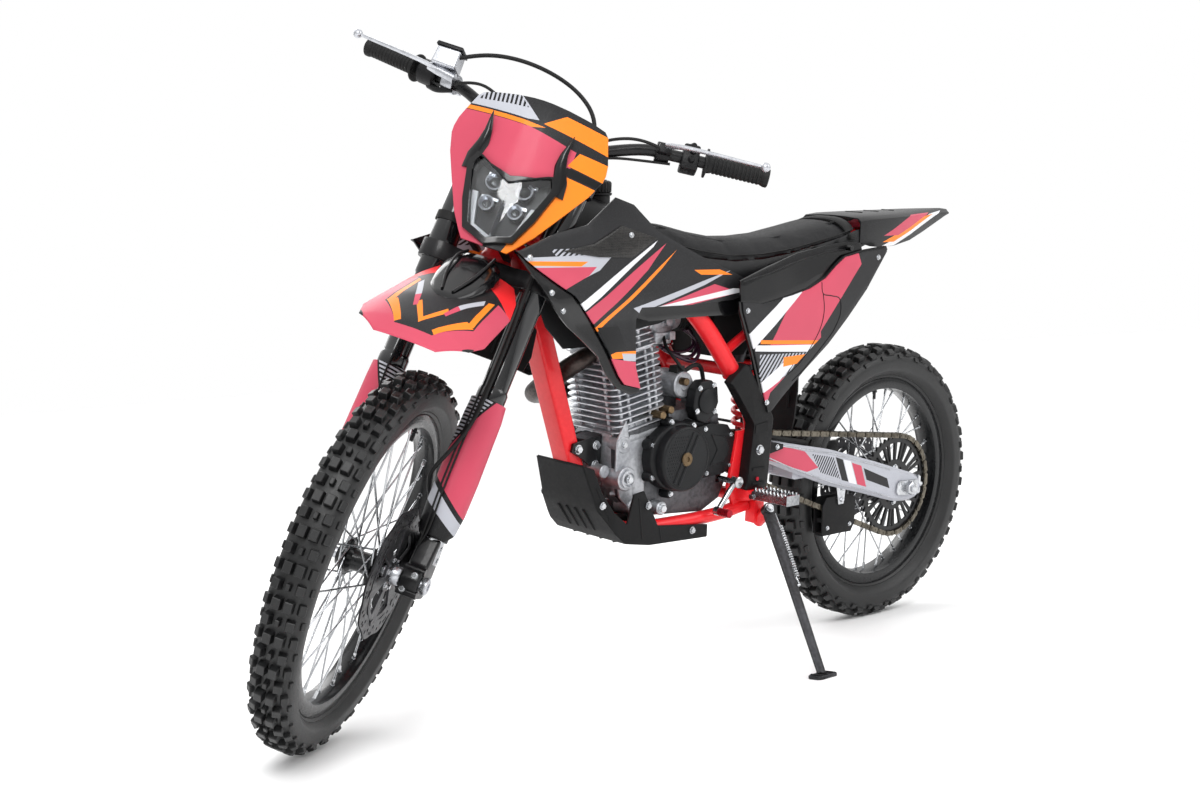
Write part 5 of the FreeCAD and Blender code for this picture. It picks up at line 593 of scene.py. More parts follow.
@dataclass(frozen=True)
class Livery:
    """A moulded panel with a pattern of flat shapes in colours.

    Args:
        name: the finish's name.
        base: the panel's own colour.
        axes: the axes that the pattern is drawn along.
        across: which of the axes run across and up the pattern.
        patches: the shapes, the later over the earlier.
        gloss: the panel's roughness.
        coat: the weight of the clear film.
    """

    name: str
    base: Tone
    axes: Axes
    across: tuple[int, int]
    patches: tuple[Patch, ...]
    gloss: float = 0.36
    coat: float = 0.16

    def _plan(self, maker: Maker) -> Value:
        """The point's place in the pattern, with a one for the offsets of the shapes' edges.

        Args:
            maker: the material.

        Returns:
            The place, in millimetres.
        """
        inverse = self.axes.matrix.inverted()
        place = maker.place()
        parts = []
        for row in self.across:
            way = Vector(inverse[row][:3])
            parts.append(maker.along(place, way) * 1000.0 + inverse[row][3] * 1000.0)
        return maker.value("ShaderNodeCombineXYZ", None, {0: parts[0], 1: parts[1], 2: 1.0})

    def _inside(self, maker: Maker, plan: Value, corners: Sequence[tuple[float, float]]) -> Value:
        """One inside the corners' shape and zero outside it.

        Args:
            maker: the material.
            plan: the point's place in the pattern.
            corners: the shape's corners.

        Returns:
            The mask.
        """
        least = None
        area = sum(a[0] * b[1] - a[1] * b[0] for a, b in zip(corners, (*corners[1:], corners[0])))
        for (x0, y0), (x1, y1) in zip(corners, (*corners[1:], corners[0])):
            across = Vector((y0 - y1, x1 - x0)) * (1.0 if area > 0 else -1.0)
            across.normalize()
            edge = maker.along(plan, Vector((across.x, across.y, -(across.x * x0 + across.y * y0))))
            least = edge if least is None else least.least(edge)
        return least > 0.0

    def material(self) -> bpy.types.Material:
        """The panel as a material, made once and kept under its name."""
        if self.name in bpy.data.materials:
            return bpy.data.materials[self.name]
        maker = Maker(self.name)
        plan = self._plan(maker)
        speckle = maker.ramp(maker.noise(900.0, 1.0), 0.52, 0.7)
        drift = maker.noise(9.0, 2.0)
        colour: object = maker.mix(speckle * 0.35, self.base.value, shade("4a4a4e"))
        for patch in self.patches:
            mask = self._inside(maker, plan, patch.corners)
            if patch.hatch is not None:
                rate, angle = patch.hatch
                way = Vector((math.cos(math.radians(angle)) * rate, math.sin(math.radians(angle)) * rate,
                              0.0))
                mask = mask * (maker.along(plan, way).part() < 0.5)
            colour = maker.mix(mask, colour, patch.tone.value)
        colour = maker.mix(maker.ramp(drift, 0.3, 0.8) * 0.08, colour, shade("000000"))
        grain = maker.noise(1100.0, 2.0)
        maker.set(Base_Color=colour, Coat_Weight=self.coat, Coat_Roughness=0.18, Specular_IOR_Level=0.24)
        maker.set(Roughness=maker.ramp(grain, 0.3, 0.7) * 0.12 + self.gloss)
        maker.bump(grain, 0.00008)
        return maker.material


# Patterns on the panels

def mirrored(patch: Patch, left: int = 1) -> tuple[Patch, Patch]:
    """A patch on the left and the same one on the right.

    Args:
        patch: the patch on the left.
        left: which of its numbers points left.

    Returns:
        Both patches.
    """
    other = tuple((-a, b) if left == 0 else (a, -b) for a, b in patch.corners)
    return patch, Patch(patch.tone, other, patch.hatch)


SHROUD_LIVERY = Livery("shroud_panel", Tone.CHARCOAL, BIKE, (0, 2), (
    Patch(Tone.SILVER, ((1212, 876), (1110, 776), (1000, 846), (900, 874))),
    Patch(Tone.PINK, ((1184, 858), (1108, 788), (1030, 838), (985, 852))),
    Patch(Tone.ORANGE, ((1198, 870), (1190, 862), (1050, 855), (1030, 863))),
    Patch(Tone.WHITE, ((1092, 774), (1074, 761), (840, 884), (826, 896))),
    Patch(Tone.PINK, ((1070, 760), (1040, 738), (860, 842), (800, 890))),
    Patch(Tone.ORANGE, ((1032, 734), (1024, 728), (820, 842), (770, 876))),
    Patch(Tone.SILVER, ((910, 772), (893, 762), (690, 806), (600, 832))),
    Patch(Tone.PINK, ((880, 762), (860, 756), (580, 786), (660, 806))),
    Patch(Tone.WHITE, ((850, 770), (830, 764), (530, 790), (600, 795))),
    Patch(Tone.ORANGE, ((720, 836), (700, 826), (600, 822), (640, 834))),
    Patch(Tone.SILVER, ((1130, 888), (1110, 870), (1000, 876), (985, 888)), (0.12, 60.0)),
    Patch(Tone.ORANGE, ((980, 694), (974, 682), (900, 678), (900, 692))),
    Patch(Tone.SILVER, ((946, 690), (943, 676), (900, 672), (900, 686))),
    Patch(Tone.PINK, ((985, 684), (965, 630), (900, 615), (900, 670))),
))

PANEL_LIVERY = Livery("side_panel", Tone.CHARCOAL, BIKE, (0, 2), (
    Patch(Tone.PINK, ((520, 672), (310, 655), (215, 742), (194, 800), (232, 874), (330, 862), (430, 800))),
    Patch(Tone.WHITE, ((600, 690), (575, 665), (395, 800), (410, 822))),
    Patch(Tone.ORANGE, ((545, 690), (545, 682), (330, 668), (325, 676))),
    Patch(Tone.WHITE, ((560, 680), (560, 668), (280, 648), (262, 664))),
    Patch(Tone.SILVER, ((545, 660), (545, 575), (375, 648), (370, 654)), (0.11, 40.0)),
    Patch(Tone.WHITE, ((560, 590), (552, 550), (440, 630), (450, 650))),
    Patch(Tone.ORANGE, ((470, 650), (470, 630), (330, 640), (340, 652))),
    Patch(Tone.PINK, ((540, 575), (505, 552), (345, 640), (375, 648))),
    Patch(Tone.CHARCOAL, ((545, 496), (318, 640), (332, 692), (508, 580))),
    Patch(Tone.CHARCOAL, ((334, 628), (90, 850), (140, 905), (348, 696))),
))

SWINGARM_LIVERY = Livery("swingarm_sticker", Tone.SILVER, BIKE, (0, 2), (
    Patch(Tone.PINK, ((505, 466), (505, 442), (335, 388), (300, 394), (345, 434), (430, 456))),
    Patch(Tone.CHARCOAL, ((322, 426), (292, 382), (228, 362), (252, 412)), (0.14, 30.0)),
    Patch(Tone.CHARCOAL, ((246, 412), (222, 358), (200, 352), (222, 404))),
    Patch(Tone.WHITE, ((220, 404), (198, 350), (172, 343), (196, 398))),
    Patch(Tone.PINK, ((192, 394), (170, 343), (140, 334), (160, 384))),
    Patch(Tone.CHARCOAL, ((152, 378), (140, 350), (60, 322), (70, 346))),
), gloss=0.32)

TAIL_LIVERY = Livery("tail_panel", Tone.BLACK, BIKE, (0, 2), (
    Patch(Tone.WHITE, ((112, 866), (60, 868), (-190, 940), (-120, 934))),
    Patch(Tone.ORANGE, ((104, 876), (60, 876), (-140, 934), (-60, 926))),
    Patch(Tone.PINK, ((100, 890), (40, 890), (-120, 937), (-20, 934))),
), gloss=0.3)

MASK_LIVERY = Livery("mask_panel", Tone.CHARCOAL, FORK, (1, 2), (
    Patch(Tone.PINK, ((-170, 838), (-170, 570), (0, 570), (0, 828))),
    Patch(Tone.PINK, ((-10, 830), (-10, 700), (90, 700), (90, 815))),
    Patch(Tone.ORANGE, ((-160, 847), (-160, 839), (0, 829), (24, 836))),
    Patch(Tone.SILVER, ((-150, 850), (-122, 896), (-56, 896), (8, 846), (-14, 842))),
    Patch(Tone.BLACK, ((-124, 862), (-104, 897), (-58, 897), (-20, 864)), (0.115, 12.0)),
    Patch(Tone.ORANGE, ((18, 842), (50, 872), (160, 866), (160, 832))),
    Patch(Tone.ORANGE, ((96, 816), (84, 786), (160, 784), (160, 818))),
    Patch(Tone.BLACK, ((84, 783), (84, 768), (160, 770), (160, 782))),
    Patch(Tone.ORANGE, ((86, 766), (30, 580), (60, 570), (170, 690), (170, 766))),
), gloss=0.4, coat=0.08)

FENDER_LIVERY = Livery("fender_panel", Tone.CHARCOAL, FORK, (0, 1), (
    *mirrored(Patch(Tone.RED, ((-120, 120), (-120, 26), (118, 26), (150, 112)))),
    *mirrored(Patch(Tone.PINK, ((138, 116), (262, 124), (266, 82), (148, 76)))),
    *mirrored(Patch(Tone.PINK, ((262, 124), (344, 62), (312, 34), (254, 84)))),
    Patch(Tone.PINK, ((344, 64), (344, -64), (312, -36), (312, 36))),
    *mirrored(Patch(Tone.ORANGE, ((156, 72), (252, 78), (256, 68), (168, 64)))),
    *mirrored(Patch(Tone.ORANGE, ((254, 80), (310, 36), (304, 28), (250, 64)))),
    *mirrored(Patch(Tone.ORANGE, ((286, 0), (248, 24), (256, 30), (300, 0)))),
    *mirrored(Patch(Tone.SILVER, ((170, 58), (232, 34), (238, 42), (184, 62)))),
    *mirrored(Patch(Tone.PINK, ((232, 34), (262, 24), (266, 30), (238, 42)))),
), gloss=0.42, coat=0.05)

GUARD_LIVERY = Livery("fork_guard_panel", Tone.BLACK, FORK, (1, 2), (
    *mirrored(Patch(Tone.PINK, ((106, 356), (142, 356), (142, 126), (56, 196), (56, 262))), 0),
    *mirrored(Patch(Tone.BLACK, ((52, 356), (122, 356), (52, 222))), 0),
    *mirrored(Patch(Tone.SILVER, ((52, 356), (118, 356), (52, 230)), (0.14, 84.0)), 0),
    *mirrored(Patch(Tone.SILVER, ((56, 184), (142, 116), (142, 92), (56, 150))), 0),
), gloss=0.4, coat=0.08)


NODE_FINISH: dict[str, Finish | Clear | Livery] = {
    "main_frame": FRAME_RED,
    "rear_subframe": FRAME_RED,
    "swingarm": SWINGARM_LIVERY,
    "rear_axle": MACHINED,
    "rear_shock": DARK_STEEL,
    # painted shade on the crankcase, see its finish
    "crankcase": CASE_PAINTED_SHADE,
    "engine_covers": COVER_BLACK,
    "cylinder": FIN_ALLOY,
    "carburettor": CAST_ALLOY,
    "air_box": MATT_PLASTIC,
    "exhaust_pipe": HEADER_STEEL,
    "silencer": SILENCER_ALLOY,
    "skid_plate": MATT_PLASTIC,
    "engine_mounts": SATIN_BLACK,
    "frame_guards": MATT_PLASTIC,
    "drive_chain": CHAIN_STEEL,
    "drive_pinion": DARK_STEEL,
    "chain_guide": SATIN_PLASTIC,
    "seat": SEAT_HIDE,
    "fuel_tank": SATIN_PLASTIC,
    "tank_shrouds": SHROUD_LIVERY,
    "side_panels": PANEL_LIVERY,
    "rear_fender": TAIL_LIVERY,
    "mudflap": MATT_PLASTIC,
    "tail_lamp": TAIL_RED,
    "footpegs": PLATED,
    "foot_levers": BRIGHT_STEEL,
    "rear_caliper": SATIN_BLACK,
    "side_stand": DARK_STEEL,
    "stand_spring": BRIGHT_STEEL,
    "fork_clamps": SATIN_BLACK,
    "fork_tubes": GLOSS_PLASTIC,
    "fork_stanchions": BRIGHT_STEEL,
    "fork_guards": GUARD_LIVERY,
    "front_axle": SATIN_BLACK,
    "handlebar": SATIN_BLACK,
    "grips": SOFT_RUBBER,
    "hand_levers": MACHINED,
    "bar_controls": SATIN_PLASTIC,
    "lamp_mask": MASK_LIVERY,
    "headlamp": GLOSS_PLASTIC,
    "front_fender": FENDER_LIVERY,
    "fender_scoop": GLOSS_PLASTIC,
    "brake_hose": SOFT_RUBBER,
    "front_caliper": SATIN_BLACK,
    "front_tyre": TYRE_RUBBER,
    "front_rim": RIM_BLACK,
    "front_spokes": BRIGHT_STEEL,
    "front_disc": DARK_STEEL,
    "rear_tyre": TYRE_RUBBER,
    "rear_rim": RIM_BLACK,
    "rear_spokes": BRIGHT_STEEL,
    "rear_disc": DARK_STEEL,
    "rear_sprocket": DARK_STEEL,
}


# Stage

@dataclass
class Studio:
    """The floor, the lights and the camera.

    Args:
        eye: the camera's place, in metres.
        yaw: the camera's turn from the row frame's x, in degrees.
        pitch: its tilt above the horizon, in degrees.
        roll: its roll, in degrees.
        lens: its focal length over a sensor 36 mm wide.
        floor_size: the floor's half width, in metres.
    """

    eye: tuple[float, float, float] = (2.44434, 2.44333, 0.69019)
    yaw: float = -132.366
    pitch: float = -2.054
    roll: float = -4.085
    lens: float = 52.12
    floor_size: float = 30.0

    def camera(self) -> None:
        """Sets the camera at the photograph's angle."""
        yaw, pitch, roll = (math.radians(a) for a in (self.yaw, self.pitch, self.roll))
        ahead = Vector((math.cos(yaw) * math.cos(pitch), math.sin(yaw) * math.cos(pitch), math.sin(pitch)))
        right = ahead.cross(Vector((0, 0, 1))).normalized()
        above = right.cross(ahead)
        side = right * math.cos(roll) + above * math.sin(roll)
        top = above * math.cos(roll) - right * math.sin(roll)
        data = bpy.data.cameras.new("camera")
        data.lens = self.lens
        data.sensor_width = 36.0
        data.clip_start = 0.05
        data.clip_end = 200.0
        camera = added("camera", data)
        camera.matrix_world = Matrix((
            (side.x, top.x, -ahead.x, self.eye[0]), (side.y, top.y, -ahead.y, self.eye[1]),
            (side.z, top.z, -ahead.z, self.eye[2]), (0, 0, 0, 1),
        ))
        bpy.context.scene.camera = camera

    def lamp(self, name: str, place: tuple, aim: tuple, size: float, power: float) -> None:
        """Adds a square soft light.

        Args:
            name: the light's name.
            place: where it is, in metres.
            aim: the point that it faces.
            size: its side.
            power: its power in watts.
        """
        data = bpy.data.lights.new(name, "AREA")
        data.size = size
        data.energy = power
        lamp = added(name, data)
        lamp.location = place
        lamp.rotation_euler = (Vector(aim) - Vector(place)).to_track_quat("-Z", "Y").to_euler()

    def floor(self) -> None:
        """Lays a pale floor that fades into the white round it."""
        half = self.floor_size
        mesh = bpy.data.meshes.new("floor")
        mesh.from_pydata([(-half, -half, 0), (half, -half, 0), (half, half, 0), (-half, half, 0)], [],
                         [(0, 1, 2, 3)])
        maker = Maker("pale_floor")
        cloud = maker.noise(3.0, 4.0)
        maker.set(Base_Color=maker.mix(cloud * 0.05, shade("fafafa"), shade("f0f0f0")))
        maker.set(Roughness=cloud * 0.1 + 0.7, Specular_IOR_Level=0.1)
        away = maker.ramp(maker.value("ShaderNodeVectorMath", {"operation": "LENGTH"}, {0: maker.place()}),
                          1.4, 3.4)
        tree = maker.material.node_tree
        white = maker.node("ShaderNodeEmission", None, {"Color": shade("ffffff"), "Strength": 1.0})
        blend = maker.node("ShaderNodeMixShader")
        tree.links.new(away.socket, blend.inputs[0])
        tree.links.new(tree.nodes["Principled BSDF"].outputs[0], blend.inputs[1])
        tree.links.new(white.outputs[0], blend.inputs[2])
        tree.links.new(blend.outputs[0], tree.nodes["Material Output"].inputs[0])
        mesh.materials.append(maker.material)
        floor = added("floor", mesh)

    def world(self) -> None:
        """Gives the pale surroundings."""
        world = bpy.data.worlds.new("studio")
        world.use_nodes = True
        tree = world.node_tree
        soft = tree.nodes["Background"]
        place = tree.nodes.new("ShaderNodeTexCoord")
        parts = tree.nodes.new("ShaderNodeSeparateXYZ")
        ramp = tree.nodes.new("ShaderNodeMapRange")
        for index, value in ((1, -0.1), (2, 0.8), (3, 0.42), (4, 1.25)):
            ramp.inputs[index].default_value = value
        tree.links.new(place.outputs["Generated"], parts.inputs[0])
        tree.links.new(parts.outputs[2], ramp.inputs[0])
        tree.links.new(ramp.outputs[0], soft.inputs[1])
        soft.inputs[0].default_value = (1.0, 1.0, 1.0, 1.0)
        plain = tree.nodes.new("ShaderNodeBackground")
        plain.inputs[0].default_value = (1.0, 1.0, 1.0, 1.0)
        seen = tree.nodes.new("ShaderNodeLightPath")
        blend = tree.nodes.new("ShaderNodeMixShader")
        tree.links.new(seen.outputs["Is Camera Ray"], blend.inputs[0])
        tree.links.new(soft.outputs[0], blend.inputs[1])
        tree.links.new(plain.outputs[0], blend.inputs[2])
        tree.links.new(blend.outputs[0], tree.nodes["World Output"].inputs[0])
        bpy.context.scene.world = world

    def build(self) -> None:
        """Sets up the whole studio."""
        self.camera()
        self.floor()
        self.world()
        self.lamp("key", (2.8, 2.6, 3.6), (0, 0, 0.5), 1.8, 110)
        self.lamp("fill", (-2.6, 3.4, 2.6), (0, 0, 0.5), 2.4, 50)
        self.lamp("rim", (-1.0, -3.2, 3.0), (0, 0, 0.6), 2.4, 60)
        bpy.context.scene.view_settings.view_transform = "Standard"


# Making pieces

def dress_nodes() -> None:
    """Gives every CAD node its finish in each of its material slots."""
    for name, node in frame["nodes"].items():
        material = NODE_FINISH[name].material()
        if not node.material_slots:
            node.data.materials.append(material)
        for slot in node.material_slots:
            slot.material = material
        LOG.info("node %s dressed as %s", name, material.name)


class Form:
    """A mesh in the making, in millimetres along its own axes."""

    def __init__(self) -> None:
        """Starts with nothing in it."""
        self.bm = bmesh.new()

    def _faces(self, points: Sequence[Sequence[float]], loops: Iterable[Sequence[int]]) -> list:
        """Adds points and the faces between them.

        Args:
            points: the corners.
            loops: each face's corners by number.

        Returns:
            The new faces.
        """
        verts = [self.bm.verts.new(point) for point in points]
        return [self.bm.faces.new([verts[i] for i in loop]) for loop in loops]

    def loft(self, rings: Sequence[Sequence[Sequence[float]]], caps: bool = True,
             closed: bool = False) -> Form:
        """Joins rings of as many points each.

        Args:
            rings: the rings in order.
            caps: whether the two ends are closed by a face.
            closed: whether the last ring joins the first.

        Returns:
            This form.
        """
        count = len(rings[0])
        points = [point for ring in rings for point in ring]
        loops = []
        for row in range(len(rings) if closed else len(rings) - 1):
            near, far = row * count, (row + 1) % len(rings) * count
            for i in range(count):
                j = (i + 1) % count
                loops.append((near + i, near + j, far + j, far + i))
        if caps and not closed:
            loops.append(tuple(reversed(range(count))))
            loops.append(tuple(range(len(points) - count, len(points))))
        self._faces(points, loops)
        return self

    def lathe(self, profile: Sequence[tuple[float, float]], sides: int, ringed: bool = False) -> Form:
        """Turns a profile about the y axis.

        Args:
            profile: (radius, y) pairs.
            sides: how many steps go round.
            ringed: whether the profile closes on itself, else its ends are capped.

        Returns:
            This form.
        """
        rings = []
        for radius, y in profile:
            steps = (2 * math.pi * i / sides for i in range(sides))
            rings.append([(radius * math.sin(a), y, radius * math.cos(a)) for a in steps])
        return self.loft(rings, caps=not ringed, closed=ringed)

    def box(self, low: Sequence[float], high: Sequence[float], taper: float = 1.0) -> Form:
        """Adds a block whose top is narrower by the taper.

        Args:
            low: its lowest corner.
            high: its highest corner.
            taper: the top's share of the bottom's width and length.

        Returns:
            This form.
        """
        cx, cy = (low[0] + high[0]) / 2, (low[1] + high[1]) / 2
        rings = []
        for z, share in ((low[2], 1.0), (high[2], taper)):
            hx, hy = (high[0] - low[0]) / 2 * share, (high[1] - low[1]) / 2 * share
            rings.append([(cx - hx, cy - hy, z), (cx + hx, cy - hy, z), (cx + hx, cy + hy, z),
                          (cx - hx, cy + hy, z)])
        return self.loft(rings)

    def rod(self, start: Sequence[float], end: Sequence[float], radius: float, sides: int) -> Form:
        """Adds a straight round bar.

        Args:
            start: its first end.
            end: its other end.
            radius: its radius.
            sides: how many flats go round it.

        Returns:
            This form.
        """
        return self.pipe([start, end], radius, sides)

    def pipe(self, points: Sequence[Sequence[float]], radius: float | Sequence[float], sides: int,
             squash: float = 1.0) -> Form:
        """Adds a tube along a line of points.

        Args:
            points: the line.
            radius: its radius, or one for each point.
            sides: how many flats go round it.
            squash: its height's share of its width.

        Returns:
            This form.
        """
        line = [Vector(point) for point in points]
        radii = [radius] * len(line) if isinstance(radius, (int, float)) else list(radius)
        normal = None
        rings = []
        for i, point in enumerate(line):
            way = (line[min(i + 1, len(line) - 1)] - line[max(i - 1, 0)]).normalized()
            if normal is None:
                normal = way.orthogonal().normalized()
                if abs(way.z) < 0.9:
                    normal = (Vector((0, 0, 1)) - way * way.z).normalized()
            normal = (normal - way * normal.dot(way)).normalized()
            side = way.cross(normal)
            ring = []
            for k in range(sides):
                a = 2 * math.pi * k / sides
                ring.append(point + normal * math.cos(a) * radii[i] * squash + side * math.sin(a) * radii[i])
            rings.append(ring)
        return self.loft(rings)

    def prism(self, outline: Sequence[tuple[float, float]], near: float, far: float,
              across: str = "xz") -> Form:
        """Gives an outline depth.

        Args:
            outline: its corners.
            near: one face's place along the third axis.
            far: the other face's place.
            across: the axes that the outline is drawn along.

        Returns:
            This form.
        """
        third = next(axis for axis in "xyz" if axis not in across)
        rings = []
        for depth in (near, far):
            ring = []
            for first, second in outline:
                place = {across[0]: first, across[1]: second, third: depth}
                ring.append((place["x"], place["y"], place["z"]))
            rings.append(ring)
        return self.loft(rings)

    def sheet(self, outline: Sequence[tuple[float, float]], holes: Sequence[Sequence[tuple[float, float]]],
              depth: Callable[[float, float], float], wall: float, across: str = "xz", fine: int = 0) -> Form:
        """Adds a plate with holes that follows a curved face.

        Args:
            outline: its corners.
            holes: the holes' corners.
            depth: the outer face's place along the third axis at each place.
            wall: its thickness, towards lower places along the third axis.
            across: the axes that it is drawn along.
            fine: how often its edges are halved.

        Returns:
            This form.
        """
        flat = bmesh.new()
        edges = []
        for loop in (outline, *holes):
            verts = [flat.verts.new((first, second, 0.0)) for first, second in loop]
            edges += [flat.edges.new((verts[i], verts[(i + 1) % len(verts)])) for i in range(len(verts))]
        bmesh.ops.triangle_fill(flat, use_beauty=True, use_dissolve=False, edges=edges)
        for _ in range(fine):
            bmesh.ops.subdivide_edges(flat, edges=flat.edges[:], cuts=1, use_grid_fill=True)
            bmesh.ops.triangulate(flat, faces=flat.faces[:])
        third = next(axis for axis in "xyz" if axis not in across)
        faces = [[(v.co.x, v.co.y) for v in face.verts] for face in flat.faces]
        rim = [[(v.co.x, v.co.y) for v in edge.verts] for edge in flat.edges if len(edge.link_faces) == 1]
        flat.free()
        cache: dict[tuple[float, float, int], bmesh.types.BMVert] = {}

        def corner(point: tuple[float, float], layer: int) -> bmesh.types.BMVert:
            """The sheet's corner at a place, on the outer face (0) or the inner (1)."""
            key = (round(point[0], 4), round(point[1], 4), layer)
            if key not in cache:
                place = {across[0]: point[0], across[1]: point[1], third: depth(*point) - wall * layer}
                cache[key] = self.bm.verts.new((place["x"], place["y"], place["z"]))
            return cache[key]

        for face in faces:
            self.bm.faces.new([corner(point, 0) for point in face])
            self.bm.faces.new([corner(point, 1) for point in reversed(face)])
        for first, second in rim:
            self.bm.faces.new([corner(first, 0), corner(first, 1), corner(second, 1), corner(second, 0)])
        return self

    def bevel(self, width: float, segments: int = 2, angle: float = 32.0) -> Form:
        """Rounds the edges that are sharper than the angle.

        Args:
            width: the rounding's width.
            segments: its steps.
            angle: the least angle between an edge's faces, in degrees.

        Returns:
            This form.
        """
        self.tidy()
        least = math.radians(angle)
        sharp = [e for e in self.bm.edges if len(e.link_faces) == 2 and e.calc_face_angle(0.0) > least]
        bmesh.ops.bevel(self.bm, geom=sharp, offset=width, offset_type="OFFSET", segments=segments,
                        profile=0.6, affect="EDGES", clamp_overlap=True)
        return self

    def tidy(self) -> Form:
        """Merges doubles and turns the faces outwards."""
        bmesh.ops.remove_doubles(self.bm, verts=self.bm.verts[:], dist=0.001)
        bmesh.ops.recalc_face_normals(self.bm, faces=self.bm.faces[:])
        return self

    def turned(self, matrix: Matrix) -> Form:
        """Moves all of it by a matrix whose offsets are in millimetres."""
        self.bm.transform(matrix)
        return self

    def join(self, other: Form, matrix: Matrix | None = None, mirror: bool = False) -> Form:
        """Adds a copy of another form.

        Args:
            other: the other form.
            matrix: where the copy goes.
            mirror: whether it is mirrored across y.

        Returns:
            This form.
        """
        mesh = bpy.data.meshes.new("part")
        other.bm.to_mesh(mesh)
        place = matrix or Matrix.Identity(4)
        if mirror:
            place = Matrix.Diagonal((1.0, -1.0, 1.0, 1.0)) @ place
        mesh.transform(place)
        if mirror:
            mesh.flip_normals()
        self.bm.from_mesh(mesh)
        bpy.data.meshes.remove(mesh)
        return self

    def both(self) -> Form:
        """Adds its mirror image across y."""
        other = Form()
        other.join(self)
        return self.join(other, mirror=True)

    def mesh(self, name: str, axes: Axes, smooth: float = 35.0) -> bpy.types.Mesh:
        """The finished mesh in the row frame, which ends the form.

        Args:
            name: the mesh's name.
            axes: the axes that it was drawn along.
            smooth: the angle up to which edges shade smooth, in degrees.

        Returns:
            The mesh.
        """
        self.tidy()
        mesh = bpy.data.meshes.new(name)
        self.bm.to_mesh(mesh)
        self.bm.free()
        mesh.transform(axes.matrix @ Matrix.Scale(MM, 4))
        soften(mesh, smooth)
        return mesh


def soften(mesh: bpy.types.Mesh, angle: float) -> None:
    """Shades a mesh smooth across its flatter edges.

    Args:
        mesh: the mesh.
        angle: the angle at which an edge stays sharp, in degrees.
    """
    mesh.polygons.foreach_set("use_smooth", [True] * len(mesh.polygons))
    mesh.set_sharp_from_angle(angle=math.radians(angle))
    mesh.update()


def piece(name: str, mesh: bpy.types.Mesh, body: str, finish: Finish | Clear | Livery,
          stands_for: Sequence[str] = ()) -> bpy.types.Object:
    """Makes a finished piece that rides on a body.

    Args:
        name: the piece's name.
        mesh: its mesh in the row frame.
        body: the body that it rides on.
        finish: its finish.
        stands_for: the CAD nodes that it replaces.

    Returns:
        The piece.
    """
    mesh.materials.clear()
    mesh.materials.append(finish.material())
    made = added(name, mesh)
    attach(made, body)
    if stands_for:
        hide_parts(*stands_for)
    return made


@dataclass(frozen=True)
class Carrier:
    """A body of the record with the axes that its pieces are drawn along.

    Args:
        body: the body that the pieces ride on.
        axes: their axes.
    """

    body: str
    axes: Axes

    def piece(self, name: str, form: Form, finish: Finish | Clear | Livery, slot: str, *stands_for: str,
              smooth: float = 40.0) -> bpy.types.Object:
        """Makes a finished piece of a form.

        Args:
            name: the piece's name.
            form: its shape, which this uses up.
            finish: its finish.
            stands_for: the CAD nodes that it replaces.
            smooth: the angle up to which edges shade smooth, in degrees.

        Returns:
            The piece.
        """
        return piece(name, form.mesh(name, self.axes, smooth), self.body, finish, stands_for)

    def bolts(self, name: str, places: Sequence[tuple[tuple, tuple, float]]) -> bpy.types.Object:
        """Makes bright bolt heads as one piece.

        Args:
            name: the piece's name.
            places: each head's foot, the way that it stands, and its radius.

        Returns:
            The piece.
        """
        shape = hidden_shape(name + "_head", hex_bolt())
        points = spots([(Vector(p), Vector(w).normalized(), r) for p, w, r in places])
        mesh = repeated(Repeats.SPOTS, name, points, self.axes, BRIGHT_STEEL, 30.0, Shape=shape)
        bpy.data.objects.remove(shape)
        return piece(name, mesh, self.body, BRIGHT_STEEL)


CHASSIS = Carrier("chassis", BIKE)
MOTOR = Carrier("chassis", ENGINE)
STEERING = Carrier("steering", FORK)
STAND = Carrier("side_stand", BIKE)


def scaled(outline: Sequence[tuple[float, float]], middle: tuple[float, float],
           share: float) -> list[tuple[float, float]]:
    """An outline made larger or smaller about a middle.

    Args:
        outline: its corners.
        middle: the place that stays.
        share: the new size's share of the old one.

    Returns:
        The new corners.
    """
    a, b = middle
    return [(a + (x - a) * share, b + (z - b) * share) for x, z in outline]


def mirrored_half(half: Sequence[tuple[float, float]]) -> list[tuple[float, float]]:
    """The whole outline from its left half, as (forward, left) pairs."""
    return [*half, *[(x, -y) for x, y in reversed(half) if y > 0]]


def smooth_line(points: Sequence[Sequence[float]], steps: int) -> list[Vector]:
    """Points along a smooth line through the given ones.

    Args:
        points: the places that it goes through.
        steps: how many steps lie between two of them.

    Returns:
        The line's points.
    """
    given = [Vector(point) for point in points]
    ends = [given[0] * 2 - given[1], *given, given[-1] * 2 - given[-2]]
    line = []
    for a, b, c, d in zip(ends, ends[1:], ends[2:], ends[3:]):
        for step in range(steps):
            t = step / steps
            line.append(0.5 * (2 * b + (c - a) * t + (2 * a - 5 * b + 4 * c - d) * t * t
                               + (3 * b - a - 3 * c + d) * t ** 3))
    return line + [given[-1]]


# Geometry Nodes

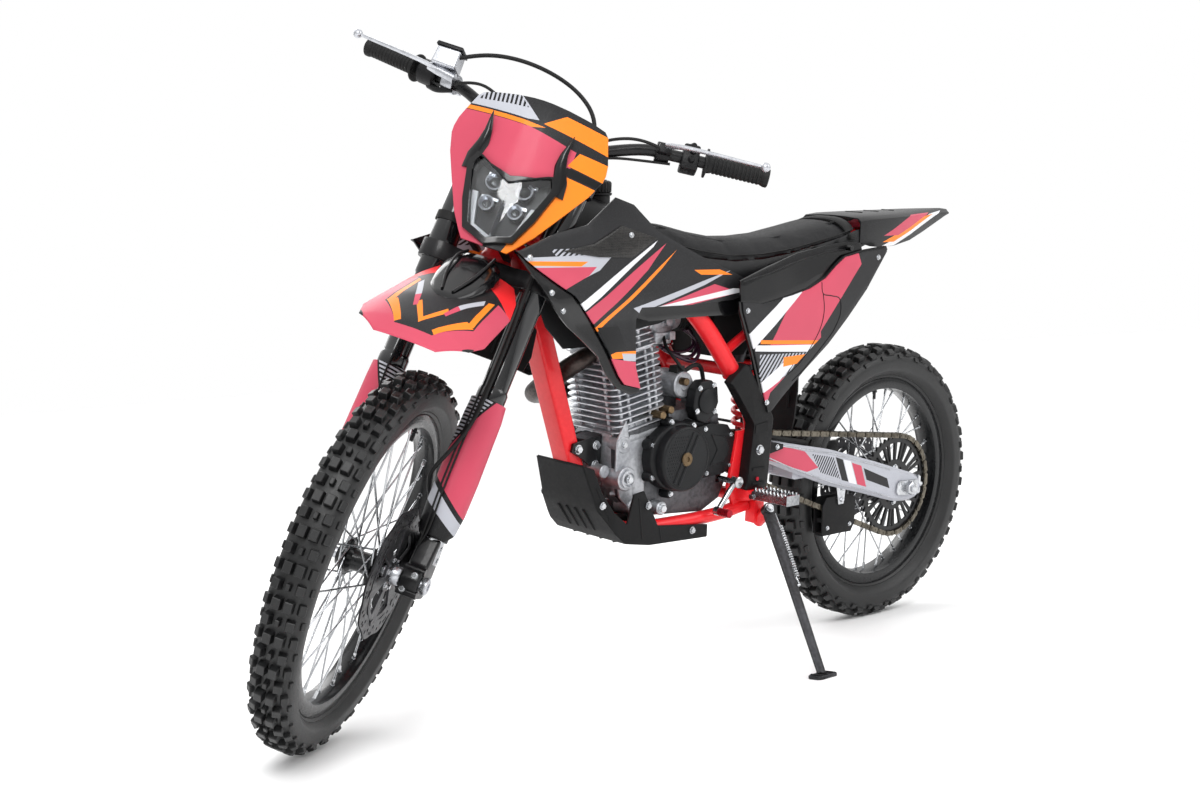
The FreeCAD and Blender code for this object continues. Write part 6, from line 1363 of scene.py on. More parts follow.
class Recipe:
    """A Geometry Nodes tree under construction.

    Args:
        name: the tree's name.
    """

    def __init__(self, name: str) -> None:
        """Makes a tree with a geometry input and output."""
        self.tree = bpy.data.node_groups.new(name, "GeometryNodeTree")
        self.tree.interface.new_socket("Geometry", in_out="INPUT", socket_type="NodeSocketGeometry")
        self.tree.interface.new_socket("Geometry", in_out="OUTPUT", socket_type="NodeSocketGeometry")
        self.entry = self.tree.nodes.new("NodeGroupInput")
        self.exit = self.tree.nodes.new("NodeGroupOutput")

    def given(self, name: str, kind: str) -> Value:
        """A named input of the tree."""
        self.tree.interface.new_socket(name, in_out="INPUT", socket_type=kind)
        return Value(self, self.entry.outputs[name])

    def node(self, kind: str, settings: dict | None = None, inputs: dict | None = None) -> bpy.types.Node:
        """Adds one node, its settings first and then its inputs.

        Args:
            kind: the node's type.
            settings: its own settings.
            inputs: values or links for its sockets, by name or place.

        Returns:
            The node.
        """
        made = self.tree.nodes.new(kind)
        for key, setting in (settings or {}).items():
            setattr(made, key, setting)
        for key, given in (inputs or {}).items():
            if isinstance(given, Value):
                self.tree.links.new(given.socket, made.inputs[key])
            else:
                made.inputs[key].default_value = given
        return made

    def value(
        self, kind: str, settings: dict | None = None, inputs: dict | None = None, output: int | str = 0
    ) -> Value:
        """Adds one node and gives one of its outputs.

        Args:
            kind: the node's type.
            settings: its own settings.
            inputs: values or links for its sockets.
            output: which of its outputs.

        Returns:
            The output.
        """
        return Value(self, self.node(kind, settings, inputs).outputs[output])

    def finish(self, geometry: Value) -> bpy.types.NodeTree:
        """Ends the tree with real meshes of the given material.

        Args:
            geometry: what the tree made.

        Returns:
            The tree.
        """
        material = self.given("Material", "NodeSocketMaterial")
        real = self.value("GeometryNodeRealizeInstances", None, {"Geometry": geometry})
        done = self.value("GeometryNodeSetMaterial", None, {"Geometry": real, "Material": material})
        self.tree.links.new(done.socket, self.exit.inputs[0])
        return self.tree


class Repeats(Enum):
    """The ways in which a small shape is repeated."""

    ROUND = "round the y axis"
    ROW = "in a row"
    SPOTS = "at spots"
    LINKS = "link by link along a line"


def recipe(way: Repeats) -> bpy.types.NodeTree:
    """The tree for a way of repeating, made once.

    Args:
        way: the way.

    Returns:
        The tree.
    """
    name = "repeat_" + way.name.lower()
    if name in bpy.data.node_groups:
        return bpy.data.node_groups[name]
    made = Recipe(name)
    shape = Value(made, made.entry.outputs["Geometry"])
    if way is Repeats.ROUND:
        count = made.given("Count", "NodeSocketInt")
        points = made.value("GeometryNodePoints", None, {"Count": count})
        angle = made.value("GeometryNodeInputIndex") * made.given("Turn", "NodeSocketFloat")
        spin = made.value("ShaderNodeCombineXYZ", None, {"Y": angle})
        copies = made.value("GeometryNodeInstanceOnPoints", None,
                            {"Points": points, "Instance": shape, "Rotation": spin})
    elif way is Repeats.ROW:
        count = made.given("Count", "NodeSocketInt")
        step = made.given("Step", "NodeSocketVector")
        points = made.value("GeometryNodePoints", None, {"Count": count})
        index = made.value("GeometryNodeInputIndex")
        shift = made.value("ShaderNodeVectorMath", {"operation": "SCALE"}, {0: step, "Scale": index})
        moved = made.value("GeometryNodeSetPosition", None, {"Geometry": points, "Position": shift})
        copies = made.value("GeometryNodeInstanceOnPoints", None, {"Points": moved, "Instance": shape})
    elif way is Repeats.SPOTS:
        thing = made.given("Shape", "NodeSocketObject")
        info = made.value("GeometryNodeObjectInfo", None, {"Object": thing}, "Geometry")
        lie = made.value("GeometryNodeInputNamedAttribute", {"data_type": "FLOAT_VECTOR"}, {"Name": "way"})
        size = made.value("GeometryNodeInputNamedAttribute", {"data_type": "FLOAT"}, {"Name": "size"})
        spin = made.value("FunctionNodeAlignRotationToVector", {"axis": "Z"}, {"Vector": lie})
        copies = made.value("GeometryNodeInstanceOnPoints", None,
                            {"Points": shape, "Instance": info, "Rotation": spin, "Scale": size})
    else:
        outer = made.given("Outer", "NodeSocketObject")
        inner = made.given("Inner", "NodeSocketObject")
        lie = made.value("GeometryNodeInputNamedAttribute", {"data_type": "FLOAT_VECTOR"}, {"Name": "way"})
        spin = made.value("FunctionNodeAlignRotationToVector", {"axis": "X"}, {"Vector": lie})
        odd = made.value("GeometryNodeInputIndex").remainder(2.0) > 0.5
        join = made.node("GeometryNodeJoinGeometry")
        for thing, chosen in ((outer, odd), (inner, 1.0 - odd)):
            info = made.value("GeometryNodeObjectInfo", None, {"Object": thing}, "Geometry")
            some = made.value("GeometryNodeInstanceOnPoints", None, {
                "Points": shape, "Instance": info, "Rotation": spin, "Selection": chosen})
            made.tree.links.new(some.socket, join.inputs[0])
        copies = Value(made, join.outputs[0])
    return made.finish(copies)


def repeated(way: Repeats, name: str, form: Form, axes: Axes, finish: Finish, smooth: float = 35.0,
             **inputs: object) -> bpy.types.Mesh:
    """The mesh of a shape repeated by a tree, in the row frame.

    Args:
        way: the way of repeating.
        name: the mesh's name.
        form: the shape, or the points that shapes go to.
        axes: the axes that all of it is drawn along.
        finish: its finish.
        smooth: the angle up to which edges shade smooth, in degrees.
        inputs: the tree's named inputs.

    Returns:
        The mesh.
    """
    form.tidy()
    mesh = bpy.data.meshes.new(name)
    form.bm.to_mesh(mesh)
    form.bm.free()
    holder = added(name + "_repeat", mesh)
    modifier = holder.modifiers.new("repeat", "NODES")
    modifier.node_group = recipe(way)
    sockets = {s.name: s.identifier for s in modifier.node_group.interface.items_tree if s.in_out == "INPUT"}
    for key, given in {**inputs, "Material": finish.material()}.items():
        modifier[sockets[key]] = given
    bpy.context.view_layer.update()
    graph = bpy.context.evaluated_depsgraph_get()
    result = bpy.data.meshes.new_from_object(holder.evaluated_get(graph), preserve_all_data_layers=True,
                                             depsgraph=graph)
    holder.modifiers.remove(modifier)
    bpy.data.objects.remove(holder)
    result.name = name
    result.transform(axes.matrix @ Matrix.Scale(MM, 4))
    soften(result, smooth)
    return result


def spots(places: Sequence[tuple[Vector, Vector, float]]) -> Form:
    """Loose points that carry a direction and a size each.

    Args:
        places: each point with its direction and size.

    Returns:
        The points as a form.
    """
    form = Form()
    way = form.bm.verts.layers.float_vector.new("way")
    size = form.bm.verts.layers.float.new("size")
    for place, lie, scale in places:
        vert = form.bm.verts.new(place)
        vert[way] = lie
        vert[size] = scale
    return form


def hidden_shape(name: str, form: Form) -> bpy.types.Object:
    """A small shape that a tree repeats and the scene doesn't keep.

    Args:
        name: the object's name.
        form: the shape, in millimetres.

    Returns:
        The object, which its user removes.
    """
    form.tidy()
    mesh = bpy.data.meshes.new(name)
    form.bm.to_mesh(mesh)
    form.bm.free()
    return added(name, mesh)


def hex_bolt() -> Form:
    """A flanged hexagon bolt head of radius one that stands on the plane."""
    form = Form().loft([[(1.25 * math.cos(a * math.pi / 8), 1.25 * math.sin(a * math.pi / 8), z)
                         for a in range(16)] for z in (0.0, 0.18)])
    return form.loft([[(share * math.cos(a * math.pi / 3), share * math.sin(a * math.pi / 3), z)
                       for a in range(6)] for z, share in ((0.15, 1.0), (0.75, 1.0), (0.86, 0.86))])


# Wheels

def ring_points(radius: float, count: int) -> list[tuple[float, float]]:
    """The corners of a regular shape about the axle.

    Args:
        radius: their distance from the axle.
        count: how many they are, the first at the top.

    Returns:
        The corners, as (forward, up) pairs.
    """
    steps = (2 * math.pi * i / count for i in range(count))
    return [(radius * math.sin(a), radius * math.cos(a)) for a in steps]


def hole_at(radius: float, angle: float, size: float, corners: int) -> list[tuple[float, float]]:
    """The corners of a round hole beside the axle.

    Args:
        radius: the hole's distance from the axle.
        angle: its angle from the top, in degrees.
        size: its own radius.
        corners: how many corners it has.

    Returns:
        The corners.
    """
    x, z = radius * math.sin(math.radians(angle)), radius * math.cos(math.radians(angle))
    return [(x + px, z + pz) for px, pz in ring_points(size, corners)]


def sector(low: float, high: float, start: float, end: float, steps: int) -> list[tuple[float, float]]:
    """The corners of a window between two radii and two angles about the axle.

    Args:
        low: the smaller radius.
        high: the larger radius.
        start: the first angle from the top, in degrees.
        end: the other angle.
        steps: the steps between them.

    Returns:
        The corners.
    """
    angles = [math.radians(start + (end - start) * i / steps) for i in range(steps + 1)]
    return [(high * math.sin(a), high * math.cos(a)) for a in angles] + [
        (low * math.sin(a), low * math.cos(a)) for a in reversed(angles)]


@dataclass
class Tyre:
    """A knobbly tyre.

    Args:
        name: the CAD node that it stands for.
        body: the body that it rides on.
        axes: the wheel's axes at its hub.
        radius: its radius over the knobs, in millimetres.
        width: its width over the knobs.
        flange: the rim's outer radius.
        rim_width: the rim's width.
        rows: how many times the tread repeats.
        block: a middle knob's length along the tread and its width.
        height: the knobs' height.
    """

    name: str
    body: str
    axes: Axes
    radius: float
    width: float
    flange: float
    rim_width: float
    rows: int
    block: tuple[float, float]
    height: float = 12.5

    def carcass(self) -> Form:
        """The tyre's body with its bead and sidewall ridges."""
        crown = self.radius - self.height
        half = self.width / 2 - 4
        bead = self.rim_width / 2 - 4.3
        low = self.flange - 17.5
        deep = crown - self.flange
        side = [(low, bead - 3), (low, bead), (self.flange - 6, bead), (self.flange - 1, bead + 0.6),
                (self.flange + 3, bead + 5), (self.flange + 5, bead + 6.5), (self.flange + 7, bead + 6.0),
                (self.flange + deep * 0.3, half - 3.0), (self.flange + deep * 0.36, half - 1.2),
                (self.flange + deep * 0.42, half - 1.4), (self.flange + deep * 0.6, half),
                (self.flange + deep * 0.78, half - 3), (self.flange + deep * 0.9, half - 10),
                (self.flange + deep * 0.97, half * 0.52), (crown, 0.0)]
        profile = side + [(r, -y) for r, y in reversed(side[:-1])]
        return Form().lathe(profile, 120, ringed=True)

    def knob(self, length: float, width: float, place: float, tilt: float, top: float, angle: float) -> Form:
        """One knob at its place on the tread.

        Args:
            length: its length along the tread.
            width: its width.
            place: how far out it stands.
            tilt: how far it leans outwards, in degrees.
            top: its top's radius.
            angle: its place round the tyre, in degrees.

        Returns:
            The knob.
        """
        form = Form().box((-length / 2, -width / 2, -self.height - 5), (length / 2, width / 2, 0.0), 0.84)
        form.bevel(1.0, 1)
        lean = turn(-tilt, "X")
        shift = Matrix.Translation((0, place, top))
        return form.turned(turn(angle, "Y") @ shift @ lean)

    def pitch(self) -> Form:
        """The knobs of one repeat of the tread."""
        step = 360.0 / self.rows
        length, width = self.block
        edge = self.width / 2
        form = Form()
        for side in (1, -1):
            form.join(self.knob(length, width, side * width * 0.62, side * 3, self.radius - 0.6, 0.0))
            form.join(self.knob(length * 0.9, width * 0.95, side * edge * 0.52, side * 18,
                                self.radius - 4.0, step / 2))
            form.join(self.knob(length * 0.92, width * 0.8, side * edge * 0.78, side * 38,
                                self.radius - 12.5, 0.0))
            form.join(self.knob(length * 0.7, width * 0.55, side * (edge - 4.6), side * 64,
                                self.radius - 24.0, step / 2))
        form.join(self.knob(length * 0.62, width * 0.5, 0.0, 0.0, self.radius - 1.5, step / 2))
        return form

    def build(self) -> bpy.types.Object:
        """The tyre as one piece."""
        knobs = repeated(Repeats.ROUND, self.name + "_knobs", self.pitch(), self.axes, TYRE_RUBBER, 30.0,
                         Count=self.rows, Turn=2 * math.pi / self.rows)
        body = self.carcass().mesh(self.name + "_carcass", self.axes, 50.0)
        return joined(self.name + "_tread", [body, knobs], self.body, TYRE_RUBBER, (self.name,))


def joined(name: str, meshes: Sequence[bpy.types.Mesh], body: str, finish: Finish | Clear | Livery,
           stands_for: Sequence[str] = ()) -> bpy.types.Object:
    """Joins finished meshes into one piece.

    Args:
        name: the piece's name.
        meshes: meshes in the row frame.
        body: the body that it rides on.
        finish: its finish.
        stands_for: the CAD nodes that it replaces.

    Returns:
        The piece.
    """
    bm = bmesh.new()
    for mesh in meshes:
        bm.from_mesh(mesh)
    whole = bpy.data.meshes.new(name)
    bm.to_mesh(whole)
    bm.free()
    for mesh in meshes:
        bpy.data.meshes.remove(mesh)
    return piece(name, whole, body, finish, stands_for)


@dataclass
class Wheel:
    """A spoked wheel with its tyre, rim, hub, spokes, nipples and disc.

    Args:
        end: front or rear.
        axes: the wheel's axes at its hub.
        radius: the tyre's radius.
        width: the tyre's width.
        flange: the rim's outer radius.
        rim_width: the rim's width.
        hub: the hub's barrel radius, flange radius, width and flange span.
        disc: the brake disc's radius and its place along the axle.
        rows: the tyre's repeats.
        block: the middle knob's length and width.
        spokes: how many spokes.
    """

    end: str
    axes: Axes
    radius: float
    width: float
    flange: float
    rim_width: float
    hub: tuple[float, float, float, float]
    disc: tuple[float, float]
    rows: int
    block: tuple[float, float]
    spokes: int = 36

    @property
    def body(self) -> str:
        """The body that the wheel is."""
        return self.end + "_wheel"

    def rim(self) -> bpy.types.Object:
        """The black rim with its flanges, drop centre and valve."""
        half, out = self.rim_width / 2, self.flange
        bed = out - 28.0
        side = [(bed, 0.0), (bed, half * 0.42), (bed + 2.5, half * 0.6), (out - 24, half - 1.5),
                (out - 19, half), (out - 1.2, half), (out, half - 1.0), (out, half - 3.2),
                (out - 1.2, half - 4.0), (out - 17.8, half - 4.0), (out - 18.0, half - 6.0),
                (out - 22.5, half * 0.42), (out - 24.0, 0.0)]
        profile = side + [(r, -y) for r, y in reversed(side[1:-1])]
        form = Form().lathe(profile, 120, ringed=True)
        form.rod((0, 0, bed - 24), (0, 0, bed + 1), 3.6, 10)
        form.rod((0, 0, bed - 8), (0, 0, bed - 4), 6.5, 6)
        mesh = form.mesh(self.end + "_rim_shape", self.axes, 40.0)
        return piece(self.end + "_rim_black", mesh, self.body, RIM_BLACK, (self.end + "_rim",))

    def spoke_set(self) -> tuple[Form, Form]:
        """The spokes and the nipples of one repeat round the hub."""
        _, flange, _, span = self.hub
        hole, edge = flange - 4.0, span / 2
        bed = self.flange - 28.0
        spokes, nipples = Form(), Form()
        step = 2 * math.pi / self.spokes
        for number in range(4):
            side = 1 if number % 2 else -1
            lean = 1 if number // 2 else -1
            outer = step * number
            inner = outer + lean * math.radians(62.0)
            beside = side * (edge + 0.6 if lean > 0 else edge - 6.6)
            start = Vector((hole * math.sin(inner), beside, hole * math.cos(inner)))
            end = Vector(((bed + 1) * math.sin(outer), side * 3.4, (bed + 1) * math.cos(outer)))
            way = (end - start).normalized()
            hook = start - Vector((0, side * (5.0 if lean > 0 else -5.0), 0)) * 0.9
            spokes.pipe([hook, start, start + way * 4, end], [1.9, 1.9, 1.9, 1.9], 8)
            nipples.pipe([end - way * 15, end - way * 13.5, end - way * 2, end - way * 1.9, end],
                         [2.2, 3.1, 3.1, 4.0, 4.0], 6)
        return spokes, nipples

    def hub_form(self) -> Form:
        """The hub's barrel, its two flanges and its spoke holes' rims."""
        barrel, flange, width, span = self.hub
        half, edge = width / 2, span / 2
        side = [(15.0, half), (barrel - 3, half), (barrel - 1, half - 1.5), (barrel + 2, edge + 4),
                (flange - 1, edge), (flange, edge - 1.0), (flange, edge - 5.0), (flange - 1, edge - 6.0),
                (barrel + 4, edge - 8.0), (barrel - 2, edge - 15.0), (barrel - 3, 0.0)]
        profile = side + [(r, -y) for r, y in reversed(side[:-1])]
        return Form().lathe(profile, 64, ringed=True)

    def disc_form(self) -> Form:
        """The drilled brake disc with its wavy rims and its carrier."""
        out, place = self.disc
        waves = 10
        outer, inner = [], []
        for i in range(160):
            a = 2 * math.pi * i / 160
            wave = math.cos(a * waves)
            outer.append(((out - 3 + 3 * wave) * math.sin(a), (out - 3 + 3 * wave) * math.cos(a)))
            inner.append(((out - 31 + 3 * wave) * math.sin(a), (out - 31 + 3 * wave) * math.cos(a)))
        holes = [inner]
        for i in range(waves):
            start = 360.0 * i / waves
            for shift, radius in ((0, out - 17), (7.5, out - 11), (-7.5, out - 11), (15, out - 22),
                                  (12, out - 11)):
                holes.append(hole_at(radius, start + shift, 3.4, 8))
        form = Form().sheet(outer, holes, lambda x, z: place + 1.75, 3.5)
        boss = self.hub[1]
        arms = [sector(boss - 2, out - 42, 60 * i + 14, 60 * i + 48, 4) for i in range(6)]
        carrier = [((out - 33) * x, (out - 33) * z) for x, z in ring_points(1.0, 96)]
        form.sheet(carrier, [*arms, ring_points(15.0, 24)], lambda x, z: place + 2.4, 4.8)
        for i in range(6):
            a = math.radians(60 * i + 1)
            x, z = (out - 31) * math.sin(a), (out - 31) * math.cos(a)
            form.rod((x, place - 3.5, z), (x, place + 3.5, z), 6.5, 12)
        return form

    def build(self) -> list[bpy.types.Object]:
        """All of the wheel's pieces."""
        end, axes = self.end, self.axes
        made = [Tyre(end + "_tyre", self.body, axes, self.radius, self.width, self.flange, self.rim_width,
                     self.rows, self.block).build(), self.rim()]
        spokes, nipples = self.spoke_set()
        count = self.spokes // 4
        wires = repeated(Repeats.ROUND, end + "_wires", spokes, axes, BRIGHT_STEEL, 50.0, Count=count,
                         Turn=2 * math.pi / count)
        made.append(piece(end + "_bright_spokes", wires, self.body, BRIGHT_STEEL,
                          (end + "_spokes",)))
        caps = repeated(Repeats.ROUND, end + "_nipples", nipples, axes, BRIGHT_STEEL, 30.0, Count=count,
                        Turn=2 * math.pi / count)
        made.append(piece(end + "_spoke_nipples", caps, self.body, BRIGHT_STEEL))
        hub = self.hub_form().mesh(end + "_hub_shape", axes, 35.0)
        made.append(piece(end + "_hub", hub, self.body, RIM_BLACK))
        disc = self.disc_form().bevel(0.4, 1).mesh(end + "_disc_shape", axes, 30.0)
        made.append(piece(end + "_wave_disc", disc, self.body, DARK_STEEL, (end + "_disc",)))
        side = 1 if self.disc[1] > 0 else -1
        heads = []
        for i in range(6):
            a = math.radians(60 * i + 31)
            spot = ((self.hub[1] - 10) * math.sin(a), self.disc[1] + side * 2.3,
                    (self.hub[1] - 10) * math.cos(a))
            heads.append((spot, (0, side, 0), 4.6))
        made.append(Carrier(self.body, axes).bolts(end + "_disc_bolts", heads))
        return made


@dataclass
class FinalDrive:
    """The rear sprocket and the chain over it.

    Args:
        front: the countershaft's place along the bike's x and z, in millimetres.
        rear: the axle's place.
        offset: the chain line's distance from the middle.
        pitch: the chain's pitch.
        teeth: the rear sprocket's teeth.
        pinion: the front sprocket's teeth.
    """

    front: tuple[float, float] = (600.0, 464.4)
    rear: tuple[float, float] = (0.0, REAR_RADIUS)
    offset: float = 68.0
    pitch: float = 15.875
    teeth: int = 45
    pinion: int = 13

    def radius(self, teeth: int) -> float:
        """The radius of the chain's pins over a sprocket."""
        return self.pitch / (2 * math.sin(math.pi / teeth))

    def path(self) -> list[tuple[Vector, Vector]]:
        """The pins' places and the ways between them, round the whole chain."""
        front, rear = Vector(self.front), Vector(self.rear)
        small, large = self.radius(self.pinion), self.radius(self.teeth)
        span = (front - rear).length
        tilt = math.atan2(front.y - rear.y, front.x - rear.x)
        spread = math.acos((large - small) / span)
        run = math.sqrt(span ** 2 - (large - small) ** 2)
        wrap, turn_front = 2 * math.pi - 2 * spread, 2 * spread
        lengths = [run, turn_front * small, run, wrap * large]
        count = 2 * round(sum(lengths) / self.pitch / 2)
        step = sum(lengths) / count
        places = []
        for i in range(count):
            s = i * step
            if s < lengths[0]:
                a = tilt + spread
                start = rear + large * Vector((math.cos(a), math.sin(a)))
                end = front + small * Vector((math.cos(a), math.sin(a)))
                point = start.lerp(end, s / run)
            elif s < sum(lengths[:2]):
                a = tilt + spread - (s - lengths[0]) / small
                point = front + small * Vector((math.cos(a), math.sin(a)))
            elif s < sum(lengths[:3]):
                a = tilt - spread
                start = front + small * Vector((math.cos(a), math.sin(a)))
                end = rear + large * Vector((math.cos(a), math.sin(a)))
                point = start.lerp(end, (s - sum(lengths[:2])) / run)
            else:
                a = tilt - spread - (s - sum(lengths[:3])) / large
                point = rear + large * Vector((math.cos(a), math.sin(a)))
            places.append(point)
        middles = []
        for first, second in zip(places, places[1:] + places[:1]):
            middle = (first + second) / 2
            way = second - first
            middles.append((Vector((middle.x, self.offset, middle.y)),
                            Vector((way.x, 0, way.y)).normalized()))
        return middles

    def link(self, wide: bool) -> Form:
        """One link along x: two waisted plates with rollers or pins.

        Args:
            wide: whether it is an outer link, with pins.

        Returns:
            The link about its middle.
        """
        half = self.pitch / 2
        reach = 7.6 if wide else 5.2
        outline = []
        for k in range(24):
            a = 2 * math.pi * k / 24
            waist = 1.0 - 0.22 * math.exp(-((math.cos(a)) ** 2) * 9)
            outline.append((math.copysign(half, math.cos(a)) * min(1.0, abs(math.cos(a)) * 2.2)
                            + 6.6 * math.cos(a), 6.6 * math.sin(a) * waist))
        form = Form()
        for side in (1, -1):
            form.prism(outline, side * reach - 0.9, side * reach + 0.9)
        for end in (-half, half):
            if wide:
                form.rod((end, -9.2, 0), (end, 9.2, 0), 2.6, 8)
            else:
                form.rod((end, -4.4, 0), (end, 4.4, 0), 4.9, 10)
        return form

    def chain(self) -> bpy.types.Object:
        """The whole chain, link by link."""
        outer = hidden_shape("outer_link", self.link(True))
        inner = hidden_shape("inner_link", self.link(False))
        line = spots([(place, way, 1.0) for place, way in self.path()])
        mesh = repeated(Repeats.LINKS, "chain_links", line, BIKE, CHAIN_STEEL, 35.0, Outer=outer, Inner=inner)
        for shape in (outer, inner):
            bpy.data.objects.remove(shape)
        return piece("linked_chain", mesh, "chassis", CHAIN_STEEL, ("drive_chain",))

    def sprocket(self) -> bpy.types.Object:
        """The black rear sprocket with its teeth, radial slots and holes."""
        root = self.radius(self.teeth) - 5.2
        tip = self.radius(self.teeth) + 1.6
        outer = []
        for i in range(self.teeth):
            for share, radius in ((0.0, root), (0.2, root + 1.2), (0.38, tip - 1), (0.5, tip),
                                  (0.62, tip - 1), (0.8, root + 1.2)):
                a = 2 * math.pi * (i + share) / self.teeth
                outer.append((radius * math.sin(a), radius * math.cos(a)))
        holes = [ring_points(16.0, 32)]
        for i in range(9):
            base = 40.0 * i
            holes.append(sector(58, root - 11, base + 3, base + 13, 2))
            holes.append(sector(58, root - 11, base + 18, base + 22, 2))
            holes.append(sector(58, root - 11, base + 27, base + 37, 2))
        for i in range(6):
            holes.append(hole_at(40, 60 * i + 30, 3.5, 8))
        form = Form().sheet(outer, holes, lambda x, z: self.offset + 3.0, 6.0)
        form.bevel(0.7, 1)
        form.lathe([(17, 48.5), (44, 48.5), (48, 54), (48, self.offset - 3), (17, self.offset - 3)], 48,
                   ringed=True)
        mesh = form.mesh("sprocket_shape", REAR_HUB, 30.0)
        return piece("slotted_sprocket", mesh, "rear_wheel", SATIN_BLACK, ("rear_sprocket",))

    def build(self) -> list[bpy.types.Object]:
        """All of the drive's pieces."""
        heads = []
        for i in range(6):
            a = math.radians(60 * i)
            heads.append(((40 * math.sin(a), self.offset + 2.8, 40 * math.cos(a)), (0, 1, 0), 6.0))
        return [self.chain(), self.sprocket(), Carrier("rear_wheel", REAR_HUB).bolts("sprocket_bolts", heads)]


FRONT_WHEEL = Wheel("front", FRONT_HUB, FRONT_RADIUS, 85.0, 280.0, 44.0, (22.0, 36.0, 84.0, 56.0),
                    (122.0, 56.0), 36, (22.0, 17.0))
REAR_WHEEL = Wheel("rear", REAR_HUB, REAR_RADIUS, 105.0, 241.0, 56.0, (28.0, 50.0, 96.0, 64.0),
                   (108.0, -58.7), 30, (25.0, 21.0))


# Steering: everything that turns with the bars, along the fork's axes

LEG_SIDE = 97.0
LEG_AHEAD = 28.0


def lerp_table(table: Sequence[tuple[float, ...]], at: float) -> list[float]:
    """A table's row at a place between its rows.

    Args:
        table: rows whose first number is their place, in order.
        at: the place.

    Returns:
        The rest of the row, worked out between its neighbours.
    """
    if at <= table[0][0]:
        return list(table[0][1:])
    for low, high in zip(table, table[1:]):
        if at <= high[0]:
            share = (at - low[0]) / (high[0] - low[0])
            return [a + (b - a) * share for a, b in zip(low[1:], high[1:])]
    return list(table[-1][1:])


@dataclass
class NumberPlate:
    """The plate that carries the lamp, with the lamp's surround and its two horns.

    Args:
        middle: the plate's place ahead of the axis at its middle, in millimetres.
        sweep: how far its sides are swept back.
        outline: half of its outline from the bottom up, as (left, up) pairs.
        window: half of the lamp's window.
        bend: the half width that the sweep is measured at.
    """

    middle: float = 118.0
    sweep: float = 46.0
    outline: tuple = ((0, 592), (44, 594), (58, 612), (78, 640), (112, 704), (136, 750), (149, 786),
                      (150, 800), (147, 818), (128, 868), (120, 876), (94, 881), (50, 885), (0, 887))
    window: tuple = ((0, 603), (44, 621), (62, 668), (79, 726), (80, 738), (72, 753), (56, 746), (36, 734),
                     (0, 719))
    bend: float = 150.0

    def face(self, y: float, z: float) -> float:
        """How far ahead the plate's face lies at a place.

        Args:
            y: the place to the left.
            z: the place up.

        Returns:
            The distance ahead of the axis.
        """
        share = max(0.0, abs(y) - 18.0) / (self.bend - 18.0)
        top = max(0.0, (z - 800.0) / 90.0)
        return self.middle - self.sweep * (0.55 * share + 0.45 * share * share) - 14.0 * top * top

    def whole(self, half: Sequence[tuple[float, float]]) -> list[tuple[float, float]]:
        """The whole outline from its left half."""
        return [*half, *[(-y, z) for y, z in reversed(half) if y > 0]]

    def grown(self, half: Sequence[tuple[float, float]], by: float) -> list[tuple[float, float]]:
        """The left half of an outline moved outwards from its middle.

        Args:
            half: the left half.
            by: how far it moves.

        Returns:
            The moved half.
        """
        centre = Vector((0, sum(z for _, z in half) / len(half)))
        moved = []
        for y, z in half:
            way = (Vector((y, z)) - centre).normalized()
            moved.append((y + way.x * by if y > 0 else 0.0, z + way.y * by))
        return moved

    def build(self) -> list[bpy.types.Object]:
        """The plate, its surround and its horns."""
        window = self.whole(self.window)
        plate = Form().sheet(self.whole(self.outline), [window], self.face, 4.0, "yz", 3).bevel(1.1, 2, 50)
        made = [STEERING.piece("number_plate", plate, MASK_LIVERY, "graphic_plastic", "lamp_mask")]
        edge = self.whole(self.grown(self.window, 9.0))
        surround = Form().sheet(edge, [self.whole(self.grown(self.window, -4.0))],
                                lambda y, z: self.face(y, z) + 8.0, 16.0, "yz", 2).bevel(2.4, 3, 45)
        for side in (1, -1):
            horn = [
                (side * 84, 724, 15, 9, 4), (side * 82, 752, 15, 9, 9), (side * 75, 778, 11, 7, 11),
                (side * 74, 800, 7, 5, 12), (side * 77, 822, 3.6, 3, 12), (side * 79, 838, 0.8, 0.8, 11),
            ]
            rings = []
            for y, z, wide, deep, proud in horn:
                front = self.face(y, z) + proud
                rings.append([(front - deep * 0.9, y - wide, z), (front - deep * 0.1, y - wide * 0.5, z),
                              (front, y, z), (front - deep * 0.1, y + wide * 0.5, z),
                              (front - deep * 0.9, y + wide, z), (front - deep * 1.8, y, z)])
            surround.loft(rings)
        made.append(STEERING.piece("lamp_surround", surround, GLOSS_PLASTIC, "black_plastic", smooth=45.0))
        stays = Form()
        for side in (1, -1):
            stays.box((46, side * 36 - 8, 768), (103, side * 36 + 8, 780))
            stays.box((34, side * 30 - 7, 598), (100, side * 30 + 7, 606))
        made.append(STEERING.piece("plate_stays", stays.bevel(1.5), SATIN_PLASTIC, "black_plastic",
                                   smooth=35.0))
        straps = Form()
        for side in (1, -1):
            leg = side * LEG_SIDE
            line = [(LEG_AHEAD + 29 * math.cos(a), leg + 29 * math.sin(a), 640.0)
                    for a in (2 * math.pi * i / 28 for i in range(28))]
            straps.loft([[(LEG_AHEAD + (p[0] - LEG_AHEAD) * r, leg + (p[1] - leg) * r, p[2] + dz)
                          for r, dz in ((0.96, -8), (1.05, -8), (1.05, 8), (0.96, 8))]
                         for p in line], closed=True)
        made.append(STEERING.piece("plate_straps", straps, SOFT_RUBBER, "rubber", smooth=35.0))
        return made


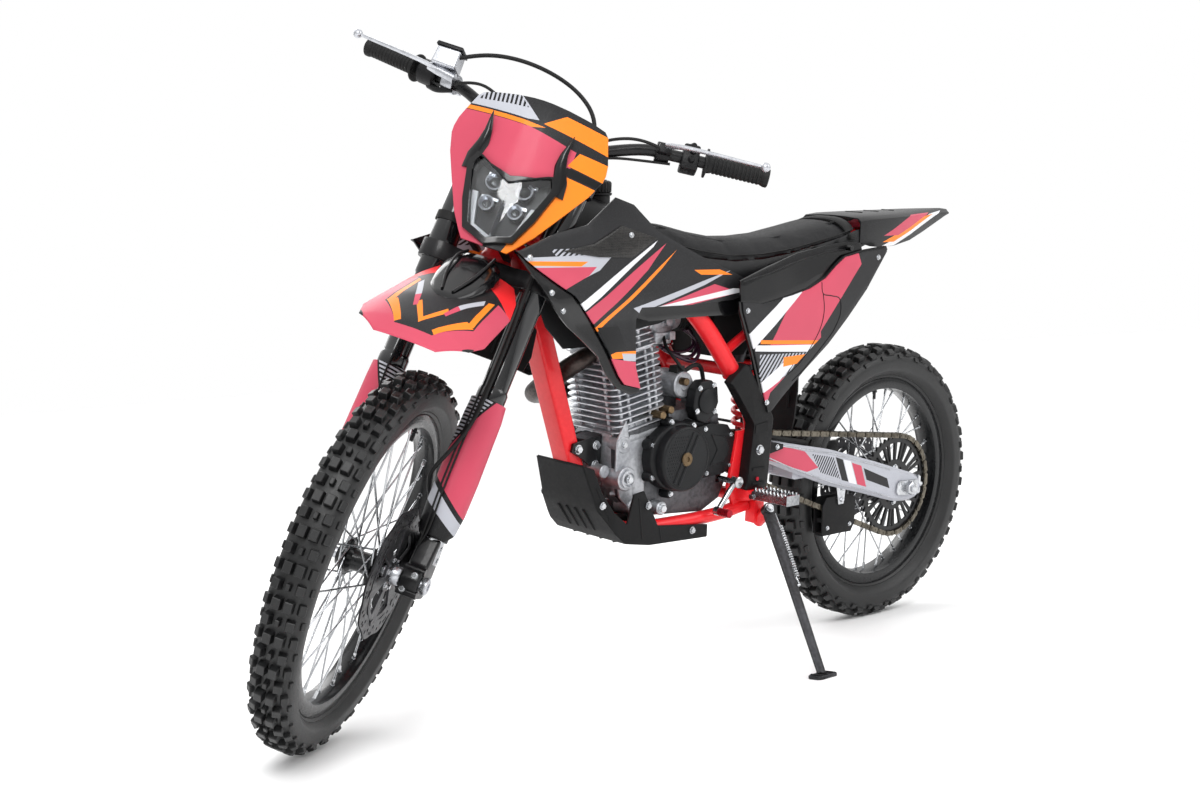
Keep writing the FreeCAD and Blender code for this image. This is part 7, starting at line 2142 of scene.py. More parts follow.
@dataclass
class Headlamp:
    """The lamp: a dark case with four projectors, a light bar and a clear cover.

    Args:
        plate: the number plate that it sits in.
    """

    plate: NumberPlate

    def build(self) -> list[bpy.types.Object]:
        """The lamp's case, projectors, light bar, blade and cover."""
        plate = self.plate
        inner = plate.grown(plate.window, -1.2)
        whole = plate.whole(inner)
        back = 78.0
        case = Form()
        case.prism(list(whole), back, back + 3, "yz")
        rim = []
        for y, z in whole:
            cy, cz = y * 0.96, 668 + (z - 668) * 0.965
            front = plate.face(y, z) - 1.0
            rim.append([(back + 1, y, z), (front, y, z), (front, cy, cz),
                        (back + 1, cy * 0.93, 668 + (cz - 668) * 0.93)])
        case.loft(rim, closed=True)
        made = [STEERING.piece("lamp_case", case, SATIN_BLACK, "black_paint", "headlamp", smooth=30.0)]
        housings, lenses = Form(), Form()
        for y, z, radius in ((28, 716, 15), (-30, 716, 15), (26, 674, 13), (-30, 674, 13)):
            place = Matrix.Translation((0, y, z)) @ turn(-90, "Z")
            cup = Form().lathe([(radius, 80), (radius, 98), (radius + 1.5, 100), (radius - 1, 101),
                                (radius - 2.5, 96), (radius - 5, 90), (radius - 4, 80)], 32, ringed=True)
            housings.join(cup, place)
            ball = [(radius - 4.2, 88)] + [((radius - 4.2) * math.cos(a), 88 + 8 * math.sin(a)) for a in
                                           (math.radians(15 * i) for i in range(1, 6))] + [(0.3, 96.2)]
            lenses.join(Form().lathe(ball, 24), place)
            bar = Form().box((79, y - radius - 3, z + radius - 2), (86, y + radius + 3, z + radius + 3))
            housings.join(bar)
        made.append(STEERING.piece("lamp_projectors", housings, MACHINED, "machined_alloy"))
        made.append(STEERING.piece("projector_lenses", lenses, CLEAR_LENS, "lens", smooth=60.0))
        vee = ((-68, 690), (-55, 690), (-40, 632), (0, 618), (40, 632), (55, 690), (68, 690), (48, 622),
               (0, 604), (-48, 622))
        bars = Form().prism([(y * 0.93, z) for y, z in vee], 84, 96, "yz")
        bars.bevel(1.6, 2)
        made.append(STEERING.piece("running_light", bars, LIGHT_BAR, "lens"))
        blade = Form().loft([
            [(84, -8, 700), (100, 0, 702), (84, 8, 700), (80, 0, 700)],
            [(84, -6, 660), (104, 0, 662), (84, 6, 660), (80, 0, 660)],
            [(86, -2, 610), (104, 0, 612), (86, 2, 610), (82, 0, 610)],
        ])
        blade.box((79, -44, 726), (88, 44, 731))
        made.append(STEERING.piece("lamp_blade", blade.bevel(0.8, 2), BRIGHT_TRIM, "plated"))
        cover = Form().sheet(whole, [], lambda y, z: plate.face(y, z)
                             + 5.0 - 5.0 * (abs(z - 680) / 80) ** 2, 2.0, "yz", 3)
        made.append(STEERING.piece("lamp_cover", cover, CLEAR_LENS, "lens", smooth=60.0))
        return made


@dataclass
class FrontFender:
    """The high front mudguard with its raised glossy centre.

    Args:
        outline: half of its outline, as (forward, left) pairs from the back to the tip.
        line: the centre line, as (forward, up) pairs.
        drop: how far the edge falls, by the place forward.
    """

    outline: tuple = ((-92, 0), (-92, 40), (-40, 50), (40, 56), (96, 92), (140, 104), (262, 112), (300, 100),
                      (331, 56), (332, 0))
    line: tuple = ((-92, 546), (-20, 561), (60, 564), (140, 522), (230, 458), (300, 392), (331, 353))
    drop: tuple = ((-92, 14), (40, 34), (140, 50), (230, 40), (300, 22), (331, 8))

    def face(self, x: float, y: float) -> float:
        """The height of the mudguard's face at a place.

        Args:
            x: the place ahead.
            y: the place to the left.

        Returns:
            The height.
        """
        up = lerp_table(self.line, x)[0]
        fall = lerp_table(self.drop, x)[0]
        share = min(1.0, abs(y) / 110.0)
        return up - fall * (0.12 * share + 0.88 * share ** 2.4)

    def build(self) -> list[bpy.types.Object]:
        """The mudguard and its centre."""
        guard = Form().sheet(mirrored_half(self.outline), [], self.face, 3.4, "xy", 4).bevel(1.0, 2, 50)
        made = [STEERING.piece("mudguard_panel", guard, FENDER_LIVERY, "graphic_plastic", "front_fender",
                               smooth=42.0)]
        rows = []
        table = ((80, 584, 38, 34), (104, 578, 50, 40), (132, 560, 52, 36), (162, 530, 48, 26),
                 (192, 498, 40, 16), (212, 476, 26, 9), (226, 462, 12, 3))
        for x, up, half, deep in table:
            ring = []
            for i in range(13):
                a = math.pi * i / 12
                lift = math.sin(a) ** 0.75
                ring.append((x, half * math.cos(a), up - deep + deep * lift))
            ring += [(x, half * 0.5, up - deep - 3), (x, -half * 0.5, up - deep - 3)][::-1]
            rows.append(ring)
        scoop = Form().loft(rows).bevel(1.0, 2, 50)
        made.append(STEERING.piece("mudguard_centre", scoop, GLOSS_PLASTIC, "black_plastic", "fender_scoop",
                                   smooth=50.0))
        ribs = Form()
        for side in (1, -1):
            ribs.pipe(smooth_line([(100, side * 26, 580), (140, side * 30, 556), (180, side * 24, 516),
                                   (214, side * 10, 476)], 5), 2.6, 8)
            for x, y in ((-60, 30), (20, 36)):
                ribs.rod((x, side * y, self.face(x, y) - 2), (x, side * y, self.face(x, y) + 3), 7, 12)
        flap = Form()
        rings = []
        for z, ahead, half in ((550, -66, 60), (520, -76, 104), (470, -82, 112), (438, -80, 108)):
            rings.append([(ahead, -half, z), (ahead + 7, 0, z), (ahead, half, z), (ahead - 4, half, z),
                          (ahead + 3, 0, z), (ahead - 4, -half, z)])
        flap.loft(rings)
        for y in (-80, -40, 40, 80):
            flap.rod((-74, y, 452), (-72, y, 516), 2.4, 8)
        made.append(STEERING.piece("mudguard_flap", flap, MATT_PLASTIC, "black_plastic"))
        made.append(STEERING.piece("mudguard_ribs", ribs, SATIN_PLASTIC, "black_plastic", smooth=50.0))
        return made


@dataclass
class Fork:
    """The two fork legs with their clamps, guards, feet and axle."""

    def leg(self, profile: Sequence[tuple[float, float]]) -> Form:
        """A turned shape on both legs.

        Args:
            profile: its (radius, height) pairs.

        Returns:
            The shape.
        """
        upright = Matrix.Translation((LEG_AHEAD, LEG_SIDE, 0)) @ turn(90, "X")
        return Form().join(Form().lathe(profile, 40), upright).both()

    def tubes(self) -> list[bpy.types.Object]:
        """The black outer tubes, the bright inner ones and the caps."""
        outer = self.leg([(22, 340), (25.5, 340), (27.5, 343), (27.5, 366), (25.5, 370), (24.6, 372),
                          (24.6, 524), (26.8, 528), (26.8, 798), (25.6, 800), (22, 800)])
        made = [STEERING.piece("outer_tubes", outer, GLOSS_BLACK, "black_paint", "fork_tubes")]
        inner = self.leg([(20, 40), (21.3, 41), (21.3, 350), (20, 352)])
        inner.join(self.leg([(22, 797), (22, 803), (20, 805), (12, 805), (11, 808), (4, 808), (3, 806),
                             (0.5, 806)]))
        made.append(STEERING.piece("inner_tubes", inner, BRIGHT_STEEL, "steel", "fork_stanchions"))
        return made

    def clamps(self) -> list[bpy.types.Object]:
        """The two clamps with their pinch bolts, the stem and the bar's mounts."""
        form = Form()
        for low, high, front in ((557, 591, 44), (762, 786, 40)):
            half = [(-34, 0), (-34, 40), (-20, 60), (-9, 78), (-6, 100), (0, 118), (14, 129), (28, 132),
                    (44, 128), (56, 116), (62, 98), (60, 82), (50, 66), (front, 50), (front, 0)]
            whole = mirrored_half(half)
            holes = [[(LEG_AHEAD + 25.4 * math.cos(a), side * LEG_SIDE + 25.4 * math.sin(a)) for a in
                      (2 * math.pi * i / 32 for i in range(32))] for side in (1, -1)]
            form.join(Form().sheet(whole, holes, lambda x, y, top=high: float(top), high - low,
                                   "xy").bevel(2.4, 2))
        form.rod((0, 0, 553), (0, 0, 800), 14.5, 28)
        form.rod((0, 0, 786), (0, 0, 797), 20, 6)
        for side in (1, -1):
            for low in (564, 577, 768, 779):
                form.rod((-2, side * 106, low), (-14, side * 106, low), 5.0, 6)
            block = Form().box((-12, side * 34 - 13, 785), (36, side * 34 + 13, 852), 0.92)
            form.join(block.bevel(4, 3))
        made = [STEERING.piece("fork_yokes", form, SATIN_BLACK, "black_paint", "fork_clamps", smooth=38.0)]
        places = []
        for side in (1, -1):
            for x in (-4, 28):
                for y in (27, 41):
                    places.append(((x, side * y, 851.5), (0, 0, 1), 4.0))
            places.append(((LEG_AHEAD, side * LEG_SIDE, 806), (0, 0, 1), 6.0))
        made.append(STEERING.bolts("yoke_bolts", places))
        return made

    def guards(self) -> list[bpy.types.Object]:
        """The striped guards in front of the inner tubes."""
        table = ((86, 31.0, 60), (100, 34.5, 84), (140, 37.0, 100), (200, 37.5, 106), (270, 36.0, 108),
                 (318, 35.2, 108), (346, 34.0, 84))
        rings = []
        for height, radius, spread in table:
            ring = []
            for wall in (0.0, 3.0):
                angles = [math.radians(-spread + 2 * spread * i / 18) for i in range(19)]
                for a in (angles if wall == 0.0 else reversed(angles)):
                    crease = 1.0 + 0.05 * math.exp(-(math.degrees(a) / 16) ** 2)
                    r = (radius - wall) * (crease if wall == 0.0 else 1.0)
                    ring.append((LEG_AHEAD + r * math.cos(a), LEG_SIDE + r * math.sin(a), height))
            rings.append(ring)
        guard = Form().loft(rings).bevel(0.8, 1, 50).both()
        made = [STEERING.piece("striped_guards", guard, GUARD_LIVERY, "graphic_plastic", "fork_guards")]
        return made

    def feet(self) -> list[bpy.types.Object]:
        """The legs' feet with the axle, the caliper on the left and the lines behind the guards."""
        form = Form()
        outline = [(14, -22), (36, -25), (64, -25), (80, -16), (86, 2), (80, 18), (62, 30), (54, 62),
                   (48, 84), (8, 84), (4, 60), (3, 20), (6, -10)]
        form.join(Form().prism(outline, 79, 115).bevel(5, 3))
        form.join(Form().lathe([(22, 84), (25.5, 84), (25.5, 96), (23, 98), (22, 98)], 36, ringed=True),
                  Matrix.Translation((LEG_AHEAD, LEG_SIDE, 0)) @ turn(90, "X"))
        for z in (-14, 14):
            form.rod((70, 79, z * 1.5), (70, 117, z * 1.5), 7, 16)
        form.box((2, 76, 20), (-26, 84, 84), 0.96)
        form.both()
        made = [STEERING.piece("fork_feet", form, SATIN_BLACK, "black_paint")]
        spindle = Form().lathe([(0.5, -129), (12, -129), (14, -127), (14, -119), (10, -118), (10, 118),
                                (15, 118.5), (16, 120), (16, 127), (13, 129), (7, 129), (6.4, 124),
                                (0.5, 124)], 32)
        for side in (1, -1):
            spindle.join(Form().lathe([(10, side * 62), (17, side * 62), (17, side * 76), (15, side * 78.5),
                                       (10, side * 78.5)], 32, ringed=True))
        placed = Form().join(spindle, Matrix.Translation((62.6, 0, 0)))
        made.append(STEERING.piece("front_spindle", placed, MACHINED, "machined_alloy", "front_axle"))
        body = [(-4, 88), (-36, 90), (-64, 84), (-78, 62), (-76, 34), (-60, 10), (-34, 6), (-14, 16),
                (-8, 40), (-2, 60)]
        grip = Form().join(Form().prism(body, 61, 92).bevel(5, 3))
        grip.join(Form().prism([(x * 0.9 - 6, z * 0.9 + 4) for x, z in body], 39, 47).bevel(3, 2))
        grip.join(Form().prism([(-56, 88), (-78, 60), (-76, 34), (-62, 30), (-60, 60), (-46, 76)], 45,
                               64).bevel(1, 1))
        for x, z in ((-34, 62), (-48, 36)):
            grip.join(Form().lathe([(16, 90), (16, 95), (13, 97), (9, 97), (8, 94), (0.5, 94)], 28),
                      across((x, z)))
        made.append(STEERING.piece("front_brake_body", grip, SATIN_BLACK, "black_paint", "front_caliper"))
        places = [((-20, 92, 78), (0, 1, 0), 6.0), ((-66, 92, 44), (0, 1, 0), 5.0),
                  ((-12, 84, 76), (0, 1, 0), 6.5), ((-12, 84, 32), (0, 1, 0), 6.5),
                  ((-34, 97, 62), (0, 1, 0), 5.0), ((-48, 97, 36), (0, 1, 0), 5.0)]
        for side in (1, -1):
            places += [((84, side * 104, 10), (1, 0, 0), 5.0), ((78, side * 90, -18), (1, 0, 0), 5.0),
                       ((28, side * 115, 50), (0, side, 0), 5.5), ((30, side * 115, 72), (0, side, 0), 5.0),
                       ((28, side * 115, -8), (0, side, 0), 6.0)]
        made.append(STEERING.bolts("fork_foot_bolts", places))
        cables = Form()
        for side, ahead in ((1, 0.0), (1, 7.0), (-1, 0.0)):
            cables.pipe(smooth_line([(60, side * (LEG_SIDE - 6) - ahead, 400),
                                     (67.5, side * (LEG_SIDE - 6) - ahead, 340),
                                     (68.5, side * (LEG_SIDE - 8) - ahead, 250),
                                     (68.8, side * (LEG_SIDE - 8) - ahead, 170),
                                     (66.4, side * (LEG_SIDE - 6) - ahead, 100),
                                     (50, side * (LEG_SIDE - 16), 60), (20, side * (LEG_SIDE - 20), 44)],
                                    6), 1.9, 8)
        made.append(STEERING.piece("guard_cables", cables, SOFT_RUBBER, "rubber", smooth=60.0))
        return made

    def build(self) -> list[bpy.types.Object]:
        """All of the fork's pieces."""
        return [*self.tubes(), *self.clamps(), *self.guards(), *self.feet()]


@dataclass
class Handlebar:
    """The bar with its grips, levers, master cylinder and switches.

    Args:
        route: the left half of the bar's line.
    """

    route: tuple = ((12, 0, 838.4), (12, 62, 838.4), (-2.4, 172, 890.4), (-16, 236, 905), (-49.6, 409.6, 932))

    def line(self) -> list[Vector]:
        """The left half of the bar's line, rounded."""
        return smooth_line(self.route, 7)

    def at(self, share: float) -> tuple[Vector, Vector]:
        """The point and the way at a share of the bar's left half.

        Args:
            share: the share, 0 in the middle and 1 at the end.

        Returns:
            Both.
        """
        line = self.line()
        place = share * (len(line) - 1)
        i = min(int(place), len(line) - 2)
        return line[i].lerp(line[i + 1], place - i), (line[i + 1] - line[i]).normalized()

    def grip(self) -> Form:
        """The left grip: a ribbed sleeve with a flange and a closed end, along y."""
        profile = [(11.5, -122), (17, -122), (27, -121), (27.5, -119), (27, -117), (18, -115), (17.4, -112)]
        for i in range(13):
            start = -108 + i * 7.6
            profile += [(16.6, start), (15.4, start + 1.2), (15.4, start + 3.0), (16.6, start + 4.2)]
        profile += [(17.4, -9), (18.4, -7), (18.4, -1), (16, 1), (8.6, 1), (8.4, -12), (2.0, -12)]
        return Form().lathe(profile, 28)

    def lever(self) -> Form:
        """The left lever: a flat blade with a ball end, in the fork's axes."""
        line = smooth_line([(34, 226, 902), (44, 262, 906), (40, 320, 913), (30, 372, 920), (29, 404, 923)],
                           5)
        form = Form().pipe(line, [7.5, 8.6, 8.4, 8.0, 7.6, 7.2, 6.9, 6.7, 6.5, 6.4, 6.2, 6.1, 6.0, 5.9, 5.8,
                                  5.7, 5.6, 5.5, 5.4, 5.3, 5.2][:len(line)], 12, 0.55)
        form.join(Form().lathe([(0.4, -9)] + [(9 * math.sin(math.radians(a)), -9 * math.cos(math.radians(a)))
                                             for a in range(15, 180, 15)] + [(0.4, 9)], 20),
                  Matrix.Translation((29, 409, 923.5)))
        return form

    def build(self) -> list[bpy.types.Object]:
        """All of the bar's pieces."""
        line = self.line()
        radii = []
        for point in line:
            wide = max(0.0, min(1.0, (110 - abs(point.y)) / 50))
            radii.append(11.0 + 3.3 * wide)
        whole = [Vector((p.x, -p.y, p.z)) for p in reversed(line[1:])] + line
        bar = Form().pipe(whole, radii[1:][::-1] + radii, 24)
        made = [STEERING.piece("fat_bar", bar, SATIN_BLACK, "black_paint", "handlebar")]
        end, way = line[-1], (line[-1] - line[-2]).normalized()
        lie = laid(way)
        sleeve = Form().join(self.grip(), Matrix.Translation(end) @ lie)
        sleeve.both()
        made.append(STEERING.piece("ribbed_grips", sleeve, SOFT_RUBBER, "rubber", "grips"))
        levers = self.lever().both()
        made.append(STEERING.piece("alloy_levers", levers, MACHINED, "machined_alloy", "hand_levers"))
        made.append(STEERING.piece("bar_clamps", self.clamp_tops(), SATIN_BLACK, "black_paint"))
        made += self.controls()
        return made

    def clamp_tops(self) -> Form:
        """The two caps that hold the bar on its mounts."""
        form = Form()
        for side in (1, -1):
            ring = [(12 + 23.5 * math.cos(a), 838.4 + 23.5 * math.sin(a))
                    for a in (math.radians(15 * i) for i in range(24))]
            form.join(Form().prism(ring, side * 34 - 13, side * 34 + 13).bevel(1.6, 2))
        return form

    def controls(self) -> list[bpy.types.Object]:
        """The perches, the switch block, the throttle and the right master cylinder."""
        dark, bright = Form(), Form()
        for side in (1, -1):
            spot, way = self.at(0.69)
            spot = Vector((spot.x, side * spot.y, spot.z))
            way = Vector((way.x, side * way.y, way.z))
            lie = laid(way)
            clamp = Form().lathe([(11.2, -13), (18.5, -13), (19.5, -11), (19.5, 11), (18.5, 13),
                                  (11.2, 13)], 28, ringed=True)
            place = Matrix.Translation(spot) @ lie
            (dark if side > 0 else bright).join(clamp, place)
            perch = Form().box((10, -12, -9), (34, 14, 9), 0.9).bevel(3, 2)
            (dark if side > 0 else bright).join(perch, place)
        spot, way = self.at(0.8)
        lie = laid(way)
        block = Form().box((-22, -17, -24), (22, 17, 24), 0.9).bevel(5, 3)
        dark.join(block, Matrix.Translation(spot) @ lie)
        for dx, dz in ((16, 10), (17, -6), (10, 22)):
            dark.join(Form().lathe([(6, -4), (6, 8), (4.5, 10), (0.4, 10)], 16),
                      Matrix.Translation(spot) @ lie @ Matrix.Translation((dx, 0, dz)) @ turn(-70, "Z"))
        right = Vector((spot.x, -spot.y, spot.z))
        back = laid(Vector((way.x, -way.y, way.z)))
        house = Form().lathe([(11.2, -22), (20, -22), (24, -18), (24, 16), (20, 20), (11.2, 20)], 32,
                             ringed=True)
        dark.join(house, Matrix.Translation(right) @ back)
        boot = smooth_line([(right.x - 4, right.y + 6, right.z - 20),
                            (right.x + 14, right.y + 30, right.z - 30),
                            (right.x + 22, right.y + 60, right.z - 26)], 6)
        dark.pipe(boot, [8 - 0.35 * i for i in range(len(boot))], 14)
        body = Form().pipe([(36, -196, 896), (36, -232, 902), (36, -252, 905)], [9.5, 9.5, 7.5], 20)
        bright.join(body)
        tank = Form().box((14, -246, 908), (58, -196, 944), 0.94).bevel(4, 3)
        bright.join(tank)
        cap = Form().box((12, -248, 944), (60, -194, 951), 0.94).bevel(2, 2)
        dark.join(cap)
        made = [STEERING.piece("bar_housings", dark, SATIN_PLASTIC, "black_plastic", "bar_controls"),
                STEERING.piece("brake_cylinder", bright, MACHINED, "machined_alloy")]
        return made


@dataclass
class Lines:
    """The brake hose and the bar's cables, each on one smooth curve.

    Args:
        hose: the hose's points, along the fork's axes.
        thick: the hose's radius.
    """

    hose: tuple = ((44, -232, 916), (46, -190, 940), (44, -140, 962), (40, -82, 970), (38, -20, 964),
                   (40, 38, 944), (46, 84, 908), (56, 104, 852), (69, 106, 780), (72, 100, 700),
                   (76, 96, 620), (77, 96, 540), (75, 97, 460), (74, 97, 380), (74, 96, 300), (75, 77, 236),
                   (66, 54, 190), (36, 54, 168), (2, 56, 152), (-28, 58, 128), (-40, 58, 91.1))
    thick: float = 4.0

    def curve(self, name: str, points: Sequence[Sequence[float]], radius: float) -> bpy.types.Mesh:
        """A round line along one smooth curve.

        Args:
            name: the mesh's name.
            points: the curve's control points, along the fork's axes.
            radius: the line's radius.

        Returns:
            The mesh in the row frame.
        """
        data = bpy.data.curves.new(name, "CURVE")
        data.dimensions = "3D"
        spline = data.splines.new("NURBS")
        spline.points.add(len(points) - 1)
        for knot, point in zip(spline.points, points):
            knot.co = (*FORK.at(*point), 1.0)
        spline.order_u = 3
        spline.use_endpoint_u = True
        spline.resolution_u = 6
        data.bevel_depth = radius * MM
        data.bevel_resolution = 3
        data.use_fill_caps = True
        holder = added(name, data)
        mesh = evaluated(holder)
        bpy.data.objects.remove(holder)
        soften(mesh, 60.0)
        return mesh

    def build(self) -> list[bpy.types.Object]:
        """The hose, the clutch and throttle cables, and the wires."""
        hose = self.curve("front_brake_line", self.hose, self.thick)
        made = [piece("front_brake_line", hose, "steering", SOFT_RUBBER, ("brake_hose",))]
        meshes = [self.curve("clutch_cable", ((30, 214, 896), (34, 180, 900), (36, 130, 884), (34, 84, 850),
                                              (26, 60, 806), (8, 52, 772), (-22, 46, 752)), 3.0),
                  self.curve("throttle_cable", ((24, -196, 890), (32, -160, 906), (36, -110, 896),
                                                (32, -72, 862), (22, -56, 812), (-4, -50, 772),
                                                (-24, -44, 756)), 3.0),
                  self.curve("switch_wire", ((-6, 236, 884), (-4, 190, 874), (8, 130, 856), (20, 80, 826),
                                             (24, 44, 790)), 2.6)]
        made.append(joined("bar_cables", meshes, "steering", SOFT_RUBBER))
        return made


# Engine and frame: the chassis' metal, along the bike's axes

COVER_MIDDLE = (738.0, 463.4)


def round_box(half_x: float, half_y: float, corner: float, steps: int = 5) -> list[tuple[float, float]]:
    """A rectangle's outline with round corners, about the origin.

    Args:
        half_x: its half length.
        half_y: its half width.
        corner: the corners' radius.
        steps: the steps round a corner.

    Returns:
        The outline.
    """
    points = []
    for quarter, (sx, sy) in enumerate(((1, 1), (-1, 1), (-1, -1), (1, -1))):
        for step in range(steps + 1):
            a = math.radians(90 * quarter + 90 * step / steps)
            points.append((sx * (half_x - corner) + corner * math.cos(a),
                           sy * (half_y - corner) + corner * math.sin(a)))
    return points


def disc_points(middle: tuple[float, float], radius: float, count: int, start: float = 0.0) -> list[tuple]:
    """Points evenly round a circle.

    Args:
        middle: its middle.
        radius: its radius.
        count: how many they are.
        start: the first one's angle, in degrees.

    Returns:
        The points.
    """
    return [(middle[0] + radius * math.cos(math.radians(start + 360 * i / count)),
             middle[1] + radius * math.sin(math.radians(start + 360 * i / count))) for i in range(count)]


def across(middle: tuple[float, float]) -> Matrix:
    """Where a form turned about y goes when its middle is at a place along and up."""
    return Matrix.Translation((middle[0], 0.0, middle[1]))


@dataclass
class Barrel:
    """The finned cylinder with its head, its ribs and its exhaust port.

    Args:
        fins: how many fins the cylinder has.
        pitch: the fins' spacing, in millimetres.
        head_fins: how many fins the head has.
    """

    fins: int = 12
    pitch: float = 12.4
    head_fins: int = 5

    def plate(self, share: float, height: float, thick: float) -> Form:
        """One fin with round corners and a thinner rim.

        Args:
            share: its size, where 1 is a fin of the cylinder.
            height: its underside.
            thick: its thickness.

        Returns:
            The fin.
        """
        form = Form()
        rings = []
        for lift, inset in ((0.0, 1.2), (0.5, 0.0), (thick - 0.5, 0.0), (thick, 1.2)):
            outline = round_box(71.0 * share - inset, 75.0 * share - inset, 22 * share)
            rings.append([(x, y, height + lift) for x, y in outline])
        return form.loft(rings)

    def build(self) -> list[bpy.types.Object]:
        """The cylinder's pieces."""
        mesh = repeated(Repeats.ROW, "cylinder_fins", self.plate(1.0, 3.0, 3.2), ENGINE, FIN_ALLOY,
                        Count=self.fins, Step=(0.0, 0.0, self.pitch))
        made = [piece("cylinder_fins", mesh, "chassis", FIN_ALLOY)]
        head = Form()
        for i in range(self.head_fins):
            head.join(self.plate(0.94 - 0.03 * i, 156 + i * 11.6, 3.0))
        made.append(MOTOR.piece("head_fins", head, FIN_ALLOY, "cast_alloy", smooth=35.0))
        core = Form()
        for low, high, half, corner in ((-8, 152, 51, 22), (150, 214, 47, 18)):
            core.loft([[(x, y, z) for x, y in round_box(half, half, corner)] for z in (low, high)])
        core.loft([[(x, y, z) for x, y in round_box(half, half + 3, 16)] for z, half in
                   ((149, 60), (150, 61), (155, 61), (156, 60))])
        for x, y in ((52, 68), (30, 70), (-30, 70), (-52, 68), (67, 44), (67, -44)):
            core.rod((x * 0.93, y * 0.93, 4), (x * 0.93, y * 0.93, 150), 3.6, 10)
        for y in (56.0, 40.0):
            core.rod((-22, y, 150), (-22, y, 212), 5, 12)
        rocker = Form()
        rings = [[(x, y, z) for x, y in round_box(hx, hy, 15)]
                 for z, hx, hy in ((208, 52, 50), (211, 54, 52), (216, 54, 52), (219, 50, 48),
                                   (236, 47, 45), (243, 40, 38), (245, 28, 26))]
        rocker.loft(rings)
        for x, y in ((46, 0), (-46, 0), (0, 44), (0, -44)):
            rocker.rod((x, y, 208), (x, y, 222), 8, 14)
        core.join(rocker)
        made.append(MOTOR.piece("cylinder_core", core.bevel(0.8, 1, 60), CAST_ALLOY, "cast_alloy",
                                "cylinder", smooth=35.0))
        made.append(self.port())
        places = [((x, y, 156), (0, 0, 1), 5.0) for x in (54, -54) for y in (54, -54)]
        places += [((x, y, 222), (0, 0, 1), 4.6) for x, y in ((46, 0), (-46, 0), (0, 44), (0, -44))]
        places += [((x, y, -1.0), (0, 0, 1), 5.0) for x in (62, -62) for y in (50, -50)]
        made.append(MOTOR.bolts("cylinder_bolts", places))
        return made

    def port(self) -> bpy.types.Object:
        """The round exhaust flange on the head's front with its two nuts."""
        lie = Matrix.Translation((50, 12, 160)) @ turn(-90, "Z")
        form = Form().lathe([(14, -6), (22, -6), (26, -2), (26, 12), (24, 14), (17, 14), (15, 10)], 32,
                            ringed=True)
        for y in (30, -30):
            form.join(Form().lathe([(0.5, -2), (9, -2), (9, 9), (7, 10), (4, 10), (4, 20), (0.5, 20)], 16),
                      Matrix.Translation((y, 0, 0)))
        whole = Form().join(form, lie)
        return MOTOR.piece("exhaust_port", whole, CAST_ALLOY, "cast_alloy", smooth=35.0)


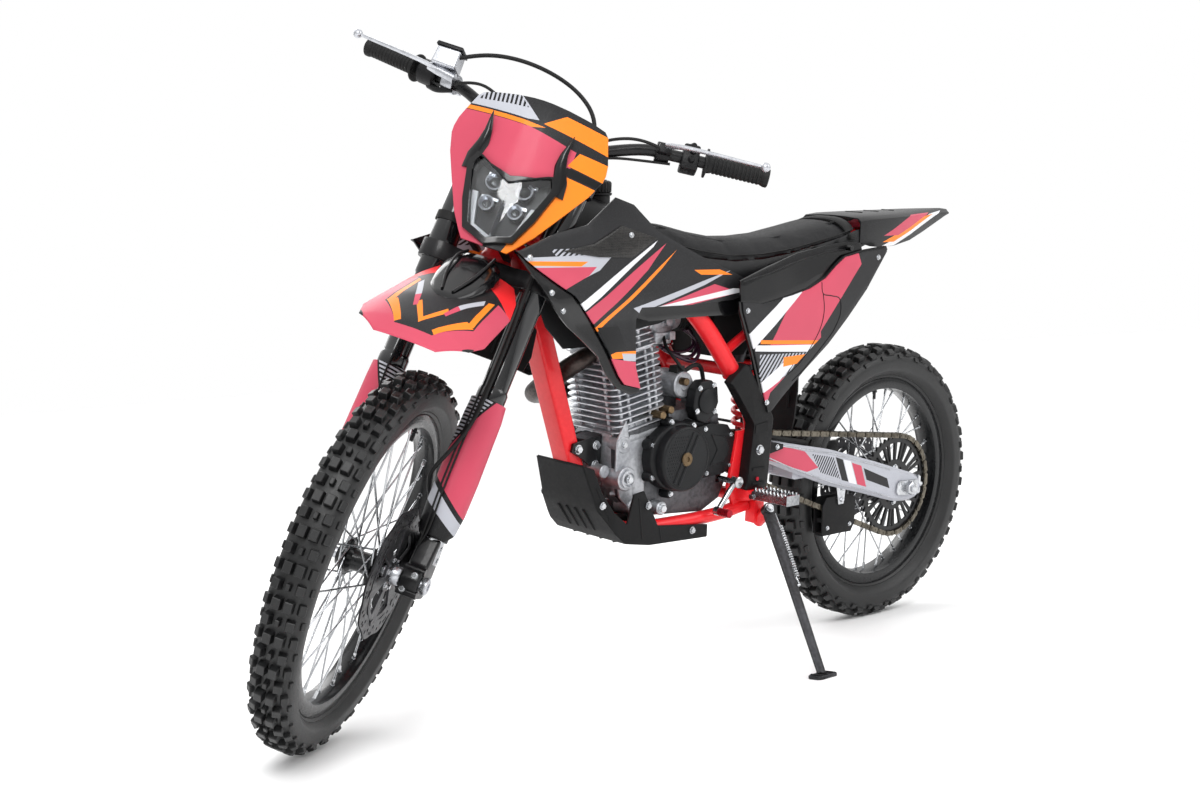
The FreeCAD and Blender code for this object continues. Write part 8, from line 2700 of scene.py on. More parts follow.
@dataclass
class Case:
    """What shows on the engine's case: seams, bosses, ribs, bolts, the starter and the left covers."""

    def castings(self) -> bpy.types.Object:
        """The silver bosses, ribs and flanges on the case."""
        form = Form()
        foot = Form().loft([[(x, y, z) for x, y in round_box(66, 74, 14)] for z in (-20, -9)])
        form.join(foot.bevel(1.5, 2), ENGINE_TO_BIKE)
        seam = [(560, 419), (556, 469), (590, 530), (650, 559), (720, 553), (860, 546), (884, 504),
                (884, 450), (872, 394), (824, 347), (640, 334), (590, 357)]
        for y in (-3.0, 74.0):
            ring = scaled(seam, (715, 450), 1.012)
            form.join(Form().prism(ring[5:10] + [(840, 400), (850, 500)], y - 3.5, y + 1.5).bevel(1.0, 1))
        for x, z, near, far, radius in (
            (868, 498, 20, 78, 17), (902, 446, 12, 62, 13), (866, 432, 40, 88, 24), (838, 372, 40, 80, 15),
            (640, 560, 20, 74, 15), (812, 372, 30, 92, 12), (776, 364, 30, 96, 14),
        ):
            form.join(Form().lathe([(radius + 3, near), (radius, near + 6), (radius, far - 2),
                                    (radius - 2, far), (0.5, far)], 24), across((x, z)))
        form.join(Form().lathe([(11, 86), (17, 88), (18, 92), (14, 93), (12, 89), (0.5, 89)], 24),
                  across((866, 432)))
        for z in (392, 412, 476, 500, 522):
            form.rod((842, 66, z), (876, 50, z + 6), 3.2, 8)
        for x in (796, 824, 850):
            form.rod((x, 68, 520), (x + 4, 62, 543), 3.4, 8)
        front = [(792, 552), (858, 549), (884, 505), (884, 450), (871, 394), (824, 347), (792, 343)]
        nose = Form().loft([[(x, y, z) for x, z in scaled(front, (826, 450), share)]
                            for y, share in ((-73.6, 0.86), (-46, 1.0), (46, 1.0), (60, 0.93), (70, 0.72),
                                             (73.6, 0.6))])
        form.join(nose.bevel(3, 2))
        for x, z, tilt in ((872, 520, 8), (880, 488, 2), (878, 412, -6), (858, 380, -14)):
            form.rod((x, 20, z), (x - 36, 71, z - tilt), 4.2, 10)
        collar = [(0.5, 62), (72, 62), (74, 65), (74, 71.5), (0.5, 71.5)]
        form.join(Form().lathe(collar, 48), across(COVER_MIDDLE))
        return CHASSIS.piece("case_castings", form, CAST_ALLOY, "cast_alloy")

    def covers(self) -> list[bpy.types.Object]:
        """The round alternator cover with its face, the gear cover, the pinion guard and their bolts."""
        form = Form()
        rings = []
        for y, reach in ((72.2, 1.0), (96, 1.0), (99, 0.97), (101, 0.93)):
            ring = []
            for i in range(48):
                a = 2 * math.pi * i / 48
                nose = 9 * max(0.0, math.cos(a - math.radians(8))) ** 3
                heel = 4 * max(0.0, math.cos(a - 2.2)) ** 4
                bulge = 69 + nose + heel
                ring.append((COVER_MIDDLE[0] + bulge * reach * math.cos(a), y,
                             COVER_MIDDLE[1] + bulge * reach * math.sin(a)))
            rings.append(ring)
        form.loft(rings)
        form.join(Form().lathe([(66, 98), (66, 116), (64.5, 120), (62, 122), (60, 122.3), (59, 121.2),
                                (0.5, 121.2)], 64), across(COVER_MIDDLE))
        lugs = disc_points(COVER_MIDDLE, 74, 7, 24)
        for x, z in lugs:
            form.join(Form().lathe([(11, 72.3), (10, 92), (8.5, 94), (0.5, 94)], 18), across((x, z)))
        outline = [(650, 612), (676, 612), (694, 596), (700, 560), (688, 534), (664, 524), (640, 538),
                   (628, 566), (632, 596)]
        form.join(Form().prism(outline, 72.3, 99).bevel(4, 3))
        form.join(Form().lathe([(25, 98), (25, 102), (22, 104), (0.5, 104)], 32), across((662, 570)))
        guard = [(694, 516), (640, 523), (590, 515), (562, 482), (563, 434), (598, 414), (664, 410),
                 (676, 440), (668, 470), (674, 496)]
        form.join(Form().prism(guard, 80.5, 92).bevel(3, 2))
        form.join(Form().prism([(640, 500), (600, 492), (584, 466), (600, 440), (640, 434), (620, 466)], 91,
                               94).bevel(1, 1))
        made = [CHASSIS.piece("left_covers", form, COVER_BLACK, "dark_cover", "engine_covers", smooth=38.0)]
        rib = Form()
        for offset in (-7.0, 7.0):
            ends = []
            for up in (-55.0, 55.0):
                tilt = math.radians(28)
                ends.append((COVER_MIDDLE[0] - offset * math.cos(tilt) + up * math.sin(tilt) * -1, 121.5,
                             COVER_MIDDLE[1] + up * math.cos(tilt) - offset * math.sin(tilt)))
            rib.rod(ends[0], ends[1], 2.8, 12)
        made.append(CHASSIS.piece("cover_ribs", rib, COVER_BLACK, "dark_cover", smooth=60.0))
        dots = []
        for row in range(-7, 8):
            for column in range(-8, 9):
                x = column * 6.4 + (row % 2) * 3.2
                z = row * 6.4
                aside = x * math.cos(0.49) + z * math.sin(0.49)
                if 16 < math.hypot(x, z) < 54 and aside > 14:
                    dots.append((Vector((COVER_MIDDLE[0] + x, 121.0, COVER_MIDDLE[1] + z)),
                                 Vector((0, 1, 0)), 1.0))
        bead = hidden_shape("cover_bead",
                            Form().loft([[(r * math.cos(k * math.pi / 4), r * math.sin(k * math.pi / 4), z)
                                          for k in range(8)]
                                         for r, z in ((1.7, 0), (1.5, 0.9), (0.8, 1.3))]))
        mesh = repeated(Repeats.SPOTS, "cover_beads", spots(dots), BIKE, COVER_BLACK, 60.0, Shape=bead)
        bpy.data.objects.remove(bead)
        made.append(piece("cover_beads", mesh, "chassis", COVER_BLACK))
        plug = Form().lathe([(14, 120.5), (14, 124), (12.5, 125.5), (5, 125.5), (4.4, 123.5), (0.5, 123.5)],
                            32)
        for x, z, end in ((44, 88, 98), (18, 96, 94), (-26, 148, 90)):
            plug.join(Form().lathe([(0.5, end - 30), (8, end - 30), (8, end - 2), (6, end), (0.5, end)], 16),
                      across((x, z)))
        moved = Form().join(plug, across(COVER_MIDDLE))
        made.append(CHASSIS.piece("bronze_plugs", moved, BRONZE, "steel"))
        places = [((x, 94, z), (0, 1, 0), 5.0) for x, z in lugs]
        places += [((x, 99, z), (0, 1, 0), 4.4) for x, z in ((684, 598), (690, 552), (644, 602), (640, 548))]
        places += [((x, 92, z), (0, 1, 0), 4.0) for x, z in ((656, 512), (580, 494), (580, 430), (648, 420))]
        places += [((866, 93, 432), (0, 1, 0), 7.0), ((868, 78, 498), (0, 1, 0), 6.0),
                   ((838, 80, 372), (0, 1, 0), 7.0), ((812, 92, 372), (0, 1, 0), 6.5),
                   ((776, 96, 364), (0, 1, 0), 8.0), ((640, 74, 560), (0, 1, 0), 5.0)]
        for y in (31.4, -31.4):
            way = (0, 1 if y > 0 else -1, 0)
            places += [((x, y, z), way, 7.5) for x, z in ((900, 494), (946, 490), (902, 456))]
        made.append(CHASSIS.bolts("engine_bolts", places))
        return made

    def starter(self) -> list[bpy.types.Object]:
        """The starter motor's end, the oil lines and the crank's breather."""
        form = Form()
        form.join(Form().lathe([(27.5, 8), (27.5, 56), (26.5, 58), (26.5, 70.5), (24, 73), (12, 74),
                                (10, 76), (0.5, 76)], 36), across((704, 603)))
        form.join(Form().lathe([(28.4, 14), (28.4, 20), (27.4, 20), (27.4, 14)], 36, ringed=True),
                  across((704, 603)))
        made = [CHASSIS.piece("starter_motor", form, CAST_ALLOY, "cast_alloy", smooth=35.0)]
        dark = Form()
        dark.pipe(smooth_line([(690, 58, 628), (668, 66, 640), (646, 62, 632), (628, 54, 600),
                               (612, 50, 560)], 6), 4.5, 12)
        dark.pipe(smooth_line([(704, 70, 632), (716, 62, 650), (724, 40, 676), (716, 20, 700)], 6), 3.4, 10)
        dark.box((692, 40, 622), (718, 66, 640), 0.8)
        made.append(CHASSIS.piece("starter_cables", dark, SOFT_RUBBER, "rubber", smooth=50.0))
        return made

    def build(self) -> list[bpy.types.Object]:
        """The case's pieces."""
        return [self.castings(), *self.covers(), *self.starter()]


@dataclass
class Intake:
    """The carburettor with its hoses, cap and bowl."""

    def build(self) -> list[bpy.types.Object]:
        """The intake's pieces."""
        lie = ENGINE_TO_BIKE @ Matrix.Translation((0, 0, 181)) @ turn(90, "Z")
        throat = Form().lathe([(18, 50), (22, 50), (22, 66), (19, 68), (19, 84), (25, 86), (25, 92),
                               (27, 94), (27, 128), (24, 130), (24, 152), (29, 154), (29, 172), (26, 174),
                               (20, 174)], 32)
        body = Form().join(throat, lie)
        low = Matrix.Translation((718, 0, 728))
        body.join(Form().loft([[(x, y, z) for x, y in round_box(half, half, 8)]
                               for z, half in ((-52, 17), (-46, 25), (-30, 26), (-29, 29), (-24, 29),
                                               (-23, 26), (-12, 24))]), low)
        body.join(Form().loft([[(x, y, z) for x, y in disc_points((0, 0), r, 28)] for z, r in
                               ((8, 22), (24, 22), (25, 25), (30, 25), (34, 20), (38, 12), (39, 6))]), low)
        body.join(Form().lathe([(0.5, 22), (6, 22), (6, 36), (9, 36), (9, 40), (0.5, 40)], 16), low)
        body.box((700, -42, 722), (734, -24, 740), 0.9)
        body.box((696, 24, 690), (712, 36, 706), 0.9)
        made = [CHASSIS.piece("carburettor_body", body, CAST_ALLOY, "cast_alloy", "carburettor", smooth=35.0)]
        hoses = []
        for index, (y, drop) in enumerate(((38, 0), (47, -8), (30, 12))):
            line = smooth_line([(726, y - 16, 676 + drop * 0.4), (700, y, 660 + drop * 0.3),
                                (664, y + 8, 654 + drop), (640, y + 2, 668 + drop),
                                (634, y - 14, 690 + drop), (650, y - 24, 706)], 6)
            hoses.append(Form().pipe(line, 4.2 - 0.3 * index, 12))
        whole = Form()
        for hose in hoses:
            whole.join(hose)
        made.append(CHASSIS.piece("breather_hoses", whole, HOSE_PURPLE, "rubber", smooth=60.0))
        boot = Form().join(Form().lathe([(29, 170), (33, 172), (33, 180), (36, 182), (36, 190), (33, 192),
                                         (33, 200), (36, 202), (36, 212), (30, 214)], 28), lie)
        places = [((718 + x, y, 676), (0, 0, -1), 3.0)
                  for x, y in ((18, 18), (-18, 18), (18, -18), (-18, -18))]
        made.append(CHASSIS.piece("intake_boot", boot, SOFT_RUBBER, "rubber", smooth=50.0))
        made.append(CHASSIS.bolts("carburettor_screws", places))
        return made


FRAME_CROSSES = ((592.7, 88.0, 627.9), (529.6, 92.4, 356.5), (735.0, 77.8, 781.9))
SUBFRAME_CROSSES = ((346.2, 70.4, 852.3), (39.6, 49.9, 890.5))


@dataclass
class Frame:
    """The red frame and what is fixed to it.

    Args:
        main: the left main tube's line, from the steering head.
        cradle: the left cradle tube's line.
        rail: the left seat rail's line.
    """

    main: tuple = ((1079, 30, 916), (990, 40, 892), (900, 46, 868), (815, 62, 830), (735, 78, 784),
                   (660, 85, 715), (592, 90, 632), (548, 95, 578), (524, 97, 520), (520, 97, 470),
                   (526, 97, 420), (530, 97, 372))
    cradle: tuple = ((943, 8, 458), (930, 34, 420), (912, 62, 372), (885, 78, 342), (840, 84, 330),
                     (700, 88, 328), (600, 90, 332), (556, 91, 338), (530, 92, 342))
    rail: tuple = ((716, 66, 806), (650, 70, 815), (583, 72, 826), (416, 72, 840), (262, 70, 868),
                   (160, 62, 880), (60, 52, 888), (-10, 44, 896))

    def tubes(self) -> list[bpy.types.Object]:
        """The head, the box downtube, the tubes and the plates, and the welds on them."""
        form = Form()
        form.pipe(smooth_line(self.main, 4), 19, 24)
        form.pipe(smooth_line(self.cradle, 4), 14, 20)
        form.both()
        for x, y, z in FRAME_CROSSES:
            form.rod((x, -y, z), (x, y, z), 13, 20)
        head = FORK_TO_BIKE @ turn(90, "X")
        form.join(Form().lathe([(20, 595), (29, 595), (30, 597), (30, 606), (27, 610), (27, 744), (30, 748),
                                (30, 757), (29, 759), (20, 759)], 36, ringed=True), head)
        downtube = [(1112, 878), (1096, 846), (954.6, 440), (919.6, 442), (1040, 800), (1052, 868)]
        form.join(Form().prism(downtube, -24.5, 24.5).bevel(5, 3))
        for side in (1, -1):
            gusset = [(1062, 890), (1086, 838), (1040, 806), (1008, 852)]
            form.join(Form().prism(gusset, side * 24 - 3, side * 24 + 3).bevel(1.5, 2))
            plate = [(492, 500), (566, 500), (582, 420), (590, 386), (572, 345), (500, 340), (484, 401)]
            form.join(Form().prism(plate, *sorted((side * 90.0, side * 98.0))).bevel(2, 2))
            bracket = Form().loft([[(534 + sx * half, y, 368 + sz * tall)
                                    for sx, sz in ((-1, -1), (1, -1), (1, 1), (-1, 1))]
                                   for y, half, tall in ((side * 92, 32, 15), (side * 112, 27, 12),
                                                         (side * 131, 20, 9))])
            form.join(bracket.bevel(3, 2))
            form.rod((529.6, side * 98, 454.8), (529.6, side * 104, 454.8), 17, 24)
        start, along = Vector((513.4, 142.3, 335.9)), STAND_AXIS
        form.rod(start - along * 43, start - along * 7.3, 13, 24)
        form.join(Form().box((498, 92, 305), (528, 120, 353), 0.95).bevel(3, 2))
        made = [CHASSIS.piece("red_frame", form, FRAME_RED, "frame_paint", "main_frame")]
        welds = Form()
        for (x, y, z), radius, way in (((900, 46, 868), 20.5, (1, 0, 0.3)),
                                       ((1056, 31, 909), 20.5, (1, 0, 0.3)),
                                       ((528, 97, 500), 20, (0, 0, 1)), ((529, 97, 386), 20, (0, 0, 1)),
                                       ((716, 66, 806), 12, (1, 0, 0)),
                                       ((584, 90, 620), 20.2, (0.6, 0, 1))):
            ring = Vector(way).normalized()
            for side in (1, -1):
                foot_at = Vector((x, side * y, z))
                welds.rod(foot_at - ring * 2.2, foot_at + ring * 2.2, radius, 24)
        made.append(CHASSIS.piece("frame_welds", welds.bevel(1.4, 2), FRAME_RED, "frame_paint", smooth=60.0))
        return made

    def subframe(self) -> bpy.types.Object:
        """The seat rails, their struts and cross tubes."""
        form = Form().pipe(smooth_line(self.rail, 4), 10, 18)
        form.rod((595.6, 83.6, 667.5), (199.5, 66, 874.3), 10, 18)
        form.both()
        for x, y, z in SUBFRAME_CROSSES:
            form.rod((x, -y, z), (x, y, z), 10, 18)
        form.rod((451.8, -77, 736.4), (451.8, 77, 736.4), 10, 18)
        return CHASSIS.piece("red_subframe", form, FRAME_RED, "frame_paint", "rear_subframe")

    def guards(self) -> list[bpy.types.Object]:
        """The moulded tube guards with a dot on each, and the frame's bolts."""
        outer = [(618, 606), (610, 598), (552, 524), (548, 516), (563, 384), (556, 378), (503, 376),
                 (496, 384), (486, 524), (490, 534), (568, 640), (577, 640)]
        form = Form()
        for side in (1, -1):
            shell = Form().loft([[(x, side * y, z) for x, z in scaled(outer, (550, 500), share)]
                                 for y, share in ((100, 1.0), (119, 1.0), (124, 0.96), (126.5, 0.88))])
            form.join(shell.bevel(1.6, 2, 40))
            form.join(Form().prism([(545, 515), (509, 519), (508, 500), (546, 497)],
                                   *sorted((side * 126, side * 128))))
            for low in (390.0, 420.0):
                form.join(Form().box((512, min(side * 125, side * 128.4), low),
                                     (548, max(side * 125, side * 128.4), low + 5)))
        made = [CHASSIS.piece("tube_guards", form, MATT_PLASTIC, "black_plastic", "frame_guards")]
        dot = Form()
        for side in (1, -1):
            dot.rod((534, side * 125, 402), (534, side * 129, 402), 4.2, 16)
        made.append(CHASSIS.piece("guard_dots", dot, PEG_RED, "frame_paint", smooth=35.0))
        places = [((529.6, side * 126, 462), (0, side, 0), 8.5) for side in (1, -1)]
        places += [((x, side * 107.6, z), (0, side, 0), 6.0) for side in (1, -1)
                   for x, z in ((826, 378), (700, 312))]
        places += [((928, side * (self.skid_half(928) + 3.4), 386), (0, side, 0), 6.0) for side in (1, -1)]
        made.append(CHASSIS.bolts("frame_bolts", places))
        return made

    def skid_half(self, x: float) -> float:
        """The skid plate's half width at a place: narrow round the downtube and wide under the cradle."""
        return lerp_table(((654, 104), (815, 104), (860, 103), (905, 95), (940, 76), (990, 58)), x)[0]

    def skid(self) -> bpy.types.Object:
        """The skid plate: a bent floor between two walls, with ribs."""
        floor = [(966, 464), (936, 378), (900, 328), (878, 308), (815, 298), (654, 293)]
        form = Form()
        line = []
        for (x0, z0), (x1, z1) in zip(floor, floor[1:]):
            line += [(x0 + (x1 - x0) * t / 4, z0 + (z1 - z0) * t / 4) for t in range(4)]
        line.append(floor[-1])
        rings = []
        for x, z in line:
            half = self.skid_half(x)
            rings.append([(x - 2.5, -half, z + 2.2), (x, -half, z - 1.5), (x + 1.0, 0, z - 2.2),
                          (x, half, z - 1.5), (x - 2.5, half, z + 2.2), (x - 2.5, 0, z + 2.2)])
        form.loft(rings)
        wall = [(966, 465), (944, 458), (928, 410), (906, 372), (876, 346), (862, 404), (836, 408),
                (796, 334), (654, 318), (654, 293), (815, 298), (878, 308), (900, 328), (936, 378)]
        walls = Form().sheet(wall, [], lambda x, z: self.skid_half(x) + 2.5, 5.0, "xz", 2).bevel(1.4, 2)
        for (x0, z0), (x1, z1) in (((938, 420), (912, 352)), ((850, 396), (838, 312)),
                                   ((792, 330), (786, 304))):
            walls.rod((x0, self.skid_half(x0) + 1.5, z0), (x1, self.skid_half(x1) + 1.5, z1), 2.2, 8)
        form.join(walls.both())
        for y in (-36, -12, 12, 36):
            form.rod((934, y, 370), (900, y, 326), 2.6, 8)
            form.rod((870, y * 1.6, 303), (700, y * 1.6, 294), 2.6, 8)
        return CHASSIS.piece("skid_guard", form, MATT_PLASTIC, "black_plastic", "skid_plate")

    def build(self) -> list[bpy.types.Object]:
        """The frame's pieces."""
        return [*self.tubes(), self.subframe(), *self.guards(), self.skid()]


# Rolling chassis and bodywork, along the bike's axes

@dataclass
class Swingarm:
    """The swingarm with its chain slider, guide, adjusters, axle and caliper.

    Args:
        upper: the arm's upper edge from its end to the pivot.
        lower: the arm's lower edge from its end to the pivot.
        slant: how much each arm leans outwards towards its end, in degrees.
        end: where the left arm's middle plane ends, as a (forward, left) pair.
    """

    upper: tuple = ((-49, 318), (-44, 336), (-30, 346), (30, 364), (110, 388), (200, 413), (258, 429),
                    (330, 443), (400, 457), (470, 471), (500, 474), (529, 478), (548, 474))
    lower: tuple = ((-49, 317), (-44, 300), (-34, 289), (0, 286), (40, 289), (140, 318), (252, 347),
                    (330, 374), (400, 400), (460, 425), (495, 431), (528, 434), (546, 438))
    slant: float = 2.6
    end: tuple[float, float] = (-48.4, 97.2)

    def side_at(self, x: float) -> float:
        """The arm's middle plane at a place along it."""
        return self.end[1] - (x - self.end[0]) * math.tan(math.radians(self.slant))

    def arm(self) -> Form:
        """The left arm: a tapered box with its edges cut off."""
        rings = []
        for x in range(-48, 549, 12):
            high = lerp_table(self.upper, x)[0]
            low = lerp_table(self.lower, x)[0]
            half = 12.6
            y = self.side_at(x)
            r = 6.0
            rings.append([(x, y - half, low + r), (x, y - half + r, low), (x, y + half - r, low),
                          (x, y + half, low + r), (x, y + half, high - r), (x, y + half - r, high),
                          (x, y - half + r, high), (x, y - half, high - r)])
        return Form().loft(rings)

    def body(self) -> list[bpy.types.Object]:
        """Both arms with the bridge, the pivot and the shock's lugs."""
        form = Form().join(self.arm()).both()
        bridge = Form().loft([[(337.4 + x * (1.0 if abs(y) < 60 else 1.3), y, 391.7 + z)
                               for x, z in ((-22, -16), (-16, -20), (16, -20), (22, -16), (22, 16),
                                            (16, 20), (-16, 20), (-22, 16))] for y in (-78, -60, 60, 78)])
        form.join(bridge)
        form.rod((529.6, -66, 454.8), (529.6, 66, 454.8), 17, 28)
        for side in (1, -1):
            lug = [(345, 376), (433, 390), (444, 400), (440, 414), (345, 408)]
            form.join(Form().prism(lug, *sorted((side * 12.5, side * 20.2))).bevel(1.5, 2))
        made = [CHASSIS.piece("alloy_swingarm", form, SWINGARM_LIVERY, "machined_alloy", "swingarm")]
        edge = Form()
        for side in (1, -1):
            for table, share in ((self.upper, -5.0), (self.lower, 5.0)):
                line = [(x, side * (self.side_at(x) + 12.9), lerp_table(table, x)[0] + share * 1.6)
                        for x in range(60, 500, 16)]
                edge.pipe(line, 1.6, 6)
        made.append(CHASSIS.piece("arm_ridges", edge, MACHINED, "machined_alloy", smooth=60.0))
        return made

    def ends(self) -> list[bpy.types.Object]:
        """The adjuster plates, the axle with its nuts and the adjusters' bolts."""
        plate, bright = Form(), Form()
        for side in (1, -1):
            y = side * (self.side_at(0) + 12.7)
            plate.join(Form().prism([(-30, 298), (34, 304), (40, 312), (38, 330), (30, 336), (-32, 334),
                                     (-38, 326), (-38, 304)], *sorted((y, y + side * 3.4))).bevel(1.0, 2))
            plate.join(Form().prism([(-52, 300), (-44, 297), (-44, 342), (-52, 338)],
                                    *sorted((side * (self.side_at(0) - 11),
                                             side * (self.side_at(0) + 12)))).bevel(1, 1))
            for step in range(7):
                x = -22 + step * 9
                plate.join(Form().prism([(x, 326), (x + 1.6, 326), (x + 1.6, 332), (x, 332)],
                                        *sorted((y, y + side * 4.2))))
            nut = Form().lathe([(0.5, 0), (17, 0), (17, 2), (13.5, 3), (15.5, 3.2), (15.5, 13), (13, 15),
                                (9, 15), (9, 19), (7, 20), (0.5, 20)], 6 if side > 0 else 24)
            place = Matrix.Translation((0, y + side * 3.0, REAR_RADIUS))
            bright.join(nut, place @ turn(0 if side > 0 else 180, "Z"))
            beside = side * self.side_at(-40)
            bright.rod((-68, beside, REAR_RADIUS), (-40, beside, REAR_RADIUS), 4.0, 12)
            bright.rod((-60, beside, REAR_RADIUS), (-53, beside, REAR_RADIUS), 8.0, 6)
        bright.rod((0, -108, REAR_RADIUS), (0, 108, REAR_RADIUS), 9.8, 24)
        for low, high in ((72, 90), (-90, -62)):
            bright.join(Form().lathe([(10, low), (17, low), (18, low + 2), (18, high - 2), (17, high),
                                      (10, high)], 28, ringed=True), across((0, REAR_RADIUS)))
        return [CHASSIS.piece("adjuster_plates", plate, BRIGHT_STEEL, "machined_alloy", smooth=35.0),
                CHASSIS.piece("rear_spindle", bright, BRIGHT_STEEL, "steel", "rear_axle", smooth=35.0)]

    def guides(self) -> list[bpy.types.Object]:
        """The chain slider round the arm's front, and the guide with its bracket."""
        form = Form()
        y = 79.0
        rings = []
        for x, high, low in ((556, 478, 440), (540, 484, 430), (480, 478, 424), (400, 463, 402),
                             (330, 449, 440)):
            rings.append([(x, y - 18, high + 1), (x, y - 18, high + 6), (x, y + 6, high + 6),
                          (x, y + 9, high + 1), (x, y + 5, high - 4), (x, y - 12, high - 3)])
        form.loft(rings)
        form.join(Form().prism([(556, 474), (470, 470), (420, 458), (420, 448), (468, 440), (556, 444)], 91,
                               96).bevel(1.5, 2))
        shell = [(260, 236), (262, 300), (250, 318), (160, 318), (150, 306), (150, 250), (162, 232)]
        for near, far in ((54.5, 58.6), (77.6, 81.4)):
            form.join(Form().prism(shell, near, far).bevel(1.2, 2))
        for low, high in ((232, 240), (262, 272)):
            form.box((156, 58, low), (256, 78, high - 1))
        metal = Form()
        bracket = [(196, 300), (214, 300), (224, 344), (212, 352), (190, 342)]
        metal.join(Form().prism(bracket, 81.6, 85.4).bevel(1.0, 2))
        made = [CHASSIS.piece("chain_slider", form, MATT_PLASTIC, "black_plastic", "chain_guide",
                              smooth=35.0), CHASSIS.piece("guide_bracket", metal, BRIGHT_STEEL, "steel",
                                                          smooth=35.0)]
        places = [((204, 85.6, 310), (0, 1, 0), 5.0), ((204, 85.6, 336), (0, 1, 0), 5.0),
                  ((168, 81.6, 250), (0, 1, 0), 4.0), ((244, 81.6, 250), (0, 1, 0), 4.0),
                  ((500, 96, 458), (0, 1, 0), 4.4), ((440, 96, 454), (0, 1, 0), 4.4)]
        made.append(CHASSIS.bolts("guide_bolts", places))
        return made

    def caliper(self) -> bpy.types.Object:
        """The rear caliper and its bracket inside the right arm."""
        form = Form()
        for near, far in ((-76, -64.6), (-52.4, -42)):
            shape = [(62, 356), (70, 412), (112, 413), (124, 400), (124, 340), (112, 331), (76, 333)]
            form.join(Form().prism(shape, near, far).bevel(3, 2))
        form.join(Form().prism([(110, 413), (124, 402), (124, 340), (116, 334)], -66, -50).bevel(1.5, 1))
        for z in (360, 388):
            form.rod((98, -80, z), (98, -76, z), 11, 20)
        form.join(Form().prism([(-8, 300), (20, 304), (100, 334), (112, 350), (60, 352), (12, 338),
                                (-10, 336)], -88, -82).bevel(1.2, 2))
        form.pipe(smooth_line([(114, -58, 408), (150, -64, 436), (220, -76, 440), (340, -84, 466),
                               (460, -92, 490), (540, -112, 480)], 6), 3.2, 10)
        return CHASSIS.piece("rear_caliper_body", form, SATIN_BLACK, "black_paint", "rear_caliper",
                             smooth=35.0)

    def shock(self) -> list[bpy.types.Object]:
        """The rear spring unit: a coil round a body with two eyes and collars."""
        low, high = Vector((429.8, 0, 403.4)), Vector((451.8, 0, 736.4))
        way = (high - low).normalized()
        lie = Matrix.Translation(low) @ laid(way)
        body = Form().lathe([(0.5, 4), (14, 4), (14, 60), (30, 62), (32, 66), (30, 70), (12, 72), (12, 150),
                             (20, 152), (20, 236), (30, 238), (32, 242), (30, 250), (21, 252), (21, 318),
                             (16, 326), (0.5, 328)], 32)
        whole = Form().join(body, lie)
        for foot, reach, radius in ((low, 12, 12.5), (high, 12, 14)):
            whole.rod(foot - Vector((0, reach, 0)), foot + Vector((0, reach, 0)), radius, 24)
        reserve = Form().lathe([(0.5, 0), (19, 0), (20, 3), (20, 86), (18, 90), (0.5, 90)], 28)
        whole.join(reserve, Matrix.Translation((474, 0, 630)) @ turn(80, "X"))
        made = [CHASSIS.piece("shock_body", whole, DARK_STEEL, "dark_steel", "rear_shock", smooth=35.0)]
        line = []
        for i in range(7 * 20 + 1):
            a = 2 * math.pi * i / 20
            line.append((27 * math.cos(a), 72 + 163 * i / 140, 27 * math.sin(a)))
        coil = Form().join(Form().pipe(line, 5.6, 10), lie)
        made.append(CHASSIS.piece("shock_spring", coil, FRAME_RED, "frame_paint", smooth=60.0))
        return made

    def build(self) -> list[bpy.types.Object]:
        """The swingarm's pieces."""
        return [*self.body(), *self.ends(), *self.guides(), self.caliper(), *self.shock()]


@dataclass
class Exhaust:
    """The header pipe and the silencer on the right."""

    def build(self) -> list[bpy.types.Object]:
        """The exhaust's pieces."""
        line = smooth_line([(895, 10, 670), (926, 0, 656), (944, -40, 624), (936, -108, 588),
                            (900, -144, 572), (800, -148, 576), (700, -150, 588), (600, -149.6, 604),
                            (520, -144, 642), (446, -135.5, 684)], 8)
        pipe = Form().pipe(line, 19, 24)
        pipe.join(Form().pipe([(455, -136, 677), (449, -135.7, 682)], 22, 24))
        made = [CHASSIS.piece("header_pipe", pipe, HEADER_STEEL, "steel", "exhaust_pipe", smooth=50.0)]
        spots_at = ((443, -134.2, 685, 22), (432, -134, 692, 28), (380, -138, 714, 44),
                    (366, -138.1, 718, 46), (40, -139.4, 803, 46), (29, -139.4, 805.4, 45),
                    (16, -139.6, 809, 38), (-8, -140, 815, 30), (-30, -140.8, 821.5, 27))
        fore, aft = Vector((380, -137.9, 714.4)), Vector((29.3, -139.4, 805.4))
        way = (aft - fore).normalized()
        up = way.cross(Vector((0, 1, 0))).normalized()
        side = way.cross(up)
        rings = []
        for x, y, z, r in spots_at:
            rings.append([Vector((x, y, z)) + up * r * 1.02 * math.cos(a) + side * r * 0.96 * math.sin(a)
                          for a in (2 * math.pi * i / 36 for i in range(36))])
        last = Vector(spots_at[-1][:3])
        for r, back in ((24, 0), (17, 2), (16, 30), (0.5, 32)):
            rings.append([last - way * back + up * r * math.cos(a) + side * r * math.sin(a)
                          for a in (2 * math.pi * i / 36 for i in range(36))])
        made.append(CHASSIS.piece("silencer_can", Form().loft(rings), SILENCER_ALLOY, "machined_alloy",
                                  "silencer"))
        bands = Form()
        for share in (0.06, 0.5, 0.94):
            middle = fore.lerp(aft, share)
            bands.join(Form().lathe([(45.8, -9), (48.4, -9), (48.4, 9), (45.8, 9)], 40, ringed=True),
                       Matrix.Translation(middle) @ laid(way))
        bands.join(Form().prism([(196, 806), (214, 800), (214, 864), (196, 872)], -98, -94).bevel(1, 1))
        made.append(CHASSIS.piece("silencer_bands", bands, SATIN_BLACK, "black_paint"))
        return made


